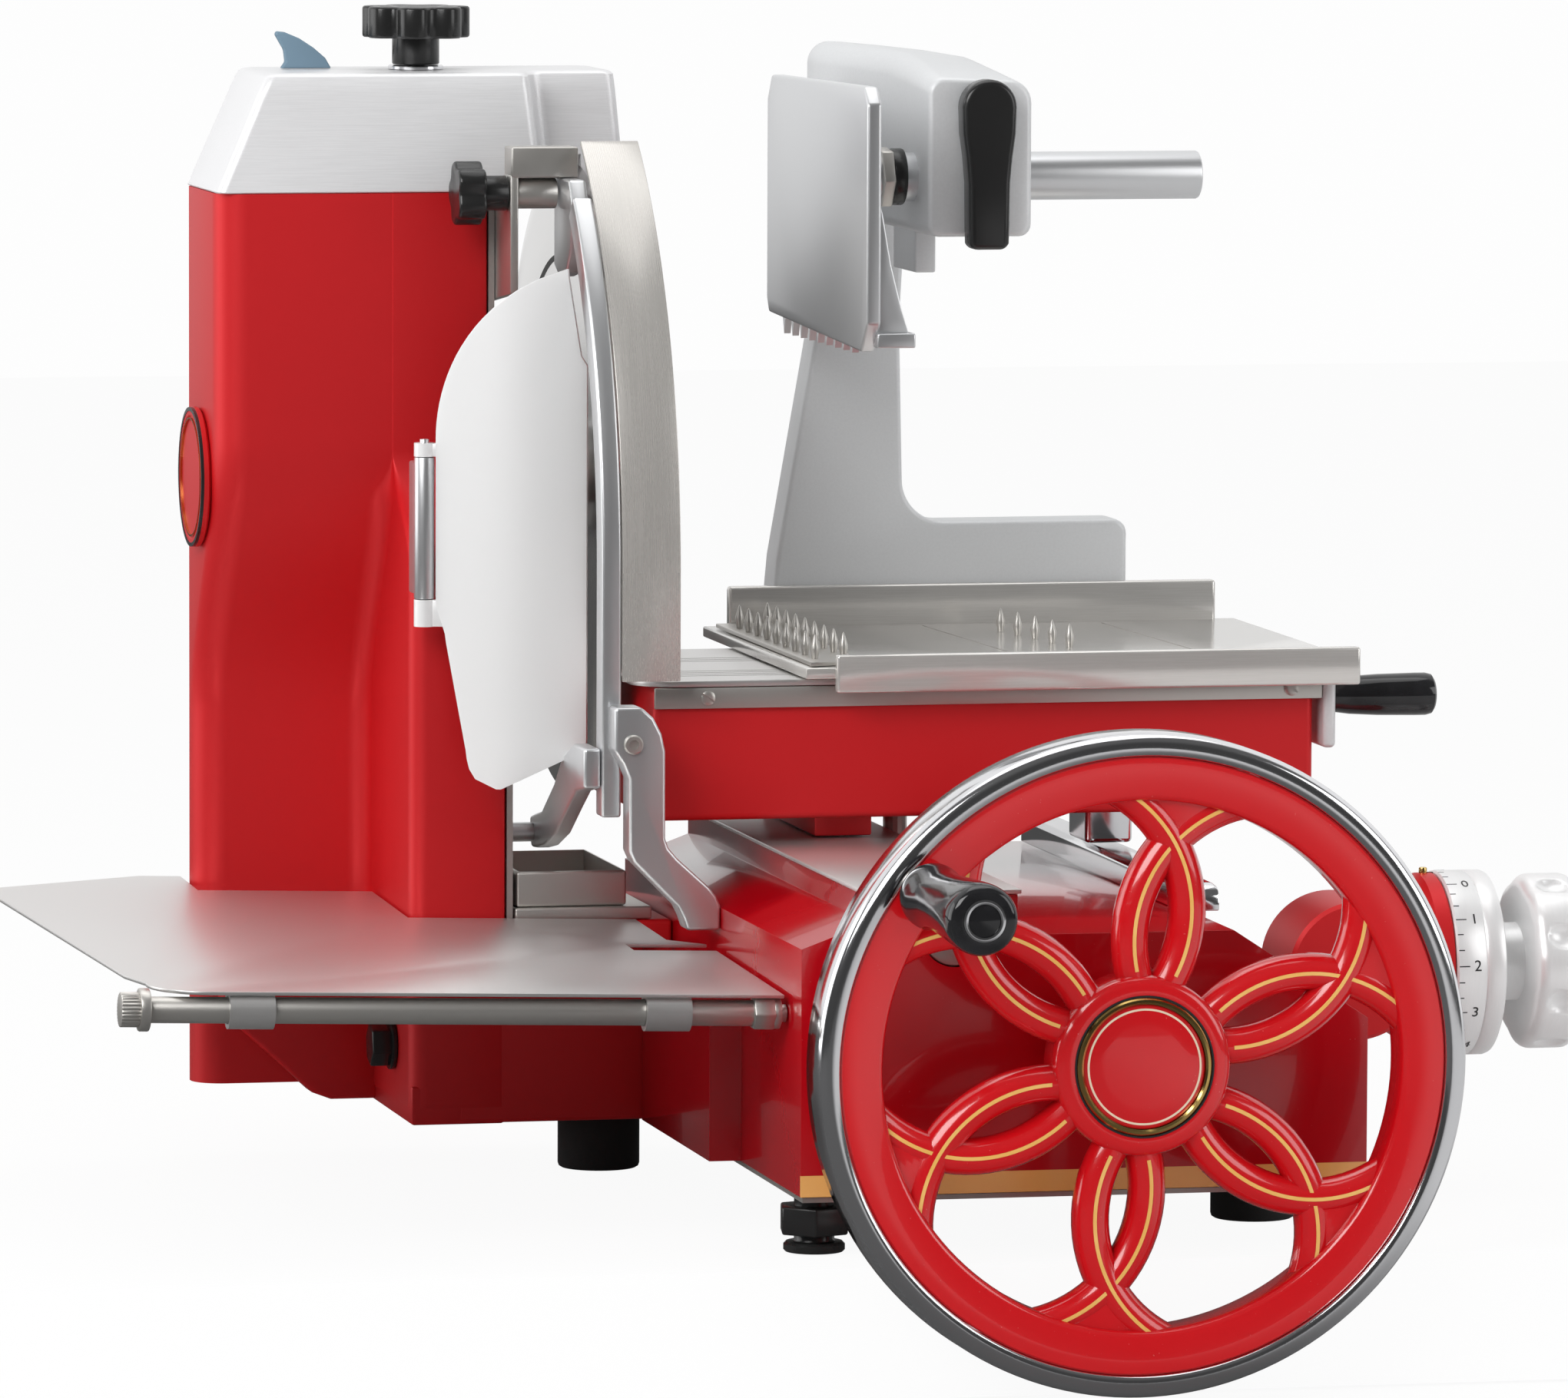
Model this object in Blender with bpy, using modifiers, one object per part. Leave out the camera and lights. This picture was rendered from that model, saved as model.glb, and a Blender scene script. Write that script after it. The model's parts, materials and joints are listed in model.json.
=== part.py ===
"""Hand-cranked food slicer with a spoked flywheel, in metres, +Z up.

X runs to the operator's right, along the blade's axis. Y runs away from the operator, along the
carriage's travel and the flywheel's axis. The origin is the bottom centre of the front left foot.
The flywheel overhangs the edge of the bench that the feet stand on, so it reaches below them.
"""

import math

import bmesh
import bpy
from mathutils import Matrix, Vector

# Running and seating clearances
SEAT = 0.0003
RUNNING = 0.0003
SLIDE_GAP = 0.0008

# Base casting
BASE_FLOOR = 0.024
BASE_LEFT = -0.010
BASE_RIGHT = 0.220
BASE_FRONT = -0.020
BASE_DEPTH = 0.340
BASE_WALL = 0.004
BASE_TOP = 0.126
SHOULDER_LEFT_Z = 0.122
SHOULDER_RIGHT_X = 0.165
SHOULDER_RIGHT_Z = 0.090
TUNNEL_LEFT = 0.017
TUNNEL_RIGHT = 0.077
TUNNEL_FOOT_Z = 0.132
TUNNEL_TOP = 0.142
STEP_WIDTH = 0.013
STEP_FRONT = 0.090
STEP_TOP = 0.098
PLATE_THICK = 0.002
COVER_THICK = 0.0018

# Feet
FOOT_X_RIGHT = 0.195
FOOT_Y_FRONT_RIGHT = 0.062
FOOT_Y_REAR = 0.262
FOOT_X_REAR_LEFT = -0.033
RUBBER_FOOT_R = 0.017
PAD_R = 0.0122
PAD_HEIGHT = 0.004
FOOT_NUT_ACROSS = 0.026
FOOT_NUT_HEIGHT = 0.0112
FOOT_STUD_R = 0.008

# Drive line
SHAFT_X = 0.114
SHAFT_Z = 0.080
SHAFT_R = 0.009
BEARING_FIT_R = 0.0165
CROSS_Y = 0.298
CROSS_R = 0.006
BEVEL_GEAR_R = 0.028
BEVEL_PINION_R = 0.014
BEVEL_TEETH = 20
PINION_TEETH = 10
BEVEL_FACE = 0.0035
SPROCKET_R = 0.022
SPROCKET_TEETH = 12
SPROCKET_X = -0.098
SPROCKET_WIDTH = 0.005
CHAIN_HEIGHT = 0.0045
PEDESTAL_WIDTH = 0.030
PEDESTAL_THICK = 0.014

# Crank and connecting rod of the carriage
CRANK_X = 0.0865
CRANK_Y = 0.090
CRANK_THROW = 0.081
CRANK_GEAR_R = 0.060
CRANK_Z = 0.0986
CRANK_THICK = 0.0052
CRANK_SHAFT_R = 0.007
CRANK_PINION_R = 0.018
CRANK_PINION_WIDTH = 0.008
CRANK_PINION_REACH = 0.054
ROD_LENGTH = 0.110
ROD_Z = 0.1065
ROD_THICK = 0.005
ROD_PIN_R = 0.005
ROD_EYE_R = 0.009

# Flywheel
WHEEL_R = 0.1305
WHEEL_FRONT = -0.080
TYRE_DEPTH = 0.0255
TYRE_WIDTH = 0.009
RIM_INNER_R = 0.104
RIM_DEPTH = 0.022
HUB_R = 0.0355
HUB_DEPTH = 0.034
BADGE_R = 0.0268
PETALS = 6
PETAL_TURN = math.radians(82.0)
RIB_R = 0.0064
RIB_ARC_R = 0.055
RIB_ARC_ALONG = 0.055
RIB_ARC_ASIDE = 0.044
WEB_THICK = 0.006
GRIP_TURN = math.radians(141.5)
GRIP_SEAT_R = 0.112
GRIP_R = 0.014
GRIP_LENGTH = 0.092
GRIP_PIN_R = 0.005

# Column
COLUMN_LEFT = -0.193
COLUMN_RIGHT = -0.080
COLUMN_FRONT = 0.263
COLUMN_DEPTH = 0.078
COLUMN_FLOOR = 0.031
COLUMN_TOP = 0.405
BUTTRESS_LEFT = -0.120
BUTTRESS_FRONT = 0.222
BUTTRESS_TOP = 0.262
BUTTRESS_BLEND = 0.300
WING_TOP = 0.1072
RECESS_DEPTH = 0.055
RECESS_TOP = 0.302
RECESS_FOOT = 0.185
CAVITY_LEFT = -0.110
CAVITY_WALL = 0.0055
GUSSET_DROP = 0.038
SIDE_PLATE_THICK = 0.0025
SIDE_BADGE_R = 0.029
SIDE_BADGE_Z = 0.286

# Cap over the sharpener
CAP_HEIGHT = 0.049
CAP_LEAN = 0.021
CAP_RIGHT = -0.056
CAP_REAR_RIGHT = -0.017
CAP_STEP_Y = 0.286
CAP_WALL = 0.0035

# Blade, its shaft and its guard
BLADE_R = 0.1325
BLADE_X = -0.042
BLADE_THICK = 0.003
BLADE_Z = 0.285
BLADE_HUB_R = 0.030
BLADE_SHAFT_R = 0.011
BEARING_R = 0.027
GUARD_Y = 0.353
GUARD_Z = 0.257
GUARD_R = 0.210
GUARD_RIGHT = -0.024
GUARD_WIDTH = 0.024
GUARD_BAND_THICK = 0.0018
GUARD_FOOT_Z = 0.213
GUARD_TOP_TURN = math.radians(125.7)
FRAME_WIDTH = 0.008
FRAME_DEPTH = 0.013
FRAME_FOOT_Z = 0.158
GUARD_ARM_Y = 0.2315
GUARD_ARM_Z = 0.4125

# White cover plate in front of the blade
COVER_HINGE = (-0.117, 0.209)
COVER_TURN = math.radians(-19.3)
COVER_PLATE = 0.004
COVER_ARC_R = 0.0725
COVER_ARC_Z = 0.3075
COVER_RIGHT = 0.067
COVER_FOOT_Z = 0.165

# Tray for the slices
TRAY_Z = 0.1018
TRAY_ROLL = math.radians(1.58)
TRAY_PITCH = math.radians(1.43)
TRAY_THICK = 0.0015
TRAY_FRONT = 0.000
TRAY_LEFT = -0.263
TRAY_ROD_R = 0.0052
TRAY_ROD_DROP = 0.0014

# Carriage
CARRIAGE_LEFT = -0.031
CARRIAGE_RIGHT = 0.246
CARRIAGE_FRONT = 0.160
CARRIAGE_DEPTH = 0.146
CARRIAGE_FLOOR = 0.154
CARRIAGE_TOP = 0.2085
CARRIAGE_WALL = 0.004
DECK_THICK = 0.0025
STRIP_DROP = 0.0085
STRIP_THICK = 0.002
CARRIAGE_PIN_Y = 0.235
HANDLE_Y = 0.172
HANDLE_Z = 0.200
HANDLE_PIVOT_Z = 0.190
HANDLE_LEVER_LOW = 0.1795
HANDLE_LEVER_TOP = 0.2075
HANDLE_LEVER_HALF = 0.013

# Rail and guide bar
RAIL_X = 0.168
RAIL_WIDTH = 0.016
RAIL_HEIGHT = 0.011
RAIL_FRONT = 0.045
GUIDE_X = 0.052
GUIDE_Z = 0.1275
GUIDE_R = 0.009
GUIDE_HEAD_R = 0.0135

# Table and press
TABLE_LEFT = 0.030
TABLE_RIGHT = 0.262
TABLE_FRONT = 0.152
TABLE_BACK = 0.352
TABLE_Z = 0.2165
TABLE_THICK = 0.0045
APRON_DROP = 0.010
APRON_RISE = 0.0055
FENCE_RISE = 0.017
SPIKE_R = 0.0017
SPIKE_HEIGHT = 0.010
POST_THICK = 0.022
ROD_Y = 0.250
ROD_AXIS_Z = 0.411
PRESS_ROD_R = 0.010
PRESS_ROD_END = 0.218
PRESS_X = 0.055
PRESS_THICK = 0.006
HEAD_FRONT = 0.225
HEAD_LEFT = 0.098
HEAD_RIGHT = 0.140
CLAMP_X = 0.1205
CLAMP_Z = 0.4010

# Thickness control
DIAL_Y = 0.140
DIAL_Z = 0.092
DIAL_R = 0.038
DIAL_LEFT = 0.2915
DIAL_WIDTH = 0.0215
KNOB_SHAFT_R = 0.016
KNOB_R = 0.036
KNOB_END = 0.351

COLLECTION_NAME = "manual_food_slicer"
CUTTER_NAME = "cutters"


def clear_scene():
    """Remove every object that the file holds."""
    for obj in list(bpy.data.objects):
        bpy.data.objects.remove(obj)


def collection(name):
    """Return the named collection, linked to the scene."""
    group = bpy.data.collections.get(name)
    if group is None:
        group = bpy.data.collections.new(name)
        bpy.context.scene.collection.children.link(group)
    return group


def material(name, color, metallic, roughness):
    """Return a Principled material with one colour."""
    found = bpy.data.materials.get(name)
    if found is not None:
        return found
    made = bpy.data.materials.new(name)
    made.use_nodes = True
    shader = made.node_tree.nodes["Principled BSDF"]
    shader.inputs["Base Color"].default_value = (*color, 1.0)
    shader.inputs["Metallic"].default_value = metallic
    shader.inputs["Roughness"].default_value = roughness
    return made


FINISHES = {
    "red_enamel": ((0.62, 0.008, 0.012), 0.0, 0.15),
    "chrome": ((0.80, 0.80, 0.82), 1.0, 0.05),
    "mirror_steel": ((0.72, 0.71, 0.70), 1.0, 0.12),
    "brushed_steel": ((0.62, 0.60, 0.57), 1.0, 0.30),
    "satin_aluminium": ((0.72, 0.73, 0.74), 1.0, 0.35),
    "white_enamel": ((0.86, 0.86, 0.86), 0.0, 0.2),
    "black_plastic": ((0.015, 0.015, 0.016), 0.0, 0.25),
    "black_rubber": ((0.02, 0.02, 0.02), 0.0, 0.6),
    "blue_plastic": ((0.16, 0.25, 0.33), 0.0, 0.35),
    "bright_steel": ((0.60, 0.58, 0.55), 1.0, 0.2),
    "dark_steel": ((0.12, 0.12, 0.12), 1.0, 0.35),
}


def evaluated_mesh(obj):
    """Return a new mesh of the object as its modifiers leave it."""
    graph = bpy.context.evaluated_depsgraph_get()
    graph.update()
    return bpy.data.meshes.new_from_object(obj.evaluated_get(graph), depsgraph=graph)


def scratch_object(name, data):
    """Link a helper object to the cutters' collection."""
    obj = bpy.data.objects.new(name, data)
    collection(CUTTER_NAME).objects.link(obj)
    obj.hide_render = True
    obj.display_type = "WIRE"
    return obj


def tidy_mesh(mesh, merge=1e-6):
    """Merge the mesh's doubles and point its faces outwards."""
    work = bmesh.new()
    work.from_mesh(mesh)
    bmesh.ops.remove_doubles(work, verts=work.verts, dist=merge)
    bmesh.ops.recalc_face_normals(work, faces=work.faces)
    work.to_mesh(mesh)
    work.free()
    return mesh


def bake(obj):
    """Replace the object's mesh by the one that its modifiers give."""
    mesh = evaluated_mesh(obj)
    obj.modifiers.clear()
    obj.data = mesh
    return obj


AXIS_TURN = {
    "X": Matrix(((0, 0, 1), (1, 0, 0), (0, 1, 0))).to_4x4(),
    "Y": Matrix(((1, 0, 0), (0, 0, -1), (0, 1, 0))).to_4x4(),
    "Z": Matrix.Identity(4),
}


def block(low, high):
    """Return a box between two corners."""
    work = bmesh.new()
    bmesh.ops.create_cube(work, size=1.0)
    size = Vector(high) - Vector(low)
    middle = (Vector(high) + Vector(low)) / 2
    bmesh.ops.scale(work, vec=size, verts=work.verts)
    bmesh.ops.translate(work, vec=middle, verts=work.verts)
    mesh = bpy.data.meshes.new("block")
    work.to_mesh(mesh)
    work.free()
    return scratch_object("block", mesh)


def curve_mesh(curve, name):
    """Turn a curve into an object with a closed mesh."""
    holder = scratch_object(name, curve)
    mesh = tidy_mesh(evaluated_mesh(holder))
    bpy.data.objects.remove(holder)
    bpy.data.curves.remove(curve)
    return scratch_object(name, mesh)


def prism(outlines, low, high, axis):
    """Extrude flat outlines between two places on an axis.

    Outline points are (x, y) for axis Z, (y, z) for axis X and (x, z) for axis Y.
    The first outline is the rim and the others are holes in it.
    """
    curve = bpy.data.curves.new("prism", "CURVE")
    curve.dimensions = "2D"
    curve.fill_mode = "BOTH"
    curve.extrude = (high - low) / 2
    for outline in outlines:
        spline = curve.splines.new("POLY")
        spline.points.add(len(outline) - 1)
        for point, (across, up) in zip(spline.points, outline):
            point.co = (across, up, 0.0, 1.0)
        spline.use_cyclic_u = True
    obj = curve_mesh(curve, "prism")
    obj.data.transform(AXIS_TURN[axis])
    shift = {"X": (1, 0, 0), "Y": (0, 1, 0), "Z": (0, 0, 1)}[axis]
    obj.data.transform(Matrix.Translation(Vector(shift) * (low + high) / 2))
    return obj


def turned(profile, axis, at, steps=32, closed=False):
    """Turn a profile of (radius, place along the axis) points round an axis through a point."""
    work = bmesh.new()
    verts = [work.verts.new((radius, 0.0, along)) for radius, along in profile]
    for first, second in zip(verts, verts[1:]):
        work.edges.new((first, second))
    if closed:
        work.edges.new((verts[-1], verts[0]))
    mesh = bpy.data.meshes.new("turned")
    work.to_mesh(mesh)
    work.free()
    obj = scratch_object("turned", mesh)
    screw = obj.modifiers.new("turn", "SCREW")
    screw.steps = steps
    screw.render_steps = steps
    screw.use_merge_vertices = True
    screw.merge_threshold = 0.00001
    bake(obj)
    tidy_mesh(obj.data)
    turn = {"X": Matrix.Rotation(math.pi / 2, 4, "Y"), "Y": Matrix.Rotation(-math.pi / 2, 4, "X")}
    obj.data.transform(turn.get(axis, Matrix.Identity(4)))
    obj.data.transform(Matrix.Translation(at))
    return obj


def rod(radius, low, high, axis, at, steps=20, chamfer=0.0):
    """Return a round bar between two places on an axis through a point."""
    edge = min(chamfer, radius * 0.9)
    profile = [(0.0, high), (radius - edge, high), (radius, high - edge),
               (radius, low + edge), (radius - edge, low), (0.0, low)]
    if not edge:
        profile = [(0.0, high), (radius, high), (radius, low), (0.0, low)]
    return turned(profile, axis, at, steps)


def ring(inner, outer, low, high, axis, at, steps=24):
    """Return a round tube between two places on an axis through a point."""
    profile = [(outer, high), (outer, low), (inner, low), (inner, high)]
    return turned(profile, axis, at, steps, closed=True)


def tube(points, radius, sides=2, cyclic=False):
    """Return a round bar that follows a path."""
    curve = bpy.data.curves.new("tube", "CURVE")
    curve.dimensions = "3D"
    curve.bevel_depth = radius
    curve.bevel_resolution = sides
    curve.use_fill_caps = not cyclic
    spline = curve.splines.new("POLY")
    spline.points.add(len(points) - 1)
    for point, place in zip(spline.points, points):
        point.co = (*place, 1.0)
    spline.use_cyclic_u = cyclic
    return curve_mesh(curve, "tube")


def loft(sections):
    """Join a row of unlike cross-sections, each with the same number of points, into one solid."""
    work = bmesh.new()
    rings = [[work.verts.new(place) for place in section] for section in sections]
    for near, far in zip(rings, rings[1:]):
        count = len(near)
        for index in range(count):
            after = (index + 1) % count
            work.faces.new((near[index], near[after], far[after], far[index]))
    work.faces.new(rings[0])
    work.faces.new(rings[-1])
    mesh = bpy.data.meshes.new("loft")
    work.to_mesh(mesh)
    work.free()
    return scratch_object("loft", tidy_mesh(mesh))


def combine(obj, others, operation):
    """Join others to the object, or cut them from it, and remove them."""
    for other in others:
        change = obj.modifiers.new("combine", "BOOLEAN")
        change.operation = operation
        change.solver = "EXACT"
        change.object = other
    bake(obj)
    for other in others:
        bpy.data.objects.remove(other)
    return obj


def joined(obj, *others):
    """Return the object with the others joined to it."""
    return combine(obj, others, "UNION")


def cut(obj, *others):
    """Return the object with the others cut from it."""
    return combine(obj, others, "DIFFERENCE")


def rounded(obj, width, segments=2, angle=35.0):
    """Round the object's sharp edges."""
    bevel = obj.modifiers.new("round", "BEVEL")
    bevel.width = width
    bevel.segments = segments
    bevel.limit_method = "ANGLE"
    bevel.angle_limit = math.radians(angle)
    bevel.use_clamp_overlap = True
    return bake(obj)


def node(name, obj, finish, carrier=None):
    """Name a finished solid, give it its material and hang it on what carries it."""
    obj.name = name
    obj.data.name = name
    collection(CUTTER_NAME).objects.unlink(obj)
    collection(COLLECTION_NAME).objects.link(obj)
    obj.hide_render = False
    obj.display_type = "TEXTURED"
    obj.data.materials.clear()
    obj.data.materials.append(material(finish, *FINISHES[finish]))
    for face in obj.data.polygons:
        face.use_smooth = True
    obj.data.set_sharp_from_angle(angle=math.radians(30.0))
    if carrier is not None:
        obj.data.transform(Matrix.Translation(-carrier.location))
        obj.parent = carrier
    return obj


def joint(name, at):
    """Return the empty that stands on a joint's axis."""
    empty = bpy.data.objects.new(name, None)
    empty.location = at
    empty.empty_display_size = 0.02
    collection(COLLECTION_NAME).objects.link(empty)
    return empty


def arc(centre, radius, start, end, count):
    """Return points on an arc, from one angle to another."""
    step = (end - start) / (count - 1)
    return [(centre[0] + radius * math.cos(start + step * index),
             centre[1] + radius * math.sin(start + step * index)) for index in range(count)]


def polygon(centre, across_flats, sides, turn=0.0):
    """Return the corners of a regular polygon, such as a hexagon nut's outline."""
    radius = across_flats / 2 / math.cos(math.pi / sides)
    return [(centre[0] + radius * math.cos(turn + 2 * math.pi * index / sides),
             centre[1] + radius * math.sin(turn + 2 * math.pi * index / sides))
            for index in range(sides)]


def toothed_outline(centre, root, tip, teeth):
    """Return a gear's outline, with four points for each tooth."""
    points = []
    pitch = 2 * math.pi / teeth
    for tooth in range(teeth):
        for share, radius in ((0.0, root), (0.30, root), (0.44, tip), (0.74, tip)):
            angle = pitch * (tooth + share)
            points.append((centre[0] + radius * math.cos(angle),
                           centre[1] + radius * math.sin(angle)))
    return points


def lobed_outline(centre, radius, dip, lobes, count, turn=0.0):
    """Return a star knob's outline: round lobes with dips between them."""
    points = []
    for index in range(count):
        angle = 2 * math.pi * index / count
        reach = radius - dip * (0.5 - 0.5 * math.cos(lobes * angle)) ** 2
        points.append((centre[0] + reach * math.cos(angle + turn),
                       centre[1] + reach * math.sin(angle + turn)))
    return points


def base_section(inset, floor):
    """Return the base's cross-section, moved inwards by an inset."""
    return [
        (BASE_LEFT + inset, floor),
        (BASE_LEFT + inset, SHOULDER_LEFT_Z - inset),
        (TUNNEL_LEFT + inset, TUNNEL_FOOT_Z - inset),
        (TUNNEL_LEFT + inset, TUNNEL_TOP - inset),
        (TUNNEL_RIGHT - inset, TUNNEL_TOP - inset),
        (TUNNEL_RIGHT - inset, BASE_TOP - inset),
        (SHOULDER_RIGHT_X - inset * 0.5, BASE_TOP - inset),
        (BASE_RIGHT - inset, SHOULDER_RIGHT_Z - inset * 0.5),
        (BASE_RIGHT - inset, floor),
    ]


def build_base():
    """Build the base casting, its bottom plate, cover plate, guides and feet."""
    back = BASE_FRONT + BASE_DEPTH
    shell = prism([base_section(0.0, BASE_FLOOR)], BASE_FRONT, back, "Y")
    step = block((BASE_LEFT - STEP_WIDTH, STEP_FRONT, BASE_FLOOR + 0.0002),
                 (BASE_LEFT + BASE_WALL, BUTTRESS_FRONT - SEAT, STEP_TOP))
    joined(rounded(shell, 0.003, 2, 50.0), rounded(step, 0.003, 2))
    hollow = prism([base_section(BASE_WALL, BASE_FLOOR - BASE_WALL)],
                   BASE_FRONT + BASE_WALL, back - BASE_WALL, "Y")
    shaft_hole = rod(BEARING_FIT_R, BASE_FRONT - 0.002, BASE_FRONT + 0.010, "Y",
                     (SHAFT_X, 0, SHAFT_Z))
    guide_hole = rod(GUIDE_HEAD_R + RUNNING, BASE_FRONT - 0.002, BASE_FRONT + 0.006, "Y",
                     (GUIDE_X, 0, GUIDE_Z))
    cross_hole = rod(CROSS_R + RUNNING, BASE_LEFT - 0.002, BASE_LEFT + 0.010, "X",
                     (0, CROSS_Y, SHAFT_Z))
    front, rear = CRANK_Y + ROD_LENGTH - CRANK_THROW, CRANK_Y + ROD_LENGTH + CRANK_THROW
    half = ROD_PIN_R + SLIDE_GAP
    slot_ends = (arc((CRANK_X, rear), half, 0, math.pi, 7)
                 + arc((CRANK_X, front), half, math.pi, 2 * math.pi, 7))
    slot = prism([slot_ends], BASE_TOP - BASE_WALL * 1.5, BASE_TOP + BASE_WALL, "Z")
    cut(shell, hollow, shaft_hole, guide_hole, cross_hole, slot)
    node("base_casting", shell, "red_enamel")

    plate = block((BASE_LEFT + 0.001, BASE_FRONT + 0.001, BASE_FLOOR - SEAT - PLATE_THICK),
                  (BASE_RIGHT - 0.001, back - 0.001, BASE_FLOOR - SEAT))
    node("base_plate", plate, "bright_steel")

    cover = block((TUNNEL_LEFT - 0.001, BASE_FRONT - 0.001, TUNNEL_TOP + SEAT),
                  (TUNNEL_RIGHT + 0.001, back, TUNNEL_TOP + SEAT + COVER_THICK))
    node("tunnel_cover", cover, "mirror_steel")

    rail = block((RAIL_X - RAIL_WIDTH / 2, RAIL_FRONT, BASE_TOP + SEAT),
                 (RAIL_X + RAIL_WIDTH / 2, back - BASE_WALL, BASE_TOP + SEAT + RAIL_HEIGHT))
    node("carriage_rail", rounded(rail, 0.003, 3), "chrome")

    guide = turned([(0, back - BASE_WALL - SEAT), (GUIDE_R, back - BASE_WALL - SEAT),
                    (GUIDE_R, BASE_FRONT + 0.005), (GUIDE_HEAD_R, BASE_FRONT + 0.005),
                    (GUIDE_HEAD_R, BASE_FRONT - 0.0005), (0, BASE_FRONT - 0.0005)],
                   "Y", (GUIDE_X, 0, GUIDE_Z), 24)
    node("guide_bar", guide, "bright_steel")
    build_feet()


def build_feet():
    """Build the levelling foot at the front left and the three rubber feet."""
    top = BASE_FLOOR - SEAT - PLATE_THICK - SEAT
    nut_top = top - 0.003
    pad = turned([(0, top), (FOOT_STUD_R, top), (FOOT_STUD_R, PAD_HEIGHT), (PAD_R - 0.001, PAD_HEIGHT),
                  (PAD_R, PAD_HEIGHT - 0.001), (PAD_R, 0.0), (0, 0.0)], "Z", (0, 0, 0), 24)
    nut = prism([polygon((0, 0), FOOT_NUT_ACROSS, 6, math.radians(20))],
                nut_top - FOOT_NUT_HEIGHT, nut_top, "Z")
    node("front_left_foot", joined(pad, rounded(nut, 0.0008, 1)), "black_plastic")
    places = {
        "front_right_foot": (FOOT_X_RIGHT, FOOT_Y_FRONT_RIGHT, 0),
        "rear_left_foot": (FOOT_X_REAR_LEFT, FOOT_Y_REAR, 0),
        "rear_right_foot": (FOOT_X_RIGHT, FOOT_Y_REAR, 0),
    }
    for name, place in places.items():
        high = BASE_FLOOR - SEAT if name == "rear_left_foot" else top
        foot = rod(RUBBER_FOOT_R, 0.0, high, "Z", place, 32, 0.0015)
        node(name, foot, "black_rubber")


def build_drive(wheel_joint, cross_joint, crank_joint):
    """Build the shafts, gears, chain and bearings inside the base."""
    shaft_at = (SHAFT_X, 0, SHAFT_Z)
    apex = CROSS_Y
    gear_back = apex - BEVEL_PINION_R
    shaft = rod(SHAFT_R, WHEEL_FRONT + 0.006, gear_back + 0.001, "Y", shaft_at, 24)

    flange = turned([(BEARING_FIT_R - RUNNING, BASE_FRONT + 0.012), (BEARING_FIT_R - RUNNING, BASE_FRONT - SEAT),
                     (0.022, BASE_FRONT - SEAT), (0.022, BASE_FRONT - 0.0035),
                     (SHAFT_R + RUNNING, BASE_FRONT - 0.0035), (SHAFT_R + RUNNING, BASE_FRONT + 0.012)],
                    "Y", shaft_at, 24, closed=True)
    node("front_bearing", flange, "dark_steel")

    floor = BASE_FLOOR
    rear_y = gear_back - 0.030
    cross_end = SHAFT_X + 0.016
    pedestal = block((SHAFT_X - PEDESTAL_WIDTH / 2, rear_y, floor),
                     (SHAFT_X + PEDESTAL_WIDTH / 2, rear_y + PEDESTAL_THICK, SHAFT_Z + 0.018))
    foot = block((SHAFT_X - PEDESTAL_WIDTH / 2, rear_y, floor), (cross_end + 0.003, CROSS_Y + 0.013, floor + 0.006))
    post = block((cross_end - 0.009, CROSS_Y - 0.0095, floor), (cross_end + 0.003, CROSS_Y + 0.013, SHAFT_Z + 0.014))
    joined(pedestal, foot, post)
    cut(pedestal, rod(SHAFT_R + RUNNING, rear_y - 0.005, rear_y + PEDESTAL_THICK + 0.005, "Y", shaft_at),
        rod(CROSS_R + RUNNING, cross_end - 0.020, cross_end + SEAT, "X", (0, CROSS_Y, SHAFT_Z)))
    node("bearing_block", pedestal, "dark_steel")

    tip, root = BEVEL_GEAR_R, BEVEL_GEAR_R - 0.0025
    gear = prism([toothed_outline((SHAFT_X, SHAFT_Z), root, tip, BEVEL_TEETH)],
                 gear_back, gear_back + BEVEL_FACE, "Y")
    taper(gear, "Y", shaft_at, gear_back + BEVEL_FACE, 0.78)
    crank_pinion = prism([toothed_outline((SHAFT_X, SHAFT_Z), CRANK_PINION_R - 0.0025, CRANK_PINION_R, 12)],
                         CRANK_Y - CRANK_PINION_REACH,
                         CRANK_Y - CRANK_PINION_REACH + CRANK_PINION_WIDTH, "Y")
    node("flywheel_shaft", joined(shaft, gear, crank_pinion), "bright_steel", wheel_joint)

    cross_at = (0, CROSS_Y, SHAFT_Z)
    cross = rod(CROSS_R, SPROCKET_X - 0.006, cross_end, "X", cross_at, 16)
    pinion_x = SHAFT_X - BEVEL_GEAR_R
    pinion = prism([toothed_outline((CROSS_Y, SHAFT_Z), BEVEL_PINION_R - 0.0030, BEVEL_PINION_R - 0.0006,
                                    PINION_TEETH)], pinion_x - BEVEL_FACE * 2, pinion_x - SEAT, "X")
    node("cross_shaft", joined(cross, pinion, sprocket(SHAFT_Z)), "bright_steel", cross_joint)

    crank_at = (CRANK_X, CRANK_Y, 0)
    disc = prism([toothed_outline((CRANK_X, CRANK_Y), CRANK_GEAR_R - 0.003, CRANK_GEAR_R, 18)],
                 CRANK_Z, CRANK_Z + CRANK_THICK, "Z")
    arm = prism([arm_outline()], CRANK_Z, CRANK_Z + CRANK_THICK, "Z")
    spindle = rod(CRANK_SHAFT_R, BASE_FLOOR + 0.0006, CRANK_Z + 0.001, "Z", crank_at, 16)
    pin_x, pin_y = crank_pin()
    pin = rod(ROD_PIN_R, CRANK_Z, ROD_Z - RUNNING * 2, "Z", (pin_x, pin_y, 0), 16)
    joined(disc, arm, spindle, pin)
    node("crank_gear", disc, "dark_steel", crank_joint)
    socket = ring(CRANK_SHAFT_R + RUNNING, 0.015, BASE_FLOOR, BASE_FLOOR + 0.014, "Z", crank_at)
    node("crank_bearing", socket, "dark_steel")


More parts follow.
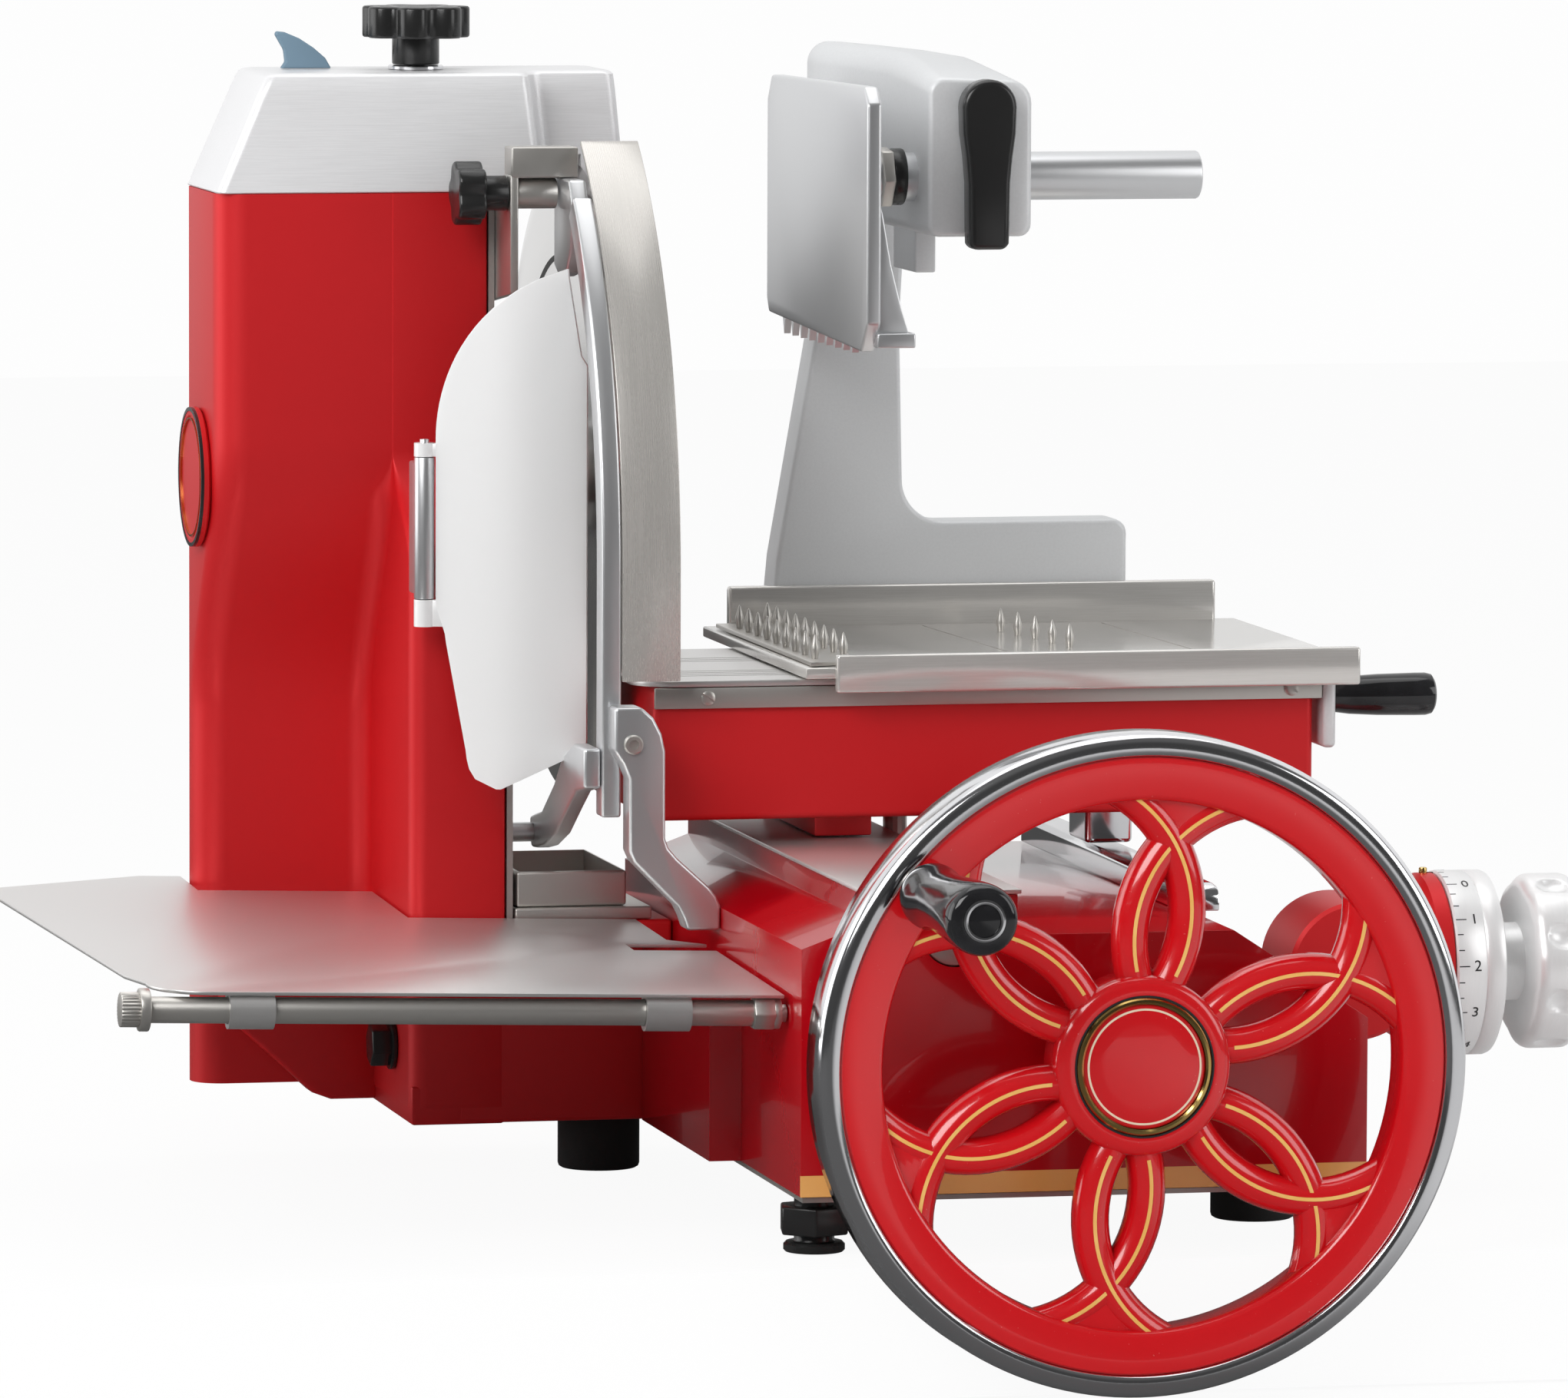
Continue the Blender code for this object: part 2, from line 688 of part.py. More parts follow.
def sprocket(height):
    """Return a chain wheel centred at a height."""
    outline = toothed_outline((CROSS_Y, height), SPROCKET_R - 0.003, SPROCKET_R - SEAT, SPROCKET_TEETH)
    return prism([outline], SPROCKET_X, SPROCKET_X + SPROCKET_WIDTH, "X")


def taper(obj, axis, at, place, scale):
    """Draw in the end of a gear towards its axis, to make a bevel."""
    index = "XYZ".index(axis)
    centre = Vector(at)
    for vert in obj.data.vertices:
        if abs(vert.co[index] - place) < 1e-5:
            along = vert.co[index]
            centre[index] = along
            vert.co = centre + (vert.co - centre) * scale
            vert.co[index] = along
    return obj


def crank_pin():
    """Return the crank pin's place when the carriage stands at rest."""
    reach = CARRIAGE_PIN_Y - CRANK_Y
    cosine = (CRANK_THROW ** 2 + reach ** 2 - ROD_LENGTH ** 2) / (2 * CRANK_THROW * reach)
    angle = math.acos(max(-1.0, min(1.0, cosine)))
    return CRANK_X + CRANK_THROW * math.sin(angle), CRANK_Y + CRANK_THROW * math.cos(angle)


def arm_outline():
    """Return the outline of the arm that carries the crank pin."""
    pin = Vector(crank_pin())
    centre = Vector((CRANK_X, CRANK_Y))
    along = (pin - centre).normalized()
    turn = math.atan2(along.y, along.x)
    half = ROD_EYE_R
    return (arc(pin, half, turn - math.pi / 2, turn + math.pi / 2, 9)
            + arc(centre, half, turn + math.pi / 2, turn + 3 * math.pi / 2, 5))


def rib_path(petal, side):
    """Return one rib's path from the hub to the rim, on the far side of its petal's axis.

    Each rib is an arc of a circle. A petal's two ribs bulge apart, cross and part again, so the
    twelve ribs make a rosette of interlaced rings.
    """
    axis = PETAL_TURN + petal * 2 * math.pi / PETALS
    start = math.asin((HUB_R - 0.003 - RIB_ARC_ALONG) / RIB_ARC_R)
    end = math.asin((RIM_INNER_R + 0.003 - RIB_ARC_ALONG) / RIB_ARC_R)
    points = []
    count = 10
    for index in range(count):
        swing = start + (end - start) * index / (count - 1)
        along = RIB_ARC_ALONG + RIB_ARC_R * math.sin(swing)
        aside = side * (RIB_ARC_R * math.cos(swing) - RIB_ARC_ASIDE)
        points.append((SHAFT_X + along * math.cos(axis) - aside * math.sin(axis),
                       WHEEL_FRONT + RIM_DEPTH / 2 + 0.001 + side * 0.0004,
                       SHAFT_Z + along * math.sin(axis) + aside * math.cos(axis)))
    return points


def web_outline(petal):
    """Return the outline of the web between a petal's crossing and the rim."""
    axis = PETAL_TURN + petal * 2 * math.pi / PETALS
    points = []
    start = math.acos(RIB_ARC_ASIDE / RIB_ARC_R)
    end = math.asin((RIM_INNER_R + 0.001 - RIB_ARC_ALONG) / RIB_ARC_R)
    flank = []
    for index in range(5):
        swing = start + (end - start) * index / 4
        flank.append((RIB_ARC_ALONG + RIB_ARC_R * math.sin(swing),
                      RIB_ARC_R * math.cos(swing) - RIB_ARC_ASIDE))
    outer = [(RIM_INNER_R + 0.006, flank[-1][1] * 0.5), (RIM_INNER_R + 0.008, 0.0),
             (RIM_INNER_R + 0.006, -flank[-1][1] * 0.5)]
    for along, aside in flank + outer + [(a, -b) for a, b in reversed(flank[1:])]:
        points.append((SHAFT_X + along * math.cos(axis) - aside * math.sin(axis),
                       SHAFT_Z + along * math.sin(axis) + aside * math.cos(axis)))
    return points


def build_flywheel(wheel_joint, grip_joint):
    """Build the flywheel: rim, hub and rosette in one casting, with tyre, badge and grip."""
    at = (SHAFT_X, 0, SHAFT_Z)
    front, inner = WHEEL_FRONT + 0.0015, RIM_INNER_R
    back = front + RIM_DEPTH
    outer = WHEEL_R - TYRE_WIDTH - SEAT
    rim = turned([(outer, back), (outer, front), (inner + 0.002, front), (inner, front + 0.004),
                  (inner, back - 0.003), (inner + 0.002, back)], "Y", at, 60, closed=True)
    hub_back = front + HUB_DEPTH
    hub = turned([(0.020, hub_back), (HUB_R - 0.006, hub_back), (HUB_R, hub_back - 0.012),
                  (HUB_R, front + 0.005), (HUB_R - 0.003, front + 0.001),
                  (BADGE_R + 0.0005, front + 0.001), (BADGE_R + 0.0005, front + 0.004),
                  (SHAFT_R + SEAT, front + 0.004), (SHAFT_R + SEAT, hub_back)], "Y", at, 36, closed=True)
    ribs = [tube(rib_path(petal, side), RIB_R) for petal in range(PETALS) for side in (-1, 1)]
    middle = WHEEL_FRONT + RIM_DEPTH / 2 + 0.001
    webs = [prism([web_outline(petal)], middle - WEB_THICK / 2, middle + WEB_THICK / 2, "Y")
            for petal in range(PETALS)]
    joined(rim, *ribs, *webs, hub)
    grip_x = SHAFT_X + GRIP_SEAT_R * math.cos(GRIP_TURN)
    grip_z = SHAFT_Z + GRIP_SEAT_R * math.sin(GRIP_TURN)
    cut(rim, rod(GRIP_PIN_R + SEAT, front - 0.005, back + 0.005, "Y", (grip_x, 0, grip_z), 16))
    node("flywheel_casting", rim, "red_enamel", wheel_joint)

    tyre_front = WHEEL_FRONT
    tyre_back = tyre_front + TYRE_DEPTH
    low = WHEEL_R - TYRE_WIDTH
    tyre = turned([(WHEEL_R, tyre_back - 0.003), (WHEEL_R, tyre_front + 0.004), (WHEEL_R - 0.0015, tyre_front + 0.001),
                   (WHEEL_R - 0.004, tyre_front), (low, tyre_front + 0.001), (low, tyre_back - 0.001),
                   (WHEEL_R - 0.003, tyre_back)], "Y", at, 60, closed=True)
    node("flywheel_tyre", tyre, "chrome", wheel_joint)

    badge = turned([(0, front + 0.0037), (BADGE_R, front + 0.0037), (BADGE_R, front + 0.0002),
                    (BADGE_R - 0.002, front - 0.0008), (BADGE_R - 0.003, front), (0, front)], "Y", at, 36)
    node("hub_badge", badge, "red_enamel", wheel_joint)

    grip_at = (grip_x, 0, grip_z)
    grip_back = front - 0.0055
    grip_front = grip_back - GRIP_LENGTH
    pin = turned([(0, back + 0.004), (0.008, back + 0.004), (0.008, back + SEAT), (GRIP_PIN_R, back + SEAT),
                  (GRIP_PIN_R, front - SEAT), (0.0085, front - SEAT), (0.0085, grip_back + SEAT),
                  (GRIP_PIN_R, grip_back + SEAT), (GRIP_PIN_R, grip_front + 0.006),
                  (0, grip_front + 0.006)], "Y", grip_at, 16)
    node("grip_pin", pin, "bright_steel", wheel_joint)
    inside = GRIP_PIN_R + RUNNING
    bore_end = grip_front + 0.005
    grip = turned([(0, bore_end), (inside, bore_end), (inside, grip_back), (0.0115, grip_back), (0.0132, grip_back - 0.006),
                   (0.0118, grip_back - 0.018), (0.0122, grip_back - 0.040), (GRIP_R - 0.0004, grip_back - 0.070),
                   (GRIP_R, grip_back - 0.084), (GRIP_R - 0.0012, grip_front + 0.001),
                   (GRIP_R - 0.003, grip_front), (0, grip_front)], "Y", grip_at, 24)
    node("grip", grip, "black_plastic", grip_joint)


def build_column():
    """Build the column casting with its buttress, recess and wing, and what is fixed to it."""
    back = COLUMN_FRONT + COLUMN_DEPTH
    body = block((COLUMN_LEFT, COLUMN_FRONT, COLUMN_FLOOR), (COLUMN_RIGHT, back, COLUMN_TOP + 0.02))
    rounded(body, 0.008, 3)
    cut(body, block((COLUMN_LEFT - 0.01, COLUMN_FRONT - 0.01, COLUMN_TOP),
                    (COLUMN_RIGHT + 0.01, back + 0.01, COLUMN_TOP + 0.03)))
    scoop = [(COLUMN_FRONT - 0.02, COLUMN_FLOOR - 0.01), (COLUMN_FRONT + RECESS_DEPTH, COLUMN_FLOOR - 0.01)]
    count = 8
    for index in range(count + 1):
        share = index / count
        ease = 0.5 + 0.5 * math.cos(math.pi * share)
        scoop.append((COLUMN_FRONT - 0.0005 + (RECESS_DEPTH + 0.0005) * ease,
                      RECESS_FOOT + (RECESS_TOP - RECESS_FOOT) * share))
    scoop.append((COLUMN_FRONT - 0.02, RECESS_TOP))
    recess = prism([scoop], COLUMN_LEFT - 0.01, BUTTRESS_LEFT, "X")
    cut(body, recess)
    inner = back - 0.0012
    buttress = prism([[(BUTTRESS_FRONT, BASE_FLOOR), (inner, BASE_FLOOR), (inner, BUTTRESS_BLEND),
                       (COLUMN_FRONT + 0.003, BUTTRESS_BLEND), (COLUMN_FRONT - 0.008, BUTTRESS_BLEND - 0.008),
                       (BUTTRESS_FRONT + 0.006, BUTTRESS_TOP + 0.012), (BUTTRESS_FRONT, BUTTRESS_TOP)]],
                     BUTTRESS_LEFT, COLUMN_RIGHT - 0.0008, "X")
    rounded(buttress, 0.004, 2, 50.0)
    gusset_y = COLUMN_FRONT + RECESS_DEPTH
    gusset = prism([[(BUTTRESS_LEFT + 0.006, BASE_FLOOR + 0.001), (BUTTRESS_LEFT - 0.022, BASE_FLOOR + 0.001),
                     (COLUMN_LEFT + 0.009, BASE_FLOOR + GUSSET_DROP), (COLUMN_LEFT + 0.009, WING_TOP - 0.006),
                     (BUTTRESS_LEFT + 0.006, WING_TOP - 0.006)]], gusset_y - 0.014, gusset_y + 0.004, "Y")
    wing = block((COLUMN_RIGHT - 0.020, BUTTRESS_FRONT + 0.0004, BASE_FLOOR + 0.0003),
                 (BASE_LEFT - SEAT, back - 0.0026, WING_TOP))
    rounded(wing, 0.002, 2)
    joined(body, buttress, gusset, wing)
    room_front, room_back = COLUMN_FRONT + CAVITY_WALL, back - CAVITY_WALL
    cavity = block((CAVITY_LEFT, room_front, SHAFT_Z - 0.032), (COLUMN_RIGHT + 0.001, room_back, BLADE_Z + 0.034))
    bore = rod(CROSS_R + RUNNING, CAVITY_LEFT + 0.001, BASE_LEFT + 0.004, "X", (0, CROSS_Y, SHAFT_Z))
    cut(body, cavity, bore)
    node("column_casting", body, "red_enamel")

    plate_left = COLUMN_RIGHT + SEAT
    plate = block((plate_left, BUTTRESS_FRONT + 0.001, WING_TOP + SEAT),
                  (plate_left + SIDE_PLATE_THICK, back - 0.002, COLUMN_TOP - 0.006))
    upper = block((plate_left - 0.002, BUTTRESS_FRONT - 0.01, BUTTRESS_BLEND - 0.010),
                  (plate_left + 0.006, COLUMN_FRONT + 0.001, COLUMN_TOP + 0.01))
    shaft_way = rod(BLADE_SHAFT_R + 0.002, plate_left - 0.004, plate_left + 0.008, "X", (0, CROSS_Y, BLADE_Z))
    cut(plate, upper, shaft_way)
    node("column_side_plate", plate, "bright_steel")

    badge = rod(SIDE_BADGE_R, COLUMN_LEFT - SEAT - 0.004, COLUMN_LEFT - SEAT, "X",
                (0, COLUMN_FRONT + COLUMN_DEPTH * 0.55, SIDE_BADGE_Z), 36, 0.0015)
    node("side_badge", badge, "red_enamel")

    bolt_x = BUTTRESS_LEFT - SEAT
    bolt_at = (COLUMN_FRONT - 0.004, 0.0535)
    head = prism([polygon(bolt_at, 0.016, 6, 0.3)], bolt_x - 0.010, bolt_x - 0.001, "X")
    washer = rod(0.0105, bolt_x - 0.0022, bolt_x, "X", (0, *bolt_at), 16)
    node("column_bolt", joined(rounded(head, 0.0008, 1), washer), "black_plastic")
    build_cap(back)


def cap_section(inset, rise):
    """Return the cap's outline at a height, drawn in by an inset."""
    back = COLUMN_FRONT + COLUMN_DEPTH
    lean = CAP_LEAN * rise
    left = COLUMN_LEFT + lean + inset
    right = CAP_RIGHT - 0.006 * rise - inset
    rear_right = CAP_REAR_RIGHT - 0.005 * rise - inset
    front = COLUMN_FRONT + inset + 0.002 * rise
    rear = back - inset - 0.004 * rise
    step = CAP_STEP_Y + inset
    return [(left, front), (right, front), (right + 0.001, front + 0.010), (right + 0.004, step - 0.004),
            (right + 0.010, step), (rear_right, step), (rear_right, rear), (left, rear)]


def build_cap(back):
    """Build the cap casting and the sharpener's controls on it."""
    low = COLUMN_TOP + SEAT
    high = low + CAP_HEIGHT
    outer = [[(x, y, z) for x, y in cap_section(0.0, rise)]
             for z, rise in ((low, 0.0), (high - 0.004, 0.93))]
    outer.append([(x, y, high) for x, y in cap_section(0.004, 1.0)])
    shell = loft(outer)
    rounded(shell, 0.003, 2, 50.0)
    inner_high = high - CAP_WALL
    inner = loft([[(x, y, z) for x, y in cap_section(CAP_WALL, rise)]
                  for z, rise in ((low - 0.001, 0.0), (inner_high, 0.93))])
    knob_x, knob_y = -0.1035, 0.300
    stem_hole = rod(0.004 + RUNNING, high - 0.012, high + 0.004, "Z", (knob_x, knob_y, 0), 16)
    blade_slot = block((BLADE_X - 0.0025, CAP_STEP_Y - 0.005, COLUMN_TOP - 0.005),
                       (BLADE_X + BLADE_THICK + 0.0025, back + 0.005, BLADE_Z + BLADE_R + 0.002))
    cut(shell, inner, stem_hole, blade_slot)
    node("column_cap", shell, "satin_aluminium")

    knob_joint = joint("sharpener_knob_axis", (knob_x, knob_y, high))
    stem = turned([(0, high + 0.014), (0.0098, high + 0.014), (0.0098, high + 0.0022), (0.0115, high + 0.0022),
                   (0.0115, high + SEAT), (0.004, high + SEAT), (0.004, high - 0.018), (0, high - 0.018)],
                  "Z", (knob_x, knob_y, 0), 16)
    lobes = prism([lobed_outline((knob_x, knob_y), 0.0225, 0.0035, 7, 35)], high + 0.013, high + 0.0265, "Z")
    node("sharpener_knob", joined(rounded(lobes, 0.002, 1, 60.0), stem), "black_plastic", knob_joint)

    fin_joint = joint("sharpener_lever_axis", (-0.146, 0.310, high))
    crest = [(-0.1585, 0.0), (-0.1560, 0.005), (-0.1610, 0.0145), (-0.1600, 0.0158), (-0.1530, 0.0135),
             (-0.1450, 0.0085), (-0.1375, 0.0)]
    fin = prism([[(x, high + SEAT + z) for x, z in crest]], 0.3075, 0.3125, "Y")
    node("sharpener_lever", rounded(fin, 0.0008, 1), "blue_plastic", fin_joint)

    stone_y = CROSS_Y + 0.010
    stone_at = (0, stone_y, COLUMN_TOP + 0.030)
    arm = block((-0.0760, stone_y - 0.006, COLUMN_TOP + 0.0240), (BLADE_X - 0.012, stone_y + 0.006, COLUMN_TOP + 0.0360))
    post = block((-0.0895, stone_y - 0.007, COLUMN_TOP + SEAT), (-0.0750, stone_y + 0.007, COLUMN_TOP + 0.0365))
    stone = rod(0.010, BLADE_X - 0.013, BLADE_X - 0.004, "X", stone_at, 16, 0.001)
    node("sharpener_arm", joined(post, arm, stone), "dark_steel")


def build_blade(blade_joint):
    """Build the blade, its shaft, sprockets, chain and bearing."""
    at = (0, CROSS_Y, BLADE_Z)
    right = BLADE_X + BLADE_THICK
    disc = turned([(0, right), (BLADE_R, right), (BLADE_R, right - 0.0004), (BLADE_R - 0.012, BLADE_X),
                   (BLADE_R - 0.040, BLADE_X), (BLADE_R - 0.042, BLADE_X + 0.0008), (0, BLADE_X + 0.0008)],
                  "X", at, 56)
    node("blade", disc, "mirror_steel", blade_joint)
    flange_right = BLADE_X + 0.0008 - SEAT
    shaft = turned([(0, flange_right), (BLADE_HUB_R, flange_right), (BLADE_HUB_R, flange_right - 0.0045),
                    (BLADE_SHAFT_R + 0.003, flange_right - 0.0045), (BLADE_SHAFT_R, flange_right - 0.009),
                    (BLADE_SHAFT_R, SPROCKET_X - 0.006), (0, SPROCKET_X - 0.006)], "X", at, 24)
    node("blade_shaft", joined(shaft, sprocket(BLADE_Z)), "bright_steel", blade_joint)
    inner, outer = SPROCKET_R + SEAT, SPROCKET_R + CHAIN_HEIGHT
    loops = []
    for radius in (outer, inner):
        loops.append(arc((CROSS_Y, BLADE_Z), radius, 0, math.pi, 13)
                     + arc((CROSS_Y, SHAFT_Z), radius, math.pi, 2 * math.pi, 13))
    chain = prism(loops, SPROCKET_X, SPROCKET_X + SPROCKET_WIDTH, "X")
    node("drive_chain", chain, "dark_steel")
    plate = COLUMN_RIGHT + SEAT + SIDE_PLATE_THICK + SEAT
    end = flange_right - 0.0045 - SLIDE_GAP - 0.005
    bearing = turned([(BEARING_R - 0.006, end), (BEARING_R, end - 0.006), (BEARING_R, plate + 0.005),
                      (BEARING_R + 0.006, plate + 0.004), (BEARING_R + 0.006, plate),
                      (BLADE_SHAFT_R + RUNNING, plate), (BLADE_SHAFT_R + RUNNING, end)], "X", at, 24, closed=True)
    node("blade_bearing", bearing, "satin_aluminium")


def guard_arc(radius, foot, top_turn, count):
    """Return the guard's curve from its top end down to its foot."""
    points = arc((GUARD_Y, GUARD_Z), radius, top_turn, math.pi, count)
    return points + [(GUARD_Y - radius, foot)]


def strip_outline(outer, inner, foot, top_turn, count):
    """Return the outline of a curved strip between two radii."""
    return guard_arc(outer, foot, top_turn, count) + list(reversed(guard_arc(inner, foot, top_turn, count)))


def build_guard(guard_knob_joint):
    """Build the blade's edge guard: steel band, frame, arm, knob, lower rod and bracket."""
    left = GUARD_RIGHT - GUARD_WIDTH
    band = prism([strip_outline(GUARD_R, GUARD_R - GUARD_BAND_THICK, GUARD_FOOT_Z, GUARD_TOP_TURN, 22)],
                 left, GUARD_RIGHT, "X")
    node("guard_band", band, "brushed_steel")

    frame_right = left - SEAT
    frame_top = GUARD_TOP_TURN + math.radians(9.0)
    frame = prism([strip_outline(GUARD_R - 0.0005, GUARD_R - FRAME_DEPTH, FRAME_FOOT_Z, frame_top, 20)],
                  frame_right - FRAME_WIDTH, frame_right, "X")
    high = GUARD_ARM_Z - SEAT
    lug = prism([[(0.2060, high - 0.014), (0.2150, high - 0.035), (0.2400, high - 0.040), (0.2462, high - 0.036),
                  (0.2462, high), (0.2160, high)]], frame_right - FRAME_WIDTH + 0.0004, frame_right - 0.0004, "X")
    joined(frame, lug)
    node("guard_frame", frame, "satin_aluminium")

    plate_face = COLUMN_RIGHT + SEAT + SIDE_PLATE_THICK + SEAT
    top = block((plate_face + 0.0004, GUARD_ARM_Y, GUARD_ARM_Z),
                (frame_right - SEAT, GUARD_ARM_Y + 0.0155, GUARD_ARM_Z + 0.0125))
    leg_front, leg_top = GUARD_ARM_Y + 0.0004, COLUMN_TOP - 0.006
    leg = prism([[(leg_front, leg_top - 0.034), (COLUMN_FRONT + 0.020, leg_top - 0.040), (COLUMN_FRONT + 0.020, leg_top),
                  (COLUMN_FRONT - 0.002, leg_top), (GUARD_ARM_Y + 0.015, GUARD_ARM_Z + 0.001),
                  (leg_front, GUARD_ARM_Z + 0.001)]], plate_face, COLUMN_RIGHT + SIDE_PLATE_THICK + 0.004, "X")
    hole = rod(0.003 + RUNNING, COLUMN_RIGHT - 0.002, COLUMN_RIGHT + 0.012, "X",
               (0, GUARD_ARM_Y + 0.007, GUARD_ARM_Z - 0.0065), 16)
    spacer = rod(0.0063, COLUMN_RIGHT + SIDE_PLATE_THICK + 0.003, frame_right - FRAME_WIDTH - SEAT, "X",
                 (0, GUARD_ARM_Y + 0.008, GUARD_ARM_Z - 0.0067), 16)
    node("guard_arm", cut(joined(rounded(joined(top, leg), 0.001, 1), spacer), hole), "satin_aluminium")

    knob_at = (0, GUARD_ARM_Y + 0.007, GUARD_ARM_Z - 0.0065)
    stem_end = COLUMN_RIGHT + SIDE_PLATE_THICK + 0.0042
    knob_right = COLUMN_RIGHT + SIDE_PLATE_THICK + SEAT
    stem = turned([(0, stem_end), (0.003, stem_end), (0.003, knob_right), (0.0072, knob_right),
                   (0.0072, knob_right - 0.011), (0, knob_right - 0.011)], "X", knob_at, 16)
    lobes = prism([lobed_outline(knob_at[1:], 0.0133, 0.0022, 5, 30)],
                  knob_right - 0.022, knob_right - 0.010, "X")
    node("guard_knob", joined(rounded(lobes, 0.0015, 1, 60.0), stem), "black_plastic", guard_knob_joint)

    rod_y, rod_z = 0.250, 0.1415
    rod_left = COLUMN_RIGHT + SEAT + SIDE_PLATE_THICK + SEAT
    link_right = frame_right - FRAME_WIDTH - SEAT
    bar = rod(0.004, rod_left, link_right - 0.006, "X", (0, rod_y, rod_z), 16)
    low_y = GUARD_Y - GUARD_R
    link = prism([[(rod_y - 0.006, rod_z - 0.006), (rod_y + 0.006, rod_z - 0.006), (rod_y + 0.006, rod_z + 0.006),
                   (low_y + 0.030, FRAME_FOOT_Z + 0.022), (low_y + 0.014, FRAME_FOOT_Z + 0.028),
                   (low_y + 0.001, FRAME_FOOT_Z + 0.028), (low_y + 0.001, FRAME_FOOT_Z + 0.012),
                   (low_y + 0.026, FRAME_FOOT_Z + 0.006)]],
                 link_right - 0.007, link_right, "X")
    node("guard_link", joined(rounded(link, 0.0012, 1), bar), "satin_aluminium")

    arm_back = low_y - SEAT
    brace = prism([[(-0.0540, 0.2040), (-0.0430, 0.2040), (-0.0365, 0.1960), (-0.0330, 0.1860),
                    (-0.0330, 0.1500), (-0.0290, 0.1440), (-0.0125, 0.1290), (BASE_LEFT - SEAT, 0.1230),
                    (BASE_LEFT - SEAT, 0.1130), (-0.0240, 0.1130), (-0.0250, 0.1220), (-0.0480, 0.1440),
                    (-0.0480, 0.1750), (-0.0540, 0.1850)]], arm_back - 0.014, arm_back, "Y")
    node("deflector_brace", rounded(brace, 0.0018, 2), "satin_aluminium")


def cover_outline():
    """Return the cover plate's outline: distance from the hinge line along the plate, and height."""
    centre = (COVER_ARC_R + 0.005, COVER_ARC_Z)
    top_turn = math.radians(105.0)
    points = arc(centre, COVER_ARC_R, top_turn, math.pi, 9)
    points += [(0.006, 0.3045), (-0.0040, 0.3045), (-0.0040, 0.3005), (0.006, 0.3005), (0.006, 0.2420),
               (-0.0040, 0.2420), (-0.0040, 0.2350), (0.0065, 0.2350), (0.0095, 0.2250), (0.0135, 0.2070),
               (0.0185, 0.1790)]
    points += arc((0.031, 0.178), 0.0125, math.radians(190), math.radians(285), 6)
    points += [(COVER_RIGHT, 0.1815), (COVER_RIGHT + 0.001, 0.2700), (COVER_RIGHT - 0.002, 0.3400)]
    return points


def build_cover(cover_joint):
    """Build the white cover plate, bowed outwards, and its hinge."""
    hinge_x, hinge_y = COVER_HINGE
    plate = prism([cover_outline()], 0.0, COVER_PLATE, "Y")
    work = bmesh.new()
    work.from_mesh(plate.data)
    for place in (0.018, 0.033, 0.048):
        bmesh.ops.bisect_plane(work, geom=work.verts[:] + work.edges[:] + work.faces[:],
                               plane_co=(place, 0, 0), plane_no=(1, 0, 0), dist=1e-6)
    for vert in work.verts:
        share = max(0.0, min(1.0, (vert.co.x - 0.005) / (COVER_RIGHT - 0.005)))
        vert.co.y -= 0.007 * math.sin(math.pi * share)
    bmesh.ops.triangulate(work, faces=work.faces)
    work.to_mesh(plate.data)
    work.free()
    plate.data.transform(Matrix.Translation((0, -COVER_PLATE / 2, 0)))
    plate.data.transform(Matrix.Rotation(COVER_TURN, 4, "Z"))
    plate.data.transform(Matrix.Translation((hinge_x, hinge_y, 0)))
    for low, high in ((0.3005, 0.3045), (0.2350, 0.2420)):
        knuckle = rod(0.0042, low, high, "Z", (hinge_x, hinge_y, 0), 14)
        plate = joined(plate, knuckle)
    cut(plate, rod(0.0018 + RUNNING, 0.230, 0.310, "Z", (hinge_x, hinge_y, 0), 16))
    node("blade_cover", plate, "white_enamel", cover_joint)

    barrel = rod(0.0042, 0.2420 + SEAT, 0.3005 - SEAT, "Z", (hinge_x, hinge_y, 0), 16)
    leaf = block((hinge_x - 0.0040, hinge_y, 0.2440), (hinge_x + 0.0040, BUTTRESS_FRONT + 0.001, 0.2600))
    leaf_up = block((hinge_x - 0.0040, hinge_y, 0.2600), (hinge_x + 0.0040, hinge_y + 0.008, 0.2980))
    joined(barrel, leaf, leaf_up)
    seat_cut = block((hinge_x - 0.02, BUTTRESS_FRONT - SEAT, 0.2), (hinge_x + 0.02, BUTTRESS_FRONT + 0.02, 0.31))
    pin = turned([(0, 0.3062), (0.0032, 0.3062), (0.0032, 0.3048), (0.0018, 0.3048), (0.0018, 0.2335), (0, 0.2335)],
                 "Z", (hinge_x, hinge_y, 0), 16)
    node("cover_hinge", joined(cut(barrel, seat_cut), pin), "satin_aluminium")


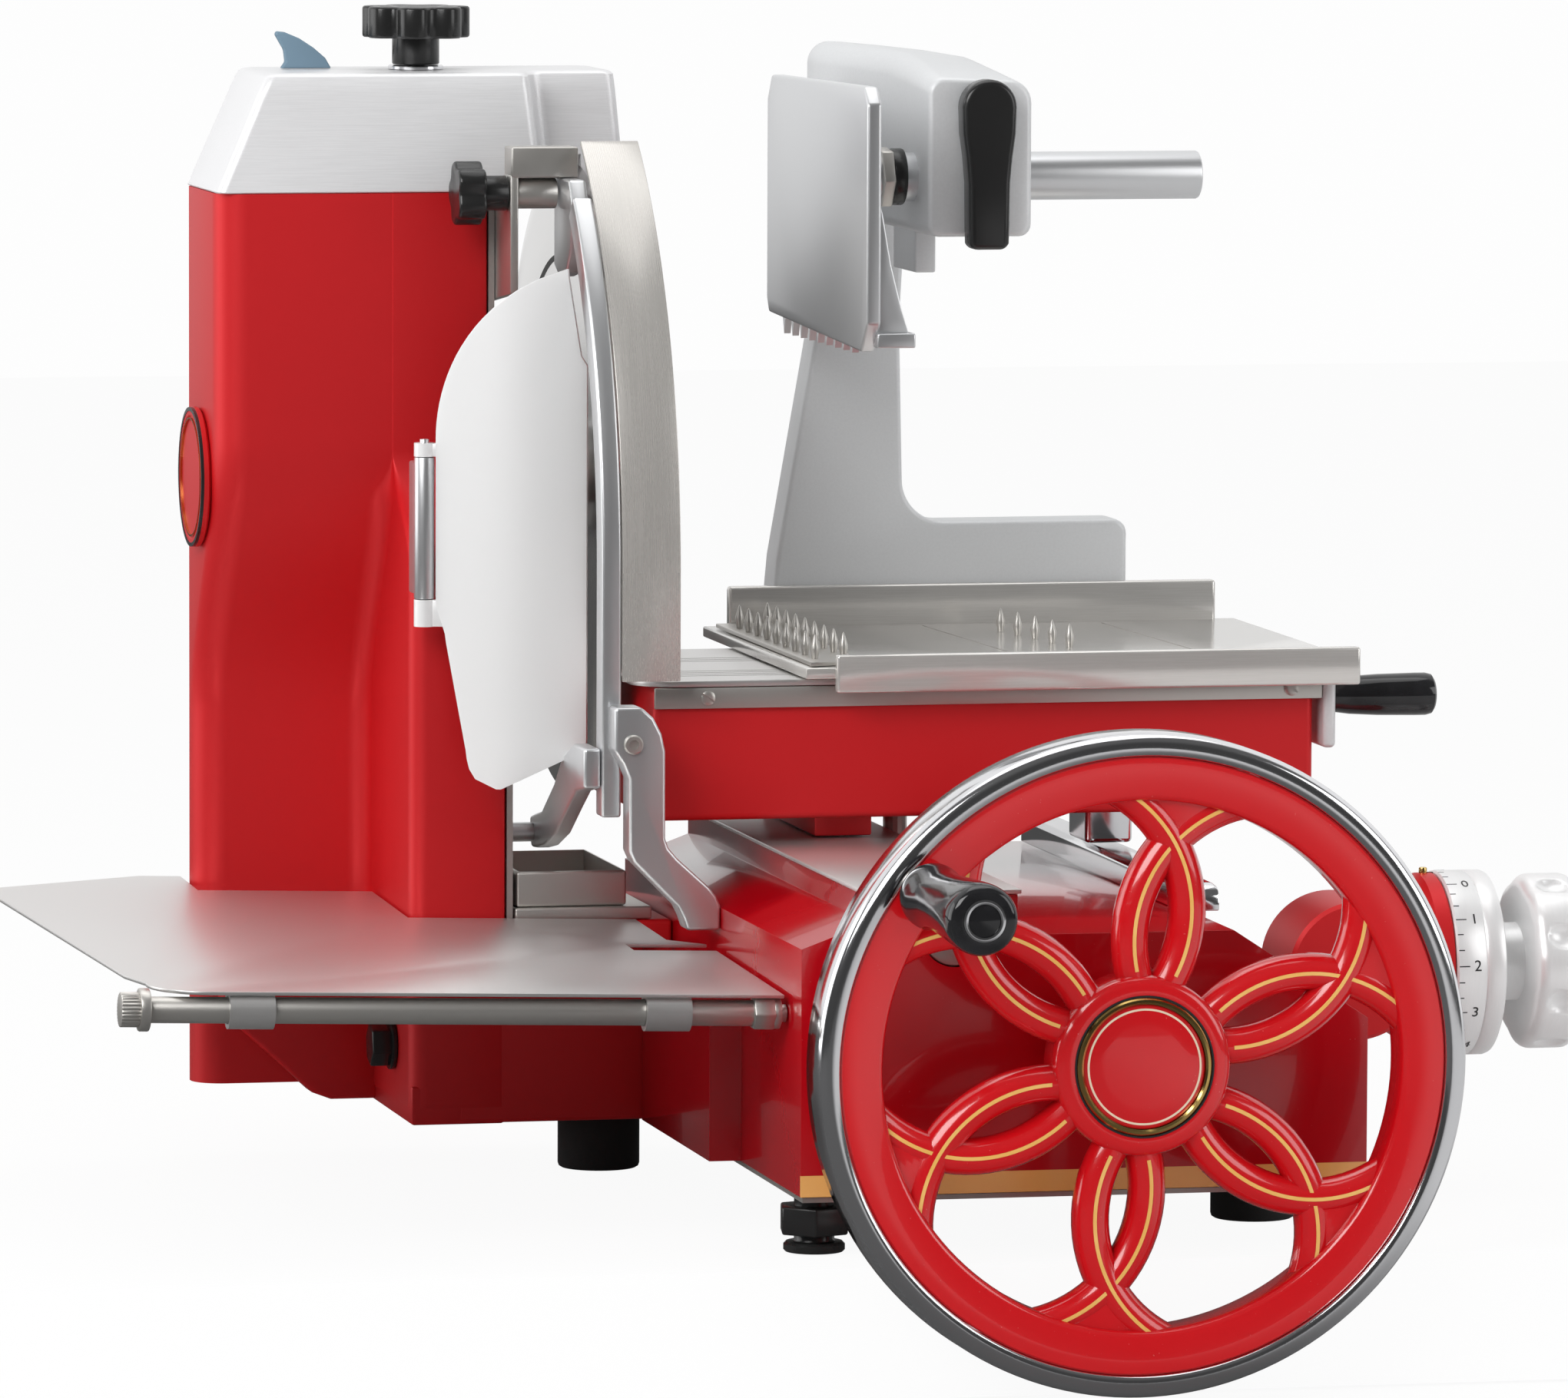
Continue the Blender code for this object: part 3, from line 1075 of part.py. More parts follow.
def build_tray():
    """Build the slice tray on its rod, and the drip drawer and its shelf."""
    tilt = bpy.data.objects.new("tray_plane", None)
    tilt.location = (BASE_LEFT - SEAT, TRAY_FRONT, TRAY_Z)
    tilt.rotation_euler = (TRAY_PITCH, TRAY_ROLL, 0.0)
    collection(COLLECTION_NAME).objects.link(tilt)
    x0, y0 = tilt.location.x, tilt.location.y
    notch_y = BUTTRESS_FRONT - 0.0015 - y0
    back_y = COLUMN_FRONT + RECESS_DEPTH - 0.017 - y0
    left, col = TRAY_LEFT - x0, COLUMN_LEFT - x0
    outline = [(-0.002, 0.000), (-0.002, 0.1265), (-0.036, 0.1265), (-0.036, 0.1450), (-0.002, 0.1450),
               (-0.016, 0.158), (-0.016, notch_y), (BUTTRESS_LEFT - x0 - 0.0015, notch_y),
               (BUTTRESS_LEFT - x0 - 0.0015, back_y), (col - 0.002, back_y), (col - 0.002, 0.345),
               (col - 0.020, 0.345), (left - 0.022, 0.300), (left - 0.005, 0.045)]
    outline += arc((left + 0.022, 0.022), 0.022, math.radians(172), math.radians(270), 7)
    sheet = prism([outline], -TRAY_THICK, 0.0, "Z")
    axis_z = -TRAY_THICK - TRAY_ROD_DROP - TRAY_ROD_R
    for place in (-0.048, -0.214):
        collar = ring(TRAY_ROD_R + RUNNING, TRAY_ROD_R + 0.0022, place - 0.009, place + 0.009, "X", (0, 0.006, axis_z), 16)
        pad = block((place - 0.009, 0.002, axis_z + TRAY_ROD_R + 0.0012), (place + 0.009, 0.010, -TRAY_THICK + 0.0003))
        cut(pad, rod(TRAY_ROD_R + RUNNING, place - 0.01, place + 0.01, "X", (0, 0.006, axis_z)))
        joined(sheet, pad, collar)
    tray = node("slice_tray", sheet, "mirror_steel")
    end = left - 0.002
    bar = rod(TRAY_ROD_R, end, -0.0125, "X", (0, 0.006, axis_z), 16)
    nut = prism([polygon((0.006, axis_z), 0.0122, 6)], -0.0135, -0.0050, "X")
    washer = rod(0.0062, -0.0055, -0.0025, "X", (0, 0.006, axis_z), 16)
    stud = rod(0.0035, -0.0030, -0.0001, "X", (0, 0.006, axis_z), 16)
    thumb = turned([(0.0, end + 0.001), (0.0085, end + 0.001), (0.0085, end - 0.0035), (0.0068, end - 0.0035),
                    (0.0068, end - 0.0105), (0.0058, end - 0.0115), (0.0, end - 0.0115)],
                   "X", (0, 0.006, axis_z), 24)
    tray_rod = node("tray_rod", joined(bar, nut, washer, stud, thumb), "bright_steel")
    for obj in (tray, tray_rod):
        obj.parent = tilt


def build_drawer(drawer_joint):
    """Build the drip drawer below the blade and the shelf that it slides on."""
    left, right = COLUMN_RIGHT + SEAT + SIDE_PLATE_THICK + 0.001, GUARD_RIGHT + 0.005
    front, back = BUTTRESS_FRONT + 0.0005, 0.312
    low = WING_TOP + SEAT
    shelf = block((left, front, low), (right, back, low + 0.0052))
    node("drip_shelf", rounded(shelf, 0.0008, 1), "satin_aluminium")
    box_low = low + 0.0052 + SEAT
    box_right = right - 0.010
    tray = block((left + 0.001, front + 0.003, box_low), (box_right, back - 0.004, box_low + 0.0145))
    inside = block((left + 0.0025, front + 0.0045, box_low + 0.0015), (box_right - 0.0015, back - 0.0055, box_low + 0.03))
    node("drip_drawer", cut(tray, inside), "brushed_steel", drawer_joint)


def build_carriage(carriage_joint, rod_joint, handle_joint):
    """Build the carriage: casting, deck, strip, shoes, drive pin, connecting rod and handle."""
    back = CARRIAGE_FRONT + CARRIAGE_DEPTH
    front = CARRIAGE_FRONT + STRIP_THICK + SEAT
    box = block((CARRIAGE_LEFT, front, CARRIAGE_FLOOR), (CARRIAGE_RIGHT, back, CARRIAGE_TOP))
    rounded(box, 0.003, 2)
    inside = block((CARRIAGE_LEFT + CARRIAGE_WALL, front + CARRIAGE_WALL, CARRIAGE_FLOOR - 0.01),
                   (CARRIAGE_RIGHT - CARRIAGE_WALL, back - CARRIAGE_WALL, CARRIAGE_TOP - CARRIAGE_WALL - 0.002))
    runner_low = TUNNEL_TOP + SEAT + COVER_THICK + SLIDE_GAP
    runner = block((GUIDE_X - 0.012, 0.180, runner_low),
                   (GUIDE_X + 0.012, 0.280, CARRIAGE_TOP - CARRIAGE_WALL))
    node("carriage_casting", joined(cut(box, inside), runner), "red_enamel", carriage_joint)

    roof = CARRIAGE_TOP - CARRIAGE_WALL - 0.002 - SEAT
    drive_pin = rod(ROD_PIN_R, ROD_Z - SEAT, roof, "Z", (CRANK_X, CARRIAGE_PIN_Y, 0), 16)
    node("drive_pin", drive_pin, "bright_steel", carriage_joint)
    shoe_low = BASE_TOP + SEAT + RAIL_HEIGHT + SLIDE_GAP
    shoe = block((RAIL_X - 0.010, 0.195, shoe_low), (RAIL_X + 0.010, 0.225, roof))
    node("rail_shoe", rounded(shoe, 0.001, 1), "chrome", carriage_joint)

    deck_low = CARRIAGE_TOP + SEAT
    deck_left, deck_right = BLADE_X + BLADE_THICK + SLIDE_GAP, CARRIAGE_RIGHT
    corner = arc((deck_left + 0.018, CARRIAGE_FRONT + 0.018), 0.018, math.pi, 1.5 * math.pi, 6)
    deck = prism([corner + [(deck_right, CARRIAGE_FRONT), (deck_right, back - 0.002), (deck_left, back - 0.002)]],
                 deck_low, deck_low + DECK_THICK, "Z")
    top = deck_low + DECK_THICK
    grooves = [block((deck_left - 0.005, place, top - 0.0008), (deck_right + 0.005, place + 0.0015, top + 0.001))
               for place in (0.192, 0.199, 0.206, 0.262, 0.269, 0.276)]
    node("carriage_deck", cut(deck, *grooves), "mirror_steel", carriage_joint)

    strip = block((CARRIAGE_LEFT, CARRIAGE_FRONT, CARRIAGE_TOP - STRIP_DROP),
                  (CARRIAGE_RIGHT + 0.003, CARRIAGE_FRONT + STRIP_THICK, CARRIAGE_TOP))
    node("carriage_strip", strip, "brushed_steel", carriage_joint)

    pin_x, pin_y = crank_pin()
    run = Vector((pin_x - CRANK_X, pin_y - CARRIAGE_PIN_Y))
    turn = math.atan2(run.y, run.x)
    half = ROD_EYE_R
    outline = (arc((pin_x, pin_y), half, turn - math.pi / 2, turn + math.pi / 2, 9)
               + arc((CRANK_X, CARRIAGE_PIN_Y), half, turn + math.pi / 2, turn + 3 * math.pi / 2, 9))
    holes = [arc(place, ROD_PIN_R + RUNNING, 0, 2 * math.pi * 19 / 20, 20)
             for place in ((pin_x, pin_y), (CRANK_X, CARRIAGE_PIN_Y))]
    link = prism([outline, *holes], ROD_Z, ROD_Z + ROD_THICK, "Z")
    node("connecting_rod", link, "dark_steel", rod_joint)

    plate_left = CARRIAGE_RIGHT + 0.003 + SEAT
    lever = block((plate_left, HANDLE_Y - HANDLE_LEVER_HALF, HANDLE_LEVER_LOW),
                  (plate_left + 0.0055, HANDLE_Y + HANDLE_LEVER_HALF, HANDLE_LEVER_TOP))
    grip = turned([(0, plate_left + 0.050), (0.0068, plate_left + 0.050), (0.0088, plate_left + 0.047),
                   (0.0088, plate_left + 0.008), (0.0075, plate_left + 0.005), (0, plate_left + 0.005)],
                  "X", (0, HANDLE_Y, HANDLE_Z), 16)
    node("push_handle", joined(rounded(lever, 0.001, 1), grip), "black_plastic", handle_joint)


def spike(x, y, z):
    """Return one pointed spike that stands on a plate."""
    return turned([(0, z + SPIKE_HEIGHT), (SPIKE_R, z + SPIKE_HEIGHT * 0.55), (SPIKE_R, z - 0.001), (0, z - 0.001)],
                  "Z", (x, y, 0), 6)


def build_table(table_joint, rod_slide_joint, clamp_joint):
    """Build the meat table, its spikes, and the press that holds the food down."""
    low = TABLE_Z - TABLE_THICK
    plate = block((TABLE_LEFT, TABLE_FRONT, low), (TABLE_RIGHT, TABLE_BACK, TABLE_Z))
    apron = block((TABLE_LEFT + 0.012, TABLE_FRONT - 0.0045, TABLE_Z - APRON_DROP),
                  (TABLE_RIGHT, TABLE_FRONT + 0.001, TABLE_Z + APRON_RISE))
    fence = block((TABLE_LEFT + 0.010, TABLE_BACK - 0.0064, low + 0.0004),
                  (TABLE_RIGHT - 0.010, TABLE_BACK - 0.0004, TABLE_Z + FENCE_RISE))
    row = [spike(0.123, 0.242 + index * 0.0155, TABLE_Z) for index in range(5)]
    for piece in (plate, apron, fence):
        rounded(piece, 0.0011, 2)
    node("meat_table", joined(plate, apron, fence, *row), "mirror_steel", table_joint)

    bed_z = TABLE_Z + SEAT
    bed = prism([[(TABLE_LEFT + 0.003, TABLE_FRONT + 0.004), (TABLE_LEFT + 0.026, TABLE_FRONT + 0.010),
                  (TABLE_LEFT + 0.030, TABLE_BACK - 0.012), (TABLE_LEFT + 0.003, TABLE_BACK - 0.012)]],
                bed_z, bed_z + 0.0018, "Z")
    spikes = []
    for row, shift in enumerate((0.009, 0.020)):
        for index in range(12):
            y = TABLE_FRONT + 0.018 + row * 0.006 + index * 0.0142
            spikes.append(spike(TABLE_LEFT + shift, y, bed_z + 0.0018))
    node("spike_plate", joined(bed, *spikes), "bright_steel", table_joint)

    build_press(table_joint, rod_slide_joint, clamp_joint)


def build_press(table_joint, rod_slide_joint, clamp_joint):
    """Build the press: post, head, sliding rod with its plate, and clamping lever."""
    front = TABLE_BACK + SEAT
    back = front + POST_THICK
    low = TABLE_Z - TABLE_THICK
    fillet = arc((0.1345, 0.2775), 0.018, math.pi, 1.5 * math.pi, 7)
    post = prism([[(0.0600, low), (0.2090, low), (0.2145, TABLE_Z + 0.020), (0.2145, 0.2500), (0.2090, 0.2595)]
                  + list(reversed(fillet)) + [(0.1150, 0.3400), (0.1180, 0.4000), (0.0860, 0.4000),
                                              (0.0790, 0.3430), (0.0620, 0.2450)]],
                 front, back, "Y")
    rounded(post, 0.003, 2, 45.0)
    head = loft([
        [(HEAD_LEFT, HEAD_FRONT, 0.388), (HEAD_RIGHT, HEAD_FRONT, 0.388), (HEAD_RIGHT + 0.001, HEAD_FRONT, 0.412),
         (HEAD_RIGHT - 0.005, HEAD_FRONT, 0.448), (HEAD_RIGHT - 0.010, HEAD_FRONT, 0.452),
         (HEAD_LEFT + 0.004, HEAD_FRONT, 0.452), (HEAD_LEFT - 0.001, HEAD_FRONT, 0.446), (HEAD_LEFT, HEAD_FRONT, 0.412)],
        [(HEAD_LEFT - 0.003, 0.285, 0.388), (HEAD_RIGHT - 0.003, 0.285, 0.388), (HEAD_RIGHT - 0.003, 0.285, 0.412),
         (HEAD_RIGHT - 0.010, 0.285, 0.452), (HEAD_RIGHT - 0.020, 0.285, 0.460),
         (HEAD_LEFT + 0.002, 0.285, 0.462), (HEAD_LEFT - 0.005, 0.285, 0.456), (HEAD_LEFT - 0.004, 0.285, 0.412)],
        [(0.0780, back, 0.394), (0.1180, back, 0.394), (0.1200, back, 0.415), (0.1160, back, 0.452),
         (0.1100, back, 0.461), (0.0840, back, 0.463), (0.0780, back, 0.456), (0.0770, back, 0.415)],
    ])
    rounded(head, 0.0025, 2, 30.0)
    tab = block((0.1020, 0.270, 0.3700), (0.1110, 0.310, 0.3900))
    joined(post, head, tab)
    bore = rod(PRESS_ROD_R + RUNNING, 0.06, 0.20, "X", (0, ROD_Y, ROD_AXIS_Z), 24)
    screw_hole = rod(0.004 + RUNNING, HEAD_FRONT - 0.005, HEAD_FRONT + 0.0095, "Y", (CLAMP_X, 0, CLAMP_Z), 16)
    node("press_arm", cut(post, bore, screw_hole), "satin_aluminium", table_joint)

    bar = rod(PRESS_ROD_R, PRESS_X + PRESS_THICK + SEAT, PRESS_ROD_END, "X", (0, ROD_Y, ROD_AXIS_Z), 24, 0.001)
    nut_right = HEAD_LEFT - 0.006
    nut = prism([polygon((ROD_Y, ROD_AXIS_Z), 0.023, 6, 0.1)], nut_right - 0.0105, nut_right - 0.0055, "X")
    collar = rod(0.0118, nut_right - 0.0060, nut_right, "X", (0, ROD_Y, ROD_AXIS_Z), 24)
    node("press_rod", joined(bar, nut, collar), "satin_aluminium", rod_slide_joint)

    y_front, y_back = 0.154, 0.343
    face = prism([[(y_front, 0.3560), (y_front + 0.012, 0.3440), (y_back - 0.004, 0.3500), (y_back, 0.3560),
                   (y_back, 0.4440), (y_back - 0.006, 0.4500), (y_front + 0.006, 0.4520), (y_front, 0.4460)]],
                 PRESS_X, PRESS_X + PRESS_THICK, "X")
    rounded(face, 0.0012, 2, 20.0)
    rib = block((PRESS_X + PRESS_THICK - 0.001, y_front + 0.002, 0.3460), (PRESS_X + 0.0210, y_back - 0.010, 0.3520))
    web = prism([[(PRESS_X + PRESS_THICK - 0.001, 0.3500), (PRESS_X + 0.0190, 0.3500), (PRESS_X + 0.0110, 0.3800),
                  (PRESS_X + PRESS_THICK - 0.001, 0.4000)]], y_front + 0.004, y_front + 0.009, "Y")
    boss = rod(0.013, PRESS_X + PRESS_THICK - 0.001, PRESS_X + 0.0120, "X", (0, ROD_Y, ROD_AXIS_Z), 16)
    joined(face, rib, web, boss)
    cut(face, rod(PRESS_ROD_R + SEAT, PRESS_X + PRESS_THICK, PRESS_X + 0.03, "X", (0, ROD_Y, ROD_AXIS_Z), 24))
    node("press_plate", face, "satin_aluminium", rod_slide_joint)

    clamp_front = HEAD_FRONT - 0.0140
    width_top, width_low = 0.0115, 0.0090
    centre = 0.1200
    outline = (arc((centre, 0.4410), width_top, 0, math.pi, 9)
               + [(centre - 0.0110, 0.4250), (centre - width_low, 0.4100), (centre - width_low, 0.3850),
                  (centre - width_low + 0.002, 0.3825), (centre + width_low - 0.002, 0.3825),
                  (centre + width_low, 0.3850), (centre + width_low, 0.4100), (centre + 0.0110, 0.4250)])
    lever = rounded(prism([outline], clamp_front, HEAD_FRONT - 0.002, "Y"), 0.0022, 2, 50.0)
    screw = rod(0.004, HEAD_FRONT - 0.004, HEAD_FRONT + 0.009, "Y", (CLAMP_X, 0, CLAMP_Z), 16)
    node("clamp_lever", joined(lever, screw), "black_plastic", clamp_joint)


def build_thickness(dial_joint):
    """Build the thickness control: housing on the base's right wall, dial and lobed knob."""
    at = (0, DIAL_Y, DIAL_Z)
    drum = rod(0.0285, DIAL_Y - 0.024, DIAL_Y + 0.024, "Y", (0.2530, 0, DIAL_Z), 32, 0.001)
    neck = block((BASE_RIGHT + SEAT, DIAL_Y - 0.018, DIAL_Z - 0.022), (0.2400, DIAL_Y + 0.018, SHOULDER_RIGHT_Z - 0.004))
    flange = turned([(0.0, DIAL_LEFT - SEAT), (DIAL_R - 0.0015, DIAL_LEFT - SEAT), (DIAL_R - 0.001, DIAL_LEFT - 0.008),
                     (0.0270, DIAL_LEFT - 0.020), (0.0, DIAL_LEFT - 0.020)], "X", at, 32)
    body = rod(0.0260, 0.2500, DIAL_LEFT - 0.015, "X", at, 32)
    joined(drum, neck, body, flange)
    spindle_hole = rod(0.006 + RUNNING, DIAL_LEFT - 0.032, DIAL_LEFT + 0.004, "X", at, 16)
    node("dial_housing", cut(drum, spindle_hole), "red_enamel")

    dial_right = DIAL_LEFT + DIAL_WIDTH
    dial = turned([(0, dial_right), (DIAL_R - 0.003, dial_right), (DIAL_R, dial_right - 0.003), (DIAL_R, DIAL_LEFT),
                   (0.006, DIAL_LEFT), (0.006, DIAL_LEFT - 0.030), (0, DIAL_LEFT - 0.030)], "X", at, 64)
    node("thickness_dial", dial, "satin_aluminium", dial_joint)
    start = dial_right + SEAT
    lobes = prism([lobed_outline((DIAL_Y, DIAL_Z), KNOB_R, 0.0045, 7, 35)], KNOB_END - 0.0250, KNOB_END - 0.001, "X")
    rounded(lobes, 0.006, 2, 60.0)
    stem = turned([(0, KNOB_END - 0.020), (0.0260, KNOB_END - 0.020), (0.0215, KNOB_END - 0.028), (0.0215, start + 0.017),
                   (KNOB_SHAFT_R, start + 0.015), (KNOB_SHAFT_R, start), (0, start)], "X", at, 32)
    node("thickness_knob", joined(lobes, stem), "satin_aluminium", dial_joint)


def build_slicer():
    """Build every sub-assembly, each moving one on the empty at its joint."""
    clear_scene()
    pin_x, pin_y = CRANK_X, CARRIAGE_PIN_Y
    grip_x = SHAFT_X + GRIP_SEAT_R * math.cos(GRIP_TURN)
    grip_z = SHAFT_Z + GRIP_SEAT_R * math.sin(GRIP_TURN)
    wheel_joint = joint("flywheel_axis", (SHAFT_X, 0.0, SHAFT_Z))
    grip_joint = joint("grip_axis", (grip_x, 0.0, grip_z))
    cross_joint = joint("cross_shaft_axis", (0.0, CROSS_Y, SHAFT_Z))
    crank_joint = joint("crank_axis", (CRANK_X, CRANK_Y, 0.0))
    blade_joint = joint("blade_axis", (0.0, CROSS_Y, BLADE_Z))
    guard_knob_joint = joint("guard_knob_axis", (0.0, GUARD_ARM_Y + 0.007, GUARD_ARM_Z - 0.0065))
    cover_joint = joint("cover_axis", (*COVER_HINGE, 0.0))
    drawer_joint = joint("drawer_slide", (0.0, BUTTRESS_FRONT, WING_TOP))
    carriage_joint = joint("carriage_slide", (0.0, CARRIAGE_FRONT, CARRIAGE_FLOOR))
    rod_joint = joint("connecting_rod_axis", (pin_x, pin_y, 0.0))
    handle_joint = joint("handle_axis", (CARRIAGE_RIGHT, HANDLE_Y, HANDLE_PIVOT_Z))
    table_joint = joint("table_slide", (TABLE_LEFT, TABLE_FRONT, TABLE_Z))
    rod_slide_joint = joint("press_slide", (PRESS_X, ROD_Y, ROD_AXIS_Z))
    clamp_joint = joint("clamp_axis", (CLAMP_X, HEAD_FRONT, CLAMP_Z))
    dial_joint = joint("dial_axis", (DIAL_LEFT, DIAL_Y, DIAL_Z))
    build_base()
    build_drive(wheel_joint, cross_joint, crank_joint)
    build_flywheel(wheel_joint, grip_joint)
    build_column()
    build_blade(blade_joint)
    build_guard(guard_knob_joint)
    build_cover(cover_joint)
    build_tray()
    build_drawer(drawer_joint)
    build_carriage(carriage_joint, rod_joint, handle_joint)
    build_table(table_joint, rod_slide_joint, clamp_joint)
    build_thickness(dial_joint)


build_slicer()
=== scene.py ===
"""Looks of the hand-cranked food slicer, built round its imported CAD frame.

Sizes are in millimetres in the frame of the CAD: X to the operator's right, Y away from the
operator, Z up from the bench. Each sub-assembly is a class that holds its sizes and builds and
dresses its own pieces.
"""

from __future__ import annotations

import json
import logging
import math
from contextlib import contextmanager
from dataclasses import dataclass
from enum import Enum
from typing import Iterator, Sequence

import bpy
from mathutils import Matrix, Vector

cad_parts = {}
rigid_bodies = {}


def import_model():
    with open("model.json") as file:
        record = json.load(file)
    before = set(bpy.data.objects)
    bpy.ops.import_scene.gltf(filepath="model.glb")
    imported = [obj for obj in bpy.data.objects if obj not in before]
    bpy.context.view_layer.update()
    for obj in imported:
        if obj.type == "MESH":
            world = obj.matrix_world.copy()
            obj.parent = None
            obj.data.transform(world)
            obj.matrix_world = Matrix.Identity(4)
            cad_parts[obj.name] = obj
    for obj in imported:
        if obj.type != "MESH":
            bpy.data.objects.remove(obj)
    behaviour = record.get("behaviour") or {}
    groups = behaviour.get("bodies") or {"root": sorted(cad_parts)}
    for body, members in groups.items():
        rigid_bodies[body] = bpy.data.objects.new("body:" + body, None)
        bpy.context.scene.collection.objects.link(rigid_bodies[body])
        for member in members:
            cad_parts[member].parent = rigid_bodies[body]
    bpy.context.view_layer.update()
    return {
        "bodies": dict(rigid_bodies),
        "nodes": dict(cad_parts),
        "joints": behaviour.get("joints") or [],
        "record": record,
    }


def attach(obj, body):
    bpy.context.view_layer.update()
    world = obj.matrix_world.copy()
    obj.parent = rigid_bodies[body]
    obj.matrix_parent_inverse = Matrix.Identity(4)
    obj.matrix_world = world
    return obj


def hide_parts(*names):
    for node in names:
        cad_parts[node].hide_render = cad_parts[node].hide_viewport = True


LOG = logging.getLogger("slicer")
MM = 0.001
TURN = 2.0 * math.pi
ORIGIN = (0.0, 0.0, 0.0)
WHITE = (1.0, 1.0, 1.0, 1.0)

# How far a metal's marks are drawn out, when they run straight and when they run round.
STRAIGHT_MARKS = 0.02
ROUND_MARKS = 0.0012

# Points that lie nearer to each other than this, in metres, are merged.
WELD = 1e-6
SEAM = 1e-7

# The angle in radians at which a screw's slot stands.
SLOT_TURN = 0.6

Point = tuple[float, float]
Place = tuple[float, float, float]
Colour = tuple[float, float, float]


class Axis(Enum):
    """A direction that a shape is extruded or turned along."""

    X = 0
    Y = 1
    Z = 2

    def spread(self, first: float, second: float, along: float) -> Vector:
        """Put an outline's two measures and a place along the axis into X, Y and Z.

        Args:
            first: The outline's first measure, in millimetres.
            second: The outline's second measure, in millimetres.
            along: The place along the axis, in millimetres.

        Returns:
            The point in metres.
        """
        places = {
            Axis.X: (along, first, second),
            Axis.Y: (first, along, second),
            Axis.Z: (first, second, along),
        }
        return Vector(places[self]) * MM

    def vector(self) -> Vector:
        """Return the axis as a unit vector."""
        return self.spread(0.0, 0.0, 1.0 / MM)


class Wire:
    """A shader socket that Python's arithmetic works on by adding Math nodes."""

    def __init__(self, graph: Graph, socket: bpy.types.NodeSocket) -> None:
        """Hold a socket and the graph that it belongs to."""
        self.graph = graph
        self.socket = socket

    def maths(self, operation: str, *values: Wire | float) -> Wire:
        """Add a Math node.

        Args:
            operation: The Math node's operation.
            values: What goes into its sockets.

        Returns:
            The node's result.
        """
        node = self.graph.node("ShaderNodeMath", {"operation": operation}, dict(enumerate(values)))
        return Wire(self.graph, node.outputs[0])

    def __add__(self, other: Wire | float) -> Wire:
        """Add."""
        return self.maths("ADD", self, other)

    def __radd__(self, other: float) -> Wire:
        """Add to a number."""
        return self.maths("ADD", other, self)

    def __sub__(self, other: Wire | float) -> Wire:
        """Subtract."""
        return self.maths("SUBTRACT", self, other)

    def __rsub__(self, other: float) -> Wire:
        """Subtract from a number."""
        return self.maths("SUBTRACT", other, self)

    def __mul__(self, other: Wire | float) -> Wire:
        """Multiply."""
        return self.maths("MULTIPLY", self, other)

    def __rmul__(self, other: float) -> Wire:
        """Multiply a number."""
        return self.maths("MULTIPLY", other, self)

    def __lt__(self, other: float) -> Wire:
        """Give 1 where the value is below the limit."""
        return self.maths("LESS_THAN", self, other)

    def __gt__(self, other: float) -> Wire:
        """Give 1 where the value is above the limit."""
        return self.maths("GREATER_THAN", self, other)

    def band(self, low: float, high: float) -> Wire:
        """Give 0 below low and 1 above high, with a smooth step between them."""
        span = self.graph.node("ShaderNodeMapRange", {"interpolation_type": "SMOOTHSTEP"},
                               {0: self, 1: low, 2: high, 3: 0.0, 4: 1.0})
        return Wire(self.graph, span.outputs[0])


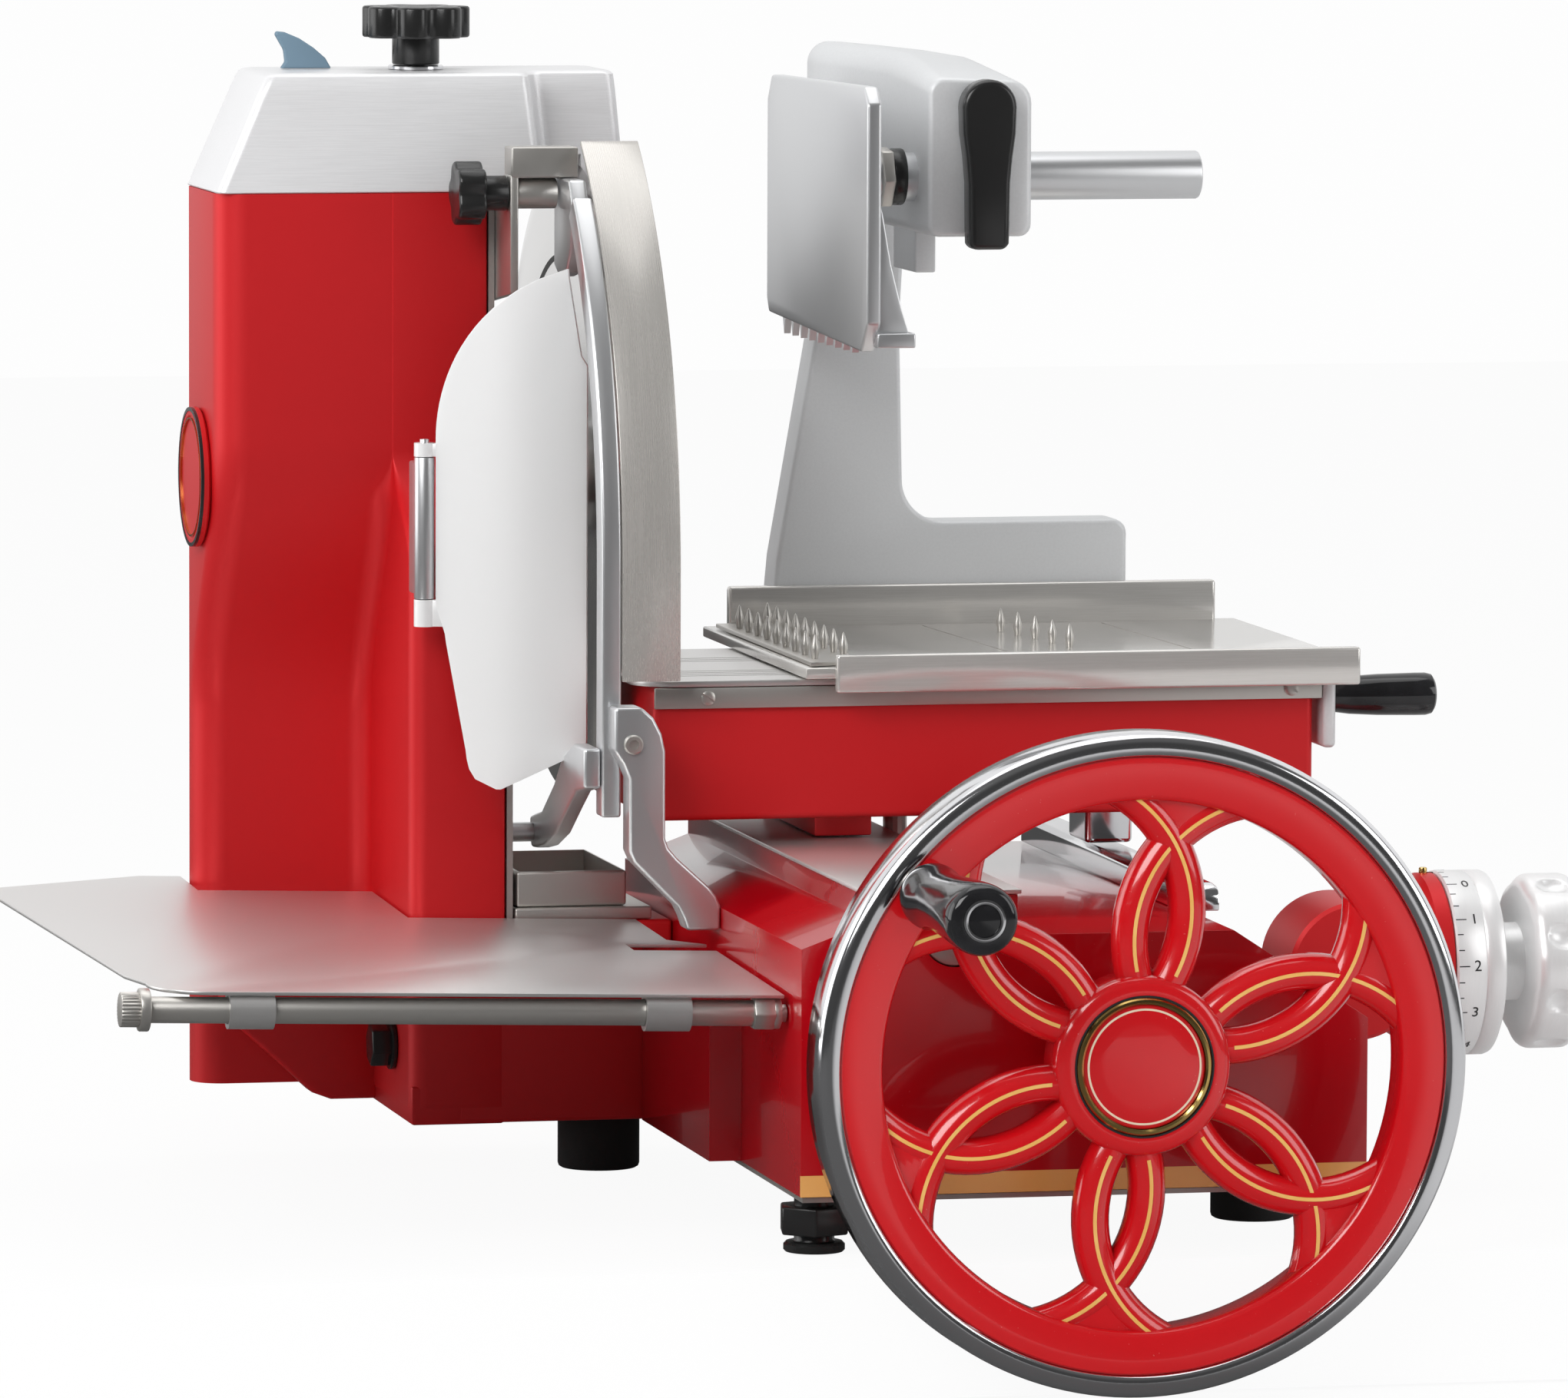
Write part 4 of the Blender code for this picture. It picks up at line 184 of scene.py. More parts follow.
class Graph:
    """A node tree that is built from Python expressions."""

    def __init__(self, tree: bpy.types.NodeTree) -> None:
        """Start with an empty tree."""
        self.tree = tree
        tree.nodes.clear()

    def node(self, kind: str, settings: dict | None = None,
             inputs: dict | None = None) -> bpy.types.Node:
        """Add a node.

        Args:
            kind: The node's type.
            settings: Its properties, or "stops" for a ramp's places and colours.
            inputs: Values or wires, by the socket's name or number.

        Returns:
            The new node.
        """
        node = self.tree.nodes.new(kind)
        for key, value in (settings or {}).items():
            if key == "stops":
                self._fill_ramp(node.color_ramp, value)
            else:
                setattr(node, key, value)
        for key, value in (inputs or {}).items():
            if isinstance(value, Wire):
                self.tree.links.new(value.socket, node.inputs[key])
            else:
                node.inputs[key].default_value = value
        return node

    @staticmethod
    def _fill_ramp(ramp: bpy.types.ColorRamp, stops: Sequence[tuple[float, Colour]]) -> None:
        """Set a ramp's stops."""
        while len(ramp.elements) < len(stops):
            ramp.elements.new(1.0)
        for element, (place, colour) in zip(ramp.elements, stops):
            element.position = place
            element.color = (*colour, 1.0)

    def wire(self, kind: str, settings: dict | None = None, inputs: dict | None = None,
             output: int | str = 0) -> Wire:
        """Add a node and return one of its outputs."""
        return Wire(self, self.node(kind, settings, inputs).outputs[output])

    def place(self) -> Wire:
        """Return the Object coordinates in metres."""
        return self.wire("ShaderNodeTexCoord", output="Object")

    def parts(self, vector: Wire) -> tuple[Wire, Wire, Wire]:
        """Return a vector's three components."""
        split = self.node("ShaderNodeSeparateXYZ", inputs={0: vector})
        return tuple(Wire(self, split.outputs[index]) for index in range(3))

    def noise(self, vector: Wire, scale: float, detail: float = 2.0, rough: float = 0.5) -> Wire:
        """Return a noise value between 0 and 1."""
        return self.wire("ShaderNodeTexNoise",
                         inputs={"Vector": vector, "Scale": scale, "Detail": detail, "Roughness": rough})

    def mix(self, factor: Wire | float, first: Wire | Colour, second: Wire | Colour) -> Wire:
        """Return a colour between two colours."""
        ends = [value if isinstance(value, Wire) else (*value, 1.0) for value in (first, second)]
        return self.wire("ShaderNodeMix", {"data_type": "RGBA"},
                         {0: factor, 6: ends[0], 7: ends[1]}, output=2)

    def bump(self, height: Wire, distance: float, strength: float = 1.0) -> Wire:
        """Return a normal that is roughened by a height in metres."""
        return self.wire("ShaderNodeBump", inputs={"Strength": strength, "Distance": distance,
                                                   "Height": height})

    def surface(self, **inputs: Wire | float | Colour) -> None:
        """Add the Principled shader and the output.

        Args:
            inputs: Values by socket name, with an underscore for each space.
        """
        named = {}
        for key, value in inputs.items():
            wide = isinstance(value, tuple) and len(value) == 3
            named[key.replace("_", " ")] = (*value, 1.0) if wide else value
        shader = self.wire("ShaderNodeBsdfPrincipled", inputs=named)
        self.node("ShaderNodeOutputMaterial", inputs={0: shader})


@dataclass(frozen=True)
class Finish:
    """A finish that makes its material once and hands it out again."""

    name: str
    slot: str

    def material(self) -> bpy.types.Material:
        """Return the finish's material."""
        made = bpy.data.materials.get(self.name)
        if made is None:
            made = bpy.data.materials.new(self.name)
            made.use_nodes = True
            self.build(Graph(made.node_tree))
        return made

    def build(self, graph: Graph) -> None:
        """Fill the material's node tree."""
        raise NotImplementedError


@dataclass(frozen=True)
class Enamel(Finish):
    """Glossy stoved paint on a casting, with its slight ripple and a few specks of dust.

    A stripe, where there is one, lies below stripe_top and in front of stripe_back, in metres.
    """

    colour: Colour = (0.660, 0.0010, 0.0075)
    deep: Colour = (0.590, 0.0010, 0.0050)
    stripe: Colour | None = None
    ripple: float = 0.00002
    gloss: float = 0.16
    coat: float = 0.45
    dust: Colour = (0.80, 0.55, 0.52)
    stripe_top: float = 0.0325
    stripe_back: float = -0.0190

    def build(self, graph: Graph) -> None:
        """Fill the material's node tree."""
        spot = graph.place()
        cloud = graph.noise(spot, 14.0, 3.0)
        specks = graph.noise(spot, 900.0, 1.0).band(0.775, 0.80)
        colour = graph.mix(cloud.band(0.35, 0.75) * 0.5, self.colour, self.deep)
        colour = graph.mix(specks * 0.15, colour, self.dust)
        if self.stripe:
            _, across, height = graph.parts(spot)
            mask = (height < self.stripe_top) * (across < self.stripe_back)
            colour = graph.mix(mask, colour, self.stripe)
        peel = graph.noise(spot, 420.0, 1.0)
        wave = graph.noise(spot, 55.0, 1.0)
        graph.surface(Base_Color=colour, Roughness=cloud * 0.05 + self.gloss,
                      Normal=graph.bump(peel * 0.35 + wave, self.ripple * 10.0, 0.30),
                      Coat_Weight=self.coat, Coat_Roughness=0.03, Specular_IOR_Level=0.5)


class Grain(Enum):
    """How a metal's polishing marks run."""

    NONE = "none"
    ALONG_X = "along x"
    ROUND_X = "round x"

    def stretch(self, graph: Graph, centre: Place) -> Wire:
        """Return coordinates in which the marks are long in their direction.

        Args:
            graph: The material's graph.
            centre: The middle of round marks, in millimetres.

        Returns:
            A vector whose noise looks like the marks.
        """
        spot = graph.place()
        if self is Grain.NONE:
            return spot
        if self is Grain.ALONG_X:
            scale = (STRAIGHT_MARKS, 1.0, 1.0)
            return graph.wire("ShaderNodeMapping", inputs={"Vector": spot, "Scale": scale})
        x, y, z = graph.parts(spot)
        x, y, z = x - centre[0] * MM, y - centre[1] * MM, z - centre[2] * MM
        squared = y * y + z * z
        radius = squared.maths("SQRT", squared)
        angle = y.maths("ARCTAN2", z, y)
        return graph.wire("ShaderNodeCombineXYZ", inputs={0: radius, 1: angle * ROUND_MARKS, 2: x})


@dataclass(frozen=True)
class Metal(Finish):
    """Polished, brushed or blasted metal with fine marks and faint smears."""

    colour: Colour = (0.68, 0.67, 0.655)
    rough: float = 0.16
    spread: float = 0.08
    grain: Grain = Grain.NONE
    centre: Place = (0.0, 0.0, 0.0)
    marks: float = 2600.0
    depth: float = 0.000004
    metallic: float = 1.0
    tint: float = 0.10

    def build(self, graph: Graph) -> None:
        """Fill the material's node tree."""
        lines = graph.noise(self.grain.stretch(graph, self.centre), self.marks, 3.0, 0.65)
        smear = graph.noise(graph.place(), 26.0, 4.0, 0.6)
        dark = tuple(part * (1.0 - self.tint) for part in self.colour)
        colour = graph.mix(lines.band(0.30, 0.70) * 0.7 + smear * 0.3, dark, self.colour)
        rough = lines * self.spread + smear * self.spread + (self.rough - self.spread)
        graph.surface(Base_Color=colour, Metallic=self.metallic, Roughness=rough,
                      Normal=graph.bump(lines, self.depth, 0.6))


@dataclass(frozen=True)
class Moulding(Finish):
    """Moulded plastic or rubber with a fine spark-eroded texture."""

    colour: Colour = (0.012, 0.012, 0.013)
    pale: Colour = (0.022, 0.022, 0.024)
    rough: float = 0.30
    texture: float = 1800.0
    depth: float = 0.00001

    def build(self, graph: Graph) -> None:
        """Fill the material's node tree."""
        spot = graph.place()
        grain = graph.noise(spot, self.texture, 2.0)
        smear = graph.noise(spot, 60.0, 3.0)
        graph.surface(Base_Color=graph.mix(smear.band(0.3, 0.8), self.colour, self.pale),
                      Roughness=smear * 0.10 + self.rough - 0.05,
                      Normal=graph.bump(grain, self.depth, 0.4))


@dataclass(frozen=True)
class Palette:
    """Every finish on the machine."""

    red: Enamel = Enamel("red_enamel", "red_enamel")
    # The base's red and deep red are painted darker than the column's red, as painted shade; its cream
    # stripe is real.
    red_base: Enamel = Enamel("red_enamel_striped_shaded", "red_enamel", colour=(0.420, 0.0012, 0.0060),
                              deep=(0.350, 0.0010, 0.0050), stripe=(0.79, 0.40, 0.115))
    red_wheel: Enamel = Enamel("red_wheel_enamel", "red_enamel", colour=(0.58, 0.006, 0.010),
                               ripple=0.000012, coat=0.80)
    white: Enamel = Enamel("white_enamel", "white_enamel", colour=(0.86, 0.86, 0.86),
                           deep=(0.82, 0.82, 0.82), ripple=0.000004, gloss=0.30, coat=0.25)
    stripe: Moulding = Moulding("cream_stripe", "red_enamel", colour=(0.78, 0.42, 0.10),
                                pale=(0.84, 0.50, 0.16), rough=0.25)
    cream: Moulding = Moulding("cream_line", "red_enamel", colour=(0.80, 0.62, 0.46),
                               pale=(0.84, 0.68, 0.52), rough=0.25)
    chrome: Metal = Metal("chrome", "chrome", colour=(0.86, 0.86, 0.87), rough=0.05, spread=0.02,
                          depth=0.0000004, tint=0.03)
    mirror: Metal = Metal("mirror_steel", "mirror_steel", rough=0.06, spread=0.03,
                          grain=Grain.ALONG_X, depth=0.0000012, colour=(0.76, 0.75, 0.74))
    table: Metal = Metal("table_steel", "mirror_steel", rough=0.17, spread=0.08,
                         grain=Grain.ALONG_X, depth=0.000003, colour=(0.78, 0.76, 0.73), metallic=0.60)
    band: Metal = Metal("guard_band_steel", "brushed_steel", rough=0.27, spread=0.10,
                        grain=Grain.ROUND_X, centre=(0.0, 353.0, 257.0),
                        colour=(0.58, 0.56, 0.53), metallic=0.50)
    blade: Metal = Metal("blade_steel", "mirror_steel", rough=0.15, spread=0.06,
                         grain=Grain.ROUND_X, centre=(0.0, 298.0, 285.0), colour=(0.72, 0.71, 0.70))
    brushed: Metal = Metal("brushed_steel", "brushed_steel", rough=0.28, spread=0.10,
                           grain=Grain.ALONG_X, colour=(0.70, 0.68, 0.66))
    cap: Metal = Metal("cap_aluminium", "satin_aluminium", rough=0.36, spread=0.10,
                       grain=Grain.ALONG_X, depth=0.000006, colour=(0.83, 0.83, 0.84), metallic=0.25)
    turned: Metal = Metal("turned_aluminium", "satin_aluminium", rough=0.34, spread=0.08,
                          grain=Grain.ROUND_X, centre=(0.0, 140.0, 92.0), depth=0.000003,
                          colour=(0.88, 0.88, 0.88), metallic=0.35, tint=0.04)
    brass: Metal = Metal("brass_pin", "bright_steel", colour=(0.72, 0.50, 0.18), rough=0.20)
    cast: Metal = Metal("cast_aluminium", "satin_aluminium", rough=0.48, spread=0.06,
                        colour=(0.72, 0.73, 0.74), metallic=0.30, marks=900.0, depth=0.00003, tint=0.05)
    satin: Metal = Metal("satin_aluminium", "satin_aluminium", rough=0.30, spread=0.08,
                         colour=(0.80, 0.80, 0.80), metallic=0.55, marks=1500.0, depth=0.000008, tint=0.05)
    rod: Metal = Metal("bright_steel", "bright_steel", rough=0.20, spread=0.08,
                       grain=Grain.ALONG_X, colour=(0.66, 0.65, 0.62))
    dark: Metal = Metal("dark_steel", "dark_steel", colour=(0.10, 0.10, 0.10), rough=0.38)
    gold: Metal = Metal("gold_rim", "chrome", colour=(0.70, 0.48, 0.16), rough=0.14, spread=0.05)
    black: Moulding = Moulding("black_plastic", "black_plastic")
    gloss: Moulding = Moulding("black_gloss", "black_plastic", rough=0.09, depth=0.0000005)
    rubber: Moulding = Moulding("black_rubber", "black_rubber", rough=0.62)
    blue: Moulding = Moulding("blue_plastic", "blue_plastic", colour=(0.13, 0.19, 0.25),
                              pale=(0.20, 0.28, 0.36), rough=0.28)
    ink: Moulding = Moulding("dial_ink", "satin_aluminium", colour=(0.02, 0.02, 0.02))


PALETTE = Palette()


def pick(*pieces: bpy.types.Object) -> None:
    """Select pieces and nothing else, and make the first one active."""
    bpy.ops.object.select_all(action="DESELECT")
    for piece in pieces:
        piece.select_set(True)
    bpy.context.view_layer.objects.active = pieces[0]


@contextmanager
def editing(piece: bpy.types.Object) -> Iterator[None]:
    """Open a piece, and nothing else, in edit mode with all of it selected."""
    pick(piece)
    bpy.ops.object.mode_set(mode="EDIT")
    bpy.ops.mesh.select_all(action="SELECT")
    yield
    bpy.ops.object.mode_set(mode="OBJECT")


def weld() -> None:
    """Merge the doubled points of the mesh in edit mode, and turn its faces outward."""
    bpy.ops.mesh.select_all(action="SELECT")
    bpy.ops.mesh.remove_doubles(threshold=WELD)
    bpy.ops.mesh.normals_make_consistent(inside=False)


class Shape:
    """A piece that is modelled with Blender's operators. Sizes are in millimetres."""

    def __init__(self, piece: bpy.types.Object) -> None:
        """Hold the piece's object."""
        self.piece = piece

    @classmethod
    def _adopt(cls, name: str) -> Shape:
        """Name the primitive that was just added and put its place in its mesh."""
        piece = bpy.context.active_object
        piece.name = name
        piece.data.name = name
        bpy.ops.object.transform_apply(location=True, rotation=True, scale=True)
        return cls(piece)

    @classmethod
    def box(cls, name: str, low: Place, high: Place) -> Shape:
        """Add a box between two corners."""
        bpy.ops.object.select_all(action="DESELECT")
        middle = (Vector(low) + Vector(high)) * MM / 2
        size = (Vector(high) - Vector(low)) * MM
        bpy.ops.mesh.primitive_cube_add(size=1.0, location=middle, scale=size)
        return cls._adopt(name)

    @classmethod
    def _loop(cls, name: str, points: Sequence[Vector], fill: str) -> Shape:
        """Add a circle and move its points to an outline."""
        bpy.ops.object.select_all(action="DESELECT")
        bpy.ops.mesh.primitive_circle_add(vertices=len(points), fill_type=fill)
        shape = cls._adopt(name)
        for vertex, point in zip(shape.piece.data.vertices, points):
            vertex.co = point
        return shape

    @classmethod
    def prism(cls, name: str, outline: Sequence[Point], low: float, high: float,
              axis: Axis) -> Shape:
        """Extrude a flat outline between two places on an axis."""
        shape = cls._loop(name, [axis.spread(*point, low) for point in outline], "NGON")
        with editing(shape.piece):
            bpy.ops.mesh.extrude_region_move(
                TRANSFORM_OT_translate={"value": axis.vector() * (high - low) * MM})
            bpy.ops.mesh.select_all(action="SELECT")
            bpy.ops.mesh.normals_make_consistent(inside=False)
        return shape

    @classmethod
    def spun(cls, name: str, profile: Sequence[Point], axis: Axis, centre: Place,
             steps: int = 64, closed: bool = False) -> Shape:
        """Spin a profile of (radius, place along the axis) points round an axis."""
        points = []
        for radius, along in profile:
            point = axis.spread(radius, 0.0, along) + Vector(centre) * MM
            points.append(point)
        shape = cls._loop(name, points, "NOTHING")
        with editing(shape.piece):
            if not closed:
                bpy.ops.mesh.select_all(action="DESELECT")
                bpy.ops.object.mode_set(mode="OBJECT")
                last = {0, len(points) - 1}
                for edge in shape.piece.data.edges:
                    edge.select = set(edge.vertices) == last
                bpy.ops.object.mode_set(mode="EDIT")
                bpy.ops.mesh.select_mode(type="EDGE")
                bpy.ops.mesh.delete(type="EDGE")
                bpy.ops.mesh.select_mode(type="VERT")
                bpy.ops.mesh.select_all(action="SELECT")
            bpy.ops.mesh.spin(steps=steps, angle=TURN, center=Vector(centre) * MM,
                              axis=axis.vector())
            weld()
        return shape

    @classmethod
    def rod(cls, name: str, radius: float, low: float, high: float, axis: Axis, centre: Place,
            edge: float = 0.4, steps: int = 48) -> Shape:
        """Add a round bar with softened ends between two places on an axis."""
        profile = [(0.0, low), (radius - edge, low), (radius - edge * 0.3, low + edge * 0.3),
                   (radius, low + edge), (radius, high - edge),
                   (radius - edge * 0.3, high - edge * 0.3), (radius - edge, high), (0.0, high)]
        return cls.spun(name, profile, axis, centre, steps)

    @classmethod
    def swept(cls, name: str, section: Sequence[Vector], pivot: Vector, axis: Axis, sweep: float,
              steps: int) -> Shape:
        """Spin a section part of the way round an axis, to make a bent bar."""
        shape = cls._loop(name, section, "NGON")
        with editing(shape.piece):
            bpy.ops.mesh.spin(steps=steps, angle=-sweep, center=pivot, axis=axis.vector())
            weld()
        return shape

    @classmethod
    def loft(cls, name: str, sections: Sequence[Sequence[Place]]) -> Shape:
        """Wrap a grid round cross-sections with equal numbers of points, and close its ends."""
        across, rows = len(sections[0]), len(sections)
        bpy.ops.object.select_all(action="DESELECT")
        bpy.ops.mesh.primitive_grid_add(x_subdivisions=across, y_subdivisions=rows - 1)
        shape = cls._adopt(name)
        for index, vertex in enumerate(shape.piece.data.vertices):
            row, column = divmod(index, across + 1)
            vertex.co = Vector(sections[row][column % across]) * MM
        with editing(shape.piece):
            bpy.ops.mesh.remove_doubles(threshold=SEAM)
            bpy.ops.mesh.select_all(action="DESELECT")
            bpy.ops.mesh.select_mode(type="EDGE")
            bpy.ops.mesh.select_non_manifold(extend=False, use_wire=False, use_boundary=True,
                                             use_multi_face=False, use_non_contiguous=False,
                                             use_verts=False)
            bpy.ops.mesh.fill_holes(sides=0)
            bpy.ops.mesh.select_mode(type="VERT")
            bpy.ops.mesh.select_all(action="SELECT")
            bpy.ops.mesh.normals_make_consistent(inside=False)
        return shape

    def _apply(self, kind: str, **settings: object) -> Shape:
        """Add a modifier and apply it."""
        modifier = self.piece.modifiers.new(kind.lower(), kind)
        for key, value in settings.items():
            setattr(modifier, key, value)
        pick(self.piece)
        bpy.ops.object.modifier_apply(modifier=modifier.name)
        return self

    def bevel(self, width: float, segments: int = 3, angle: float = 30.0) -> Shape:
        """Round the sharp edges."""
        return self._apply("BEVEL", width=width * MM, segments=segments, limit_method="ANGLE",
                           angle_limit=math.radians(angle), use_clamp_overlap=True,
                           harden_normals=False)

    def _combine(self, others: Sequence[Shape], operation: str) -> Shape:
        """Join or cut with other shapes, and remove them."""
        for other in others:
            self._apply("BOOLEAN", operation=operation, solver="EXACT", object=other.piece)
            bpy.data.objects.remove(other.piece)
        return self

    def cut(self, *others: Shape) -> Shape:
        """Cut other shapes away."""
        return self._combine(others, "DIFFERENCE")

    def fuse(self, *others: Shape) -> Shape:
        """Join other shapes into one skin."""
        return self._combine(others, "UNION")

    def gather(self, *others: Shape) -> Shape:
        """Join other shapes as they are."""
        pick(self.piece, *[other.piece for other in others])
        bpy.ops.object.join()
        return self

    def copy(self, name: str) -> Shape:
        """Return a copy with its own mesh."""
        piece = self.piece.copy()
        piece.data = self.piece.data.copy()
        piece.name = name
        piece.data.name = name
        bpy.context.scene.collection.objects.link(piece)
        return Shape(piece)

    def turned(self, angle: float, axis: Axis, centre: Place) -> Shape:
        """Turn the mesh about an axis through a point."""
        middle = Matrix.Translation(Vector(centre) * MM)
        turn = middle @ Matrix.Rotation(angle, 4, axis.vector()) @ middle.inverted()
        self.piece.data.transform(turn)
        return self

    def moved(self, x: float, y: float, z: float) -> Shape:
        """Move the mesh."""
        self.piece.data.transform(Matrix.Translation(Vector((x, y, z)) * MM))
        return self

    def smooth(self, angle: float = 32.0) -> Shape:
        """Shade the mesh smooth, apart from its sharp edges."""
        pick(self.piece)
        bpy.ops.object.shade_smooth_by_angle(angle=math.radians(angle))
        return self

    def dress(self, finish: Finish, body: str, *nodes: str, angle: float = 32.0) -> Shape:
        """Give the piece its finish and body, and hide the CAD nodes that it stands for.

        Args:
            finish: What the surface is.
            body: The body that the piece moves with.
            nodes: The CAD nodes that the piece replaces.
            angle: The angle in degrees above which an edge stays sharp.

        Returns:
            The piece's shape.
        """
        self.smooth(angle)
        self.piece.data.materials.clear()
        self.piece.data.materials.append(finish.material())
        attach(self.piece, body)
        if nodes:
            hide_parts(*nodes)
        LOG.info("%s rides on %s", self.piece.name, body)
        return self


def arc(centre: Point, radius: float, start: float, end: float, count: int) -> list[Point]:
    """Return points on an arc.

    Args:
        centre: The arc's middle.
        radius: Its radius.
        start: The first angle in degrees.
        end: The last angle in degrees.
        count: How many points.

    Returns:
        The points, in order.
    """
    points = []
    for index in range(count):
        angle = math.radians(start + (end - start) * index / (count - 1))
        points.append((centre[0] + radius * math.cos(angle), centre[1] + radius * math.sin(angle)))
    return points


def hexagon(centre: Point, across: float, turn: float = 0.0) -> list[Point]:
    """Return the corners of a hexagon nut."""
    return arc(centre, across / math.sqrt(3.0), turn, turn + 300.0, 6)


def lobes(centre: Point, radius: float, dip: float, count: int, points: int,
          turn: float = 0.0) -> list[Point]:
    """Return the outline of a star knob, with dips between its lobes."""
    outline = []
    for index in range(points):
        angle = TURN * index / points
        reach = radius - dip * (0.5 - 0.5 * math.cos(count * angle)) ** 2
        outline.append((centre[0] + reach * math.cos(angle + turn),
                        centre[1] + reach * math.sin(angle + turn)))
    return outline


def shifted(along: float, *points: Point) -> list[Point]:
    """Return a profile's points, with a place added to the second measure of each."""
    return [(radius, along + place) for radius, place in points]


def ease(value: float) -> float:
    """Return a smooth step from 0 to 1."""
    value = max(0.0, min(1.0, value))
    return value * value * (3.0 - 2.0 * value)


def screw(name: str, radius: float, height: float, axis: Axis, centre: Place,
          sign: float = 1.0) -> Shape:
    """Make a slotted pan-head screw.

    Args:
        name: The piece's name.
        radius: The head's radius.
        height: How far the head stands out.
        axis: The screw's axis.
        centre: Where the head meets its seat.
        sign: 1 if the head points along the axis, and -1 if against it.

    Returns:
        The screw's shape.
    """
    base = centre[axis.value]
    edge, shoulder, crown = (base + sign * height * share for share in (0.45, 0.85, 1.0))
    off = tuple(0.0 if index == axis.value else part for index, part in enumerate(centre))
    profile = [(0.0, base - sign), (radius, base - sign), (radius, edge), (radius * 0.8, shoulder),
               (radius * 0.45, crown), (0.0, crown)]
    head = Shape.spun(name, profile, axis, off, 32)
    reach, half = radius * 1.4, radius * 0.14
    low, high = [part - reach for part in centre], [part + reach for part in centre]
    thin = (axis.value + 1) % 3
    low[thin], high[thin] = centre[thin] - half, centre[thin] + half
    ends = (edge, base + sign * height * 2)
    low[axis.value], high[axis.value] = min(ends), max(ends)
    slot = Shape.box(name + "_slot", tuple(low), tuple(high)).turned(SLOT_TURN, axis, centre)
    return head.cut(slot)


